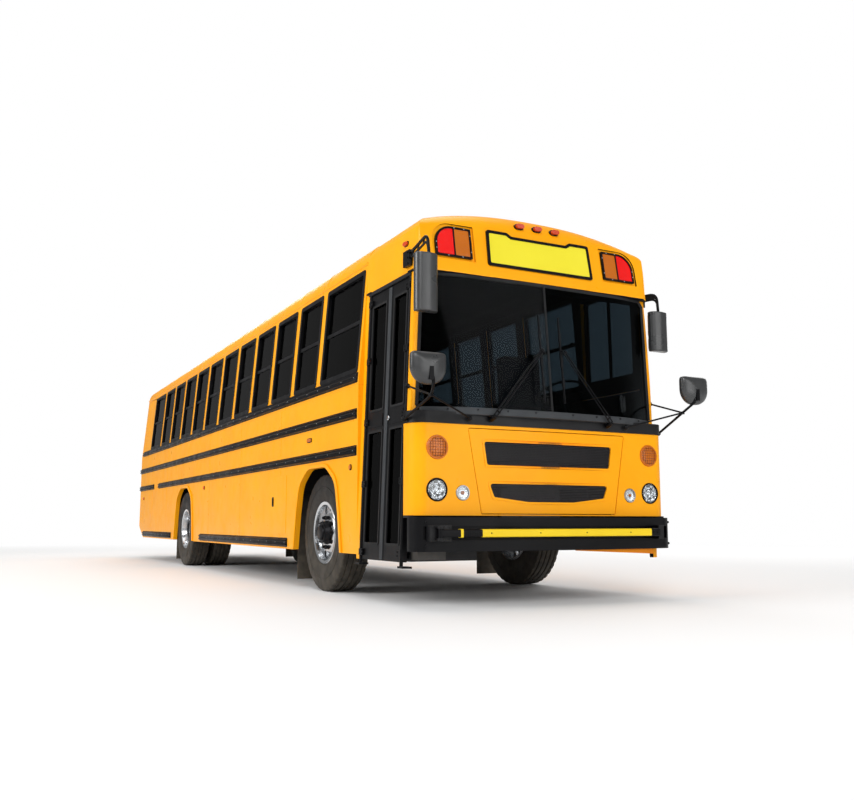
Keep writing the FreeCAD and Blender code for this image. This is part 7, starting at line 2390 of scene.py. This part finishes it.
    def _bumper(self) -> None:
        """Black rear bumper with rolled ends."""
        y0, y1 = 11302.0, 11392.0
        plan = eased([(-1180, y0), (1180, y0), (1180, y1, 60.0), (-1180, y1, 60.0)], 8.0)
        bumper = Solid().prism(Plane.XY, plan, 520.0, 760.0)
        for z in (580.0, 700.0):
            bumper.box((-1100.0, 1100.0), (y1 - 2, y1), about(z, 8))
        for side in (-1, 1):
            for z in (600.0, 680.0):
                bumper.dome((side * 392.0, y1 - 1, z), (0, 1, 0), 14.0, 1.0, 16)
        bumper.piece("rear_bumper_channel", [BLACK], ["rear_bumper"], bevel=8.0)


@dataclass(frozen=True)
class SideLamps:
    """Turn signals, markers and reflectors low on the sides."""

    lamps: tuple = ((2060.0, 1420.0, 62.0, 0), (1010.0, 1105.0, 26.0, 1), (6300.0, 1105.0, 26.0, 2),
                    (10900.0, 1060.0, 26.0, 2))

    def build(self) -> None:
        """Builds the lamps on both sides."""
        for name, side in SIDES.items():
            work = Solid()
            x = COACH.half_w
            for y, z, half, kind in self.lamps:
                work.finish = 0
                low = 21.0 if half > 30 else half
                spans = about(y, half), about(z, low)
                work.prism(Plane.YZ, rounded(*spans, low - 3), x - 2, x + 7)
                work.finish = 2 if kind == 2 else 1
                work.prism(Plane.YZ, rounded(*spans, low - 8, -6), x + 6, x + 13)
            if side < 0:
                work.mirror()
            work.piece("side_lamps_" + name, [BLACK, AMBER, RED], bevel=2.0)


# ---------------------------------------------------------------- inside
@dataclass(frozen=True)
class Cabin:
    """Seats and steering wheel."""

    rows: int = 11
    first_y: float = 2640.0
    pitch: float = 768.0
    seat_x: tuple = (185.0, 1150.0)
    floor_z: float = 1000.0
    wheel: tuple = (640.0, 514.0, 1793.0)
    column_foot: tuple = (640.0, 130.0, 1010.0)
    column_top: tuple = (640.0, 391.0, 1542.0)

    def build(self) -> None:
        """Builds the seats and the steering wheel."""
        for name, side in SIDES.items():
            for row in range(self.rows):
                self._bench(f"{name}_{row + 1:02d}", side, self.first_y + row * self.pitch)
        self._frames()
        self._driver_seat()
        self._steering_wheel()

    def _pad(self, name: str, x: tuple, outline: Outline) -> None:
        """One upholstered pad, crowned between its piped edges.

        Args:
            name: Name of the piece.
            x: Its two ends across the bus.
            outline: Its section in Y and Z.
        """
        path = eased(outline, 18.0)
        middle = Vector((sum(p[0] for p in path) / len(path), sum(p[1] for p in path) / len(path)))
        steps = 14
        corners = []
        for k in range(steps + 1):
            t = k / steps
            edge = 4 * t * (1 - t)
            size = 0.93 + 0.07 * min(1.0, edge * 2.2)
            at = x[0] + (x[1] - x[0]) * t
            # three sewn channels run down the pad
            sewn = 1.0 - (0.018 if k in (4, 7, 10) else 0.0)
            corners += [(at, middle.x + (a - middle.x) * size * sewn, middle.y + (b - middle.y) * size * sewn)
                        for a, b in path]
        form = Solid().add(corners, caps(steps + 1, len(path)) + bands(steps + 1, len(path)))
        pad = form.piece(name, [VINYL], bevel=12.0, angle=50.0)

    def _bench(self, name: str, side: int, y: float) -> None:
        """Cushion and high back of one bench."""
        x = spread(side, *self.seat_x)
        z = self.floor_z + 330
        self._pad("bench_cushion_" + name, x,
                  [(y, z + 5, 30), (y + 398, z + 5, 10), (y + 398, z + 110, 30), (y, z + 110, 45)])
        back = [(y + 402, z, 8), (y + 458, z, 12), (y + 518, z + 708, 26), (y + 454, z + 708, 26),
                (y + 402, z + 118, 20)]
        self._pad("bench_back_" + name, x, back)

    def _frames(self) -> None:
        """Steel legs of all the benches and the driver's pedestal."""
        legs = Solid()
        middle = sum(self.seat_x) / 2
        for side in (-1, 1):
            for row in range(self.rows):
                y = self.first_y + row * self.pitch
                for x in about(middle, 150):
                    path = [(side * x, y + 156, self.floor_z + 6), (side * x, y + 156, self.floor_z + 326),
                            (side * x, y + 294, self.floor_z + 326), (side * x, y + 294, self.floor_z + 6)]
                    legs.tube(bent(path, 40.0, 30.0), 11.0, 10)
        legs.prism(Plane.XY, rounded((490.0, 790.0), (700.0, 1060.0), 30.0), self.floor_z, self.floor_z + 388)
        legs.piece("seat_frames", [BLACK], ["seats"])

    def _driver_seat(self) -> None:
        """Driver's seat with bolstered cushion and back."""
        z = self.floor_z
        self._pad("driver_cushion", (390.0, 890.0),
                  [(642, z + 392, 30), (1118, z + 392, 30), (1118, z + 520, 40), (642, z + 520, 50)])
        back = [(1122, z + 432, 20), (1198, z + 432, 30), (1278, z + 1258, 36), (1172, z + 1258, 36)]
        self._pad("driver_back", (412.0, 868.0), back)

    def _steering_wheel(self) -> None:
        """Moulded rim, four spokes and a horn pad."""
        centre = Vector(self.wheel)
        axis = (centre - Vector(self.column_foot)).normalized()
        side = Vector((1, 0, 0))
        up = axis.cross(side)
        wheel = Solid()
        section = [(11 * math.sin(t), 225 + 11 * math.cos(t)) for t in [2 * math.pi * k / 14 for k in range(14)]]
        wheel.lathe(section, tuple(centre), tuple(axis), 72)
        wheel.lathe([(-20, 0), (-20, 16), (-14, 16), (-14, 44), (8, 46), (16, 40), (19, 20), (19, 0)], tuple(centre),
                    tuple(axis), 36)
        for angle in (20, 160, 200, 340):
            way = side * math.cos(math.radians(angle)) + up * math.sin(math.radians(angle))
            wheel.sweep([centre + way * 38, centre + way * 130, centre + way * 222],
                        [(-12, -6), (12, -6), (10, 5), (-10, 5)], up=tuple(axis))
        wheel.tube([Vector(self.column_top), centre - axis * 14], 19.0, 20)
        wheel.piece("steering_rim", [ABS], ["steering_wheel"], body="steering", bevel=2.0)


def dress_cad() -> None:
    """Gives every part of the frame that still shows the finish of its own material."""
    by_slot = {finish.slot: finish for finish in (
        YELLOW, ROOF_YELLOW, BLACK, CHASSIS, ABS, SIDE_GLASS, WHITE_LENS, AMBER, RED, TYRE, FLAP, ALLOY, IRON, VINYL,
        FLOORING, SHEETING, ARM_YELLOW, SIGN_RED, TANK, BOX_GREY, ENGINE)}
    for part in frame["record"]["subparts"]:
        name = part["node"]
        # the exhaust shares the fuel tank's slot, but it is bare steel
        finish = STEEL if name == "exhaust" else by_slot[part["material_slot"]]
        shape = bpy.data.objects[name]
        if not shape.material_slots:
            raise ValueError(name + " has no material slot")
        for slot in shape.material_slots:
            slot.material = finish.material()


# ---------------------------------------------------------------- studio
@dataclass(frozen=True)
class Studio:
    """Pale floor, soft lights and the camera, in metres."""

    eye: tuple = (-4.200, -11.659, 0.635)
    turn: tuple = (97.68, 0.0, -27.1)
    lens: float = 38.21
    lamps: tuple = (
        ("key", (-9.0, -21.0, 13.0), (0.0, -3.0, 1.4), 9.0, 1720.0),
        ("front_fill", (5.0, -22.0, 6.0), (0.0, -5.0, 1.4), 11.0, 900.0),
        ("near_side", (-18.0, -2.0, 9.0), (0.0, 0.0, 1.4), 9.0, 2000.0),
        ("top", (0.0, 1.0, 16.0), (0.0, 0.5, 1.0), 13.0, 1000.0),
        ("far_side", (16.0, 4.0, 9.0), (0.0, 0.0, 1.4), 10.0, 900.0),
        ("rear", (5.0, 20.0, 9.0), (0.0, 2.0, 1.4), 9.0, 900.0),
    )

    def build(self) -> None:
        """Sets the floor, lights, world and camera."""
        self._view()
        self._floor()
        self._world()
        for lamp in self.lamps:
            self._area(*lamp)

    def _view(self) -> None:
        """Sets the camera and the plain view transform."""
        scene = bpy.context.scene
        scene.view_settings.view_transform = "Standard"
        data = bpy.data.cameras.new("camera")
        data.sensor_width = 36.0
        data.lens = self.lens
        data.clip_end = 200.0
        camera = bpy.data.objects.new("camera", data)
        camera.location = self.eye
        camera.rotation_euler = [math.radians(t) for t in self.turn]
        scene.collection.objects.link(camera)
        scene.camera = camera

    def _floor(self) -> None:
        """Wide pale floor with a fine matt grain."""
        mesh = bmesh.new()
        reach = 90.0
        corners = [mesh.verts.new(p)
                   for p in ((-reach, -reach, 0), (reach, -reach, 0), (reach, reach, 0), (-reach, reach, 0))]
        mesh.faces.new(corners)
        data = bpy.data.meshes.new("studio_floor")
        mesh.to_mesh(data)
        mesh.free()
        material, tree, where = start_material("matt_studio_paper")
        grain = add_node(tree, "TexNoise", {"Vector": where}, Scale=40.0, Detail=4.0)
        bump = add_node(tree, "Bump", {"Height": grain.outputs[0]}, Strength=0.02, Distance=0.002)
        paper = add_node(tree, "BsdfPrincipled", {"Normal": bump.outputs[0]}, Base_Color=linear("#F6F6F6"),
                         Roughness=0.9)
        # beyond the bus's shadow the paper fades into the white backdrop
        far = add_node(tree, "VectorMath", {"Vector": where}, operation="LENGTH").outputs["Value"]
        fade = add_node(tree, "MapRange", {"Value": far}, From_Min=10.0, From_Max=16.0).outputs[0]
        ray = add_node(tree, "LightPath")
        seen = add_node(tree, "Math", {0: ray.outputs["Is Camera Ray"], 1: ray.outputs["Is Glossy Ray"]},
                        operation="MAXIMUM")
        shown = add_node(tree, "Math", {0: seen.outputs[0], 1: ray.outputs["Is Transmission Ray"]}, operation="MAXIMUM")
        share = add_node(tree, "Math", {0: fade, 1: shown.outputs[0]}, operation="MULTIPLY")
        white = add_node(tree, "Emission", Color=WHITE)
        mixed = add_node(tree, "MixShader", {0: share.outputs[0], 1: paper.outputs[0], 2: white.outputs[0]})
        add_node(tree, "OutputMaterial", {"Surface": mixed.outputs[0]})
        data.materials.append(material)
        floor = bpy.data.objects.new("studio_floor", data)
        bpy.context.scene.collection.objects.link(floor)

    def _world(self) -> None:
        """White surroundings to the eye and in reflections, with a modest even light on the bus."""
        world = bpy.data.worlds.new("studio")
        world.use_nodes = True
        tree = world.node_tree
        tree.nodes.clear()
        ray = add_node(tree, "LightPath")
        seen = add_node(tree, "Math", {0: ray.outputs["Is Camera Ray"], 1: ray.outputs["Is Transmission Ray"]},
                        operation="MAXIMUM")
        lit = add_node(tree, "Background", Color=WHITE, Strength=0.3)
        white = add_node(tree, "Background", Color=WHITE, Strength=1.0)
        mixed = add_node(tree, "MixShader", {0: seen.outputs[0], 1: lit.outputs[0], 2: white.outputs[0]})
        add_node(tree, "OutputWorld", {"Surface": mixed.outputs[0]})
        bpy.context.scene.world = world

    def _area(self, name: str, at: tuple, towards: tuple, size: float, power: float) -> None:
        """Soft square lamp.

        Args:
            name: Name of the lamp.
            at: Its place.
            towards: Point that it faces.
            size: Length of its side.
            power: Power in watts.
        """
        data = bpy.data.lights.new(name, "AREA")
        data.size = size
        data.energy = power
        lamp = bpy.data.objects.new(name, data)
        lamp.location = at
        lamp.rotation_euler = (Vector(towards) - Vector(at)).to_track_quat("-Z", "Y").to_euler()
        bpy.context.scene.collection.objects.link(lamp)


def main() -> None:
    """Builds every sub-assembly in order, then the studio."""
    logging.basicConfig(level=logging.INFO, format="%(name)s: %(message)s")
    for name in SIDES:
        BodySide(name).build()
        WindowBand(name).build()
    Roof().build()
    CAP.build()
    SCREEN.build()
    NOSE.build()
    FrontLamps().build()
    Entrance().build()
    FrontBumper().build()
    CrossingGate().build()
    StopSign().build()
    CrossviewMirrors().build()
    SideMirrors().build()
    Wipers().build()
    RoadWheels().build()
    RearEnd().build()
    SideLamps().build()
    Cabin().build()
    dress_cad()
    Studio().build()


if __name__ == "__main__":
    main()
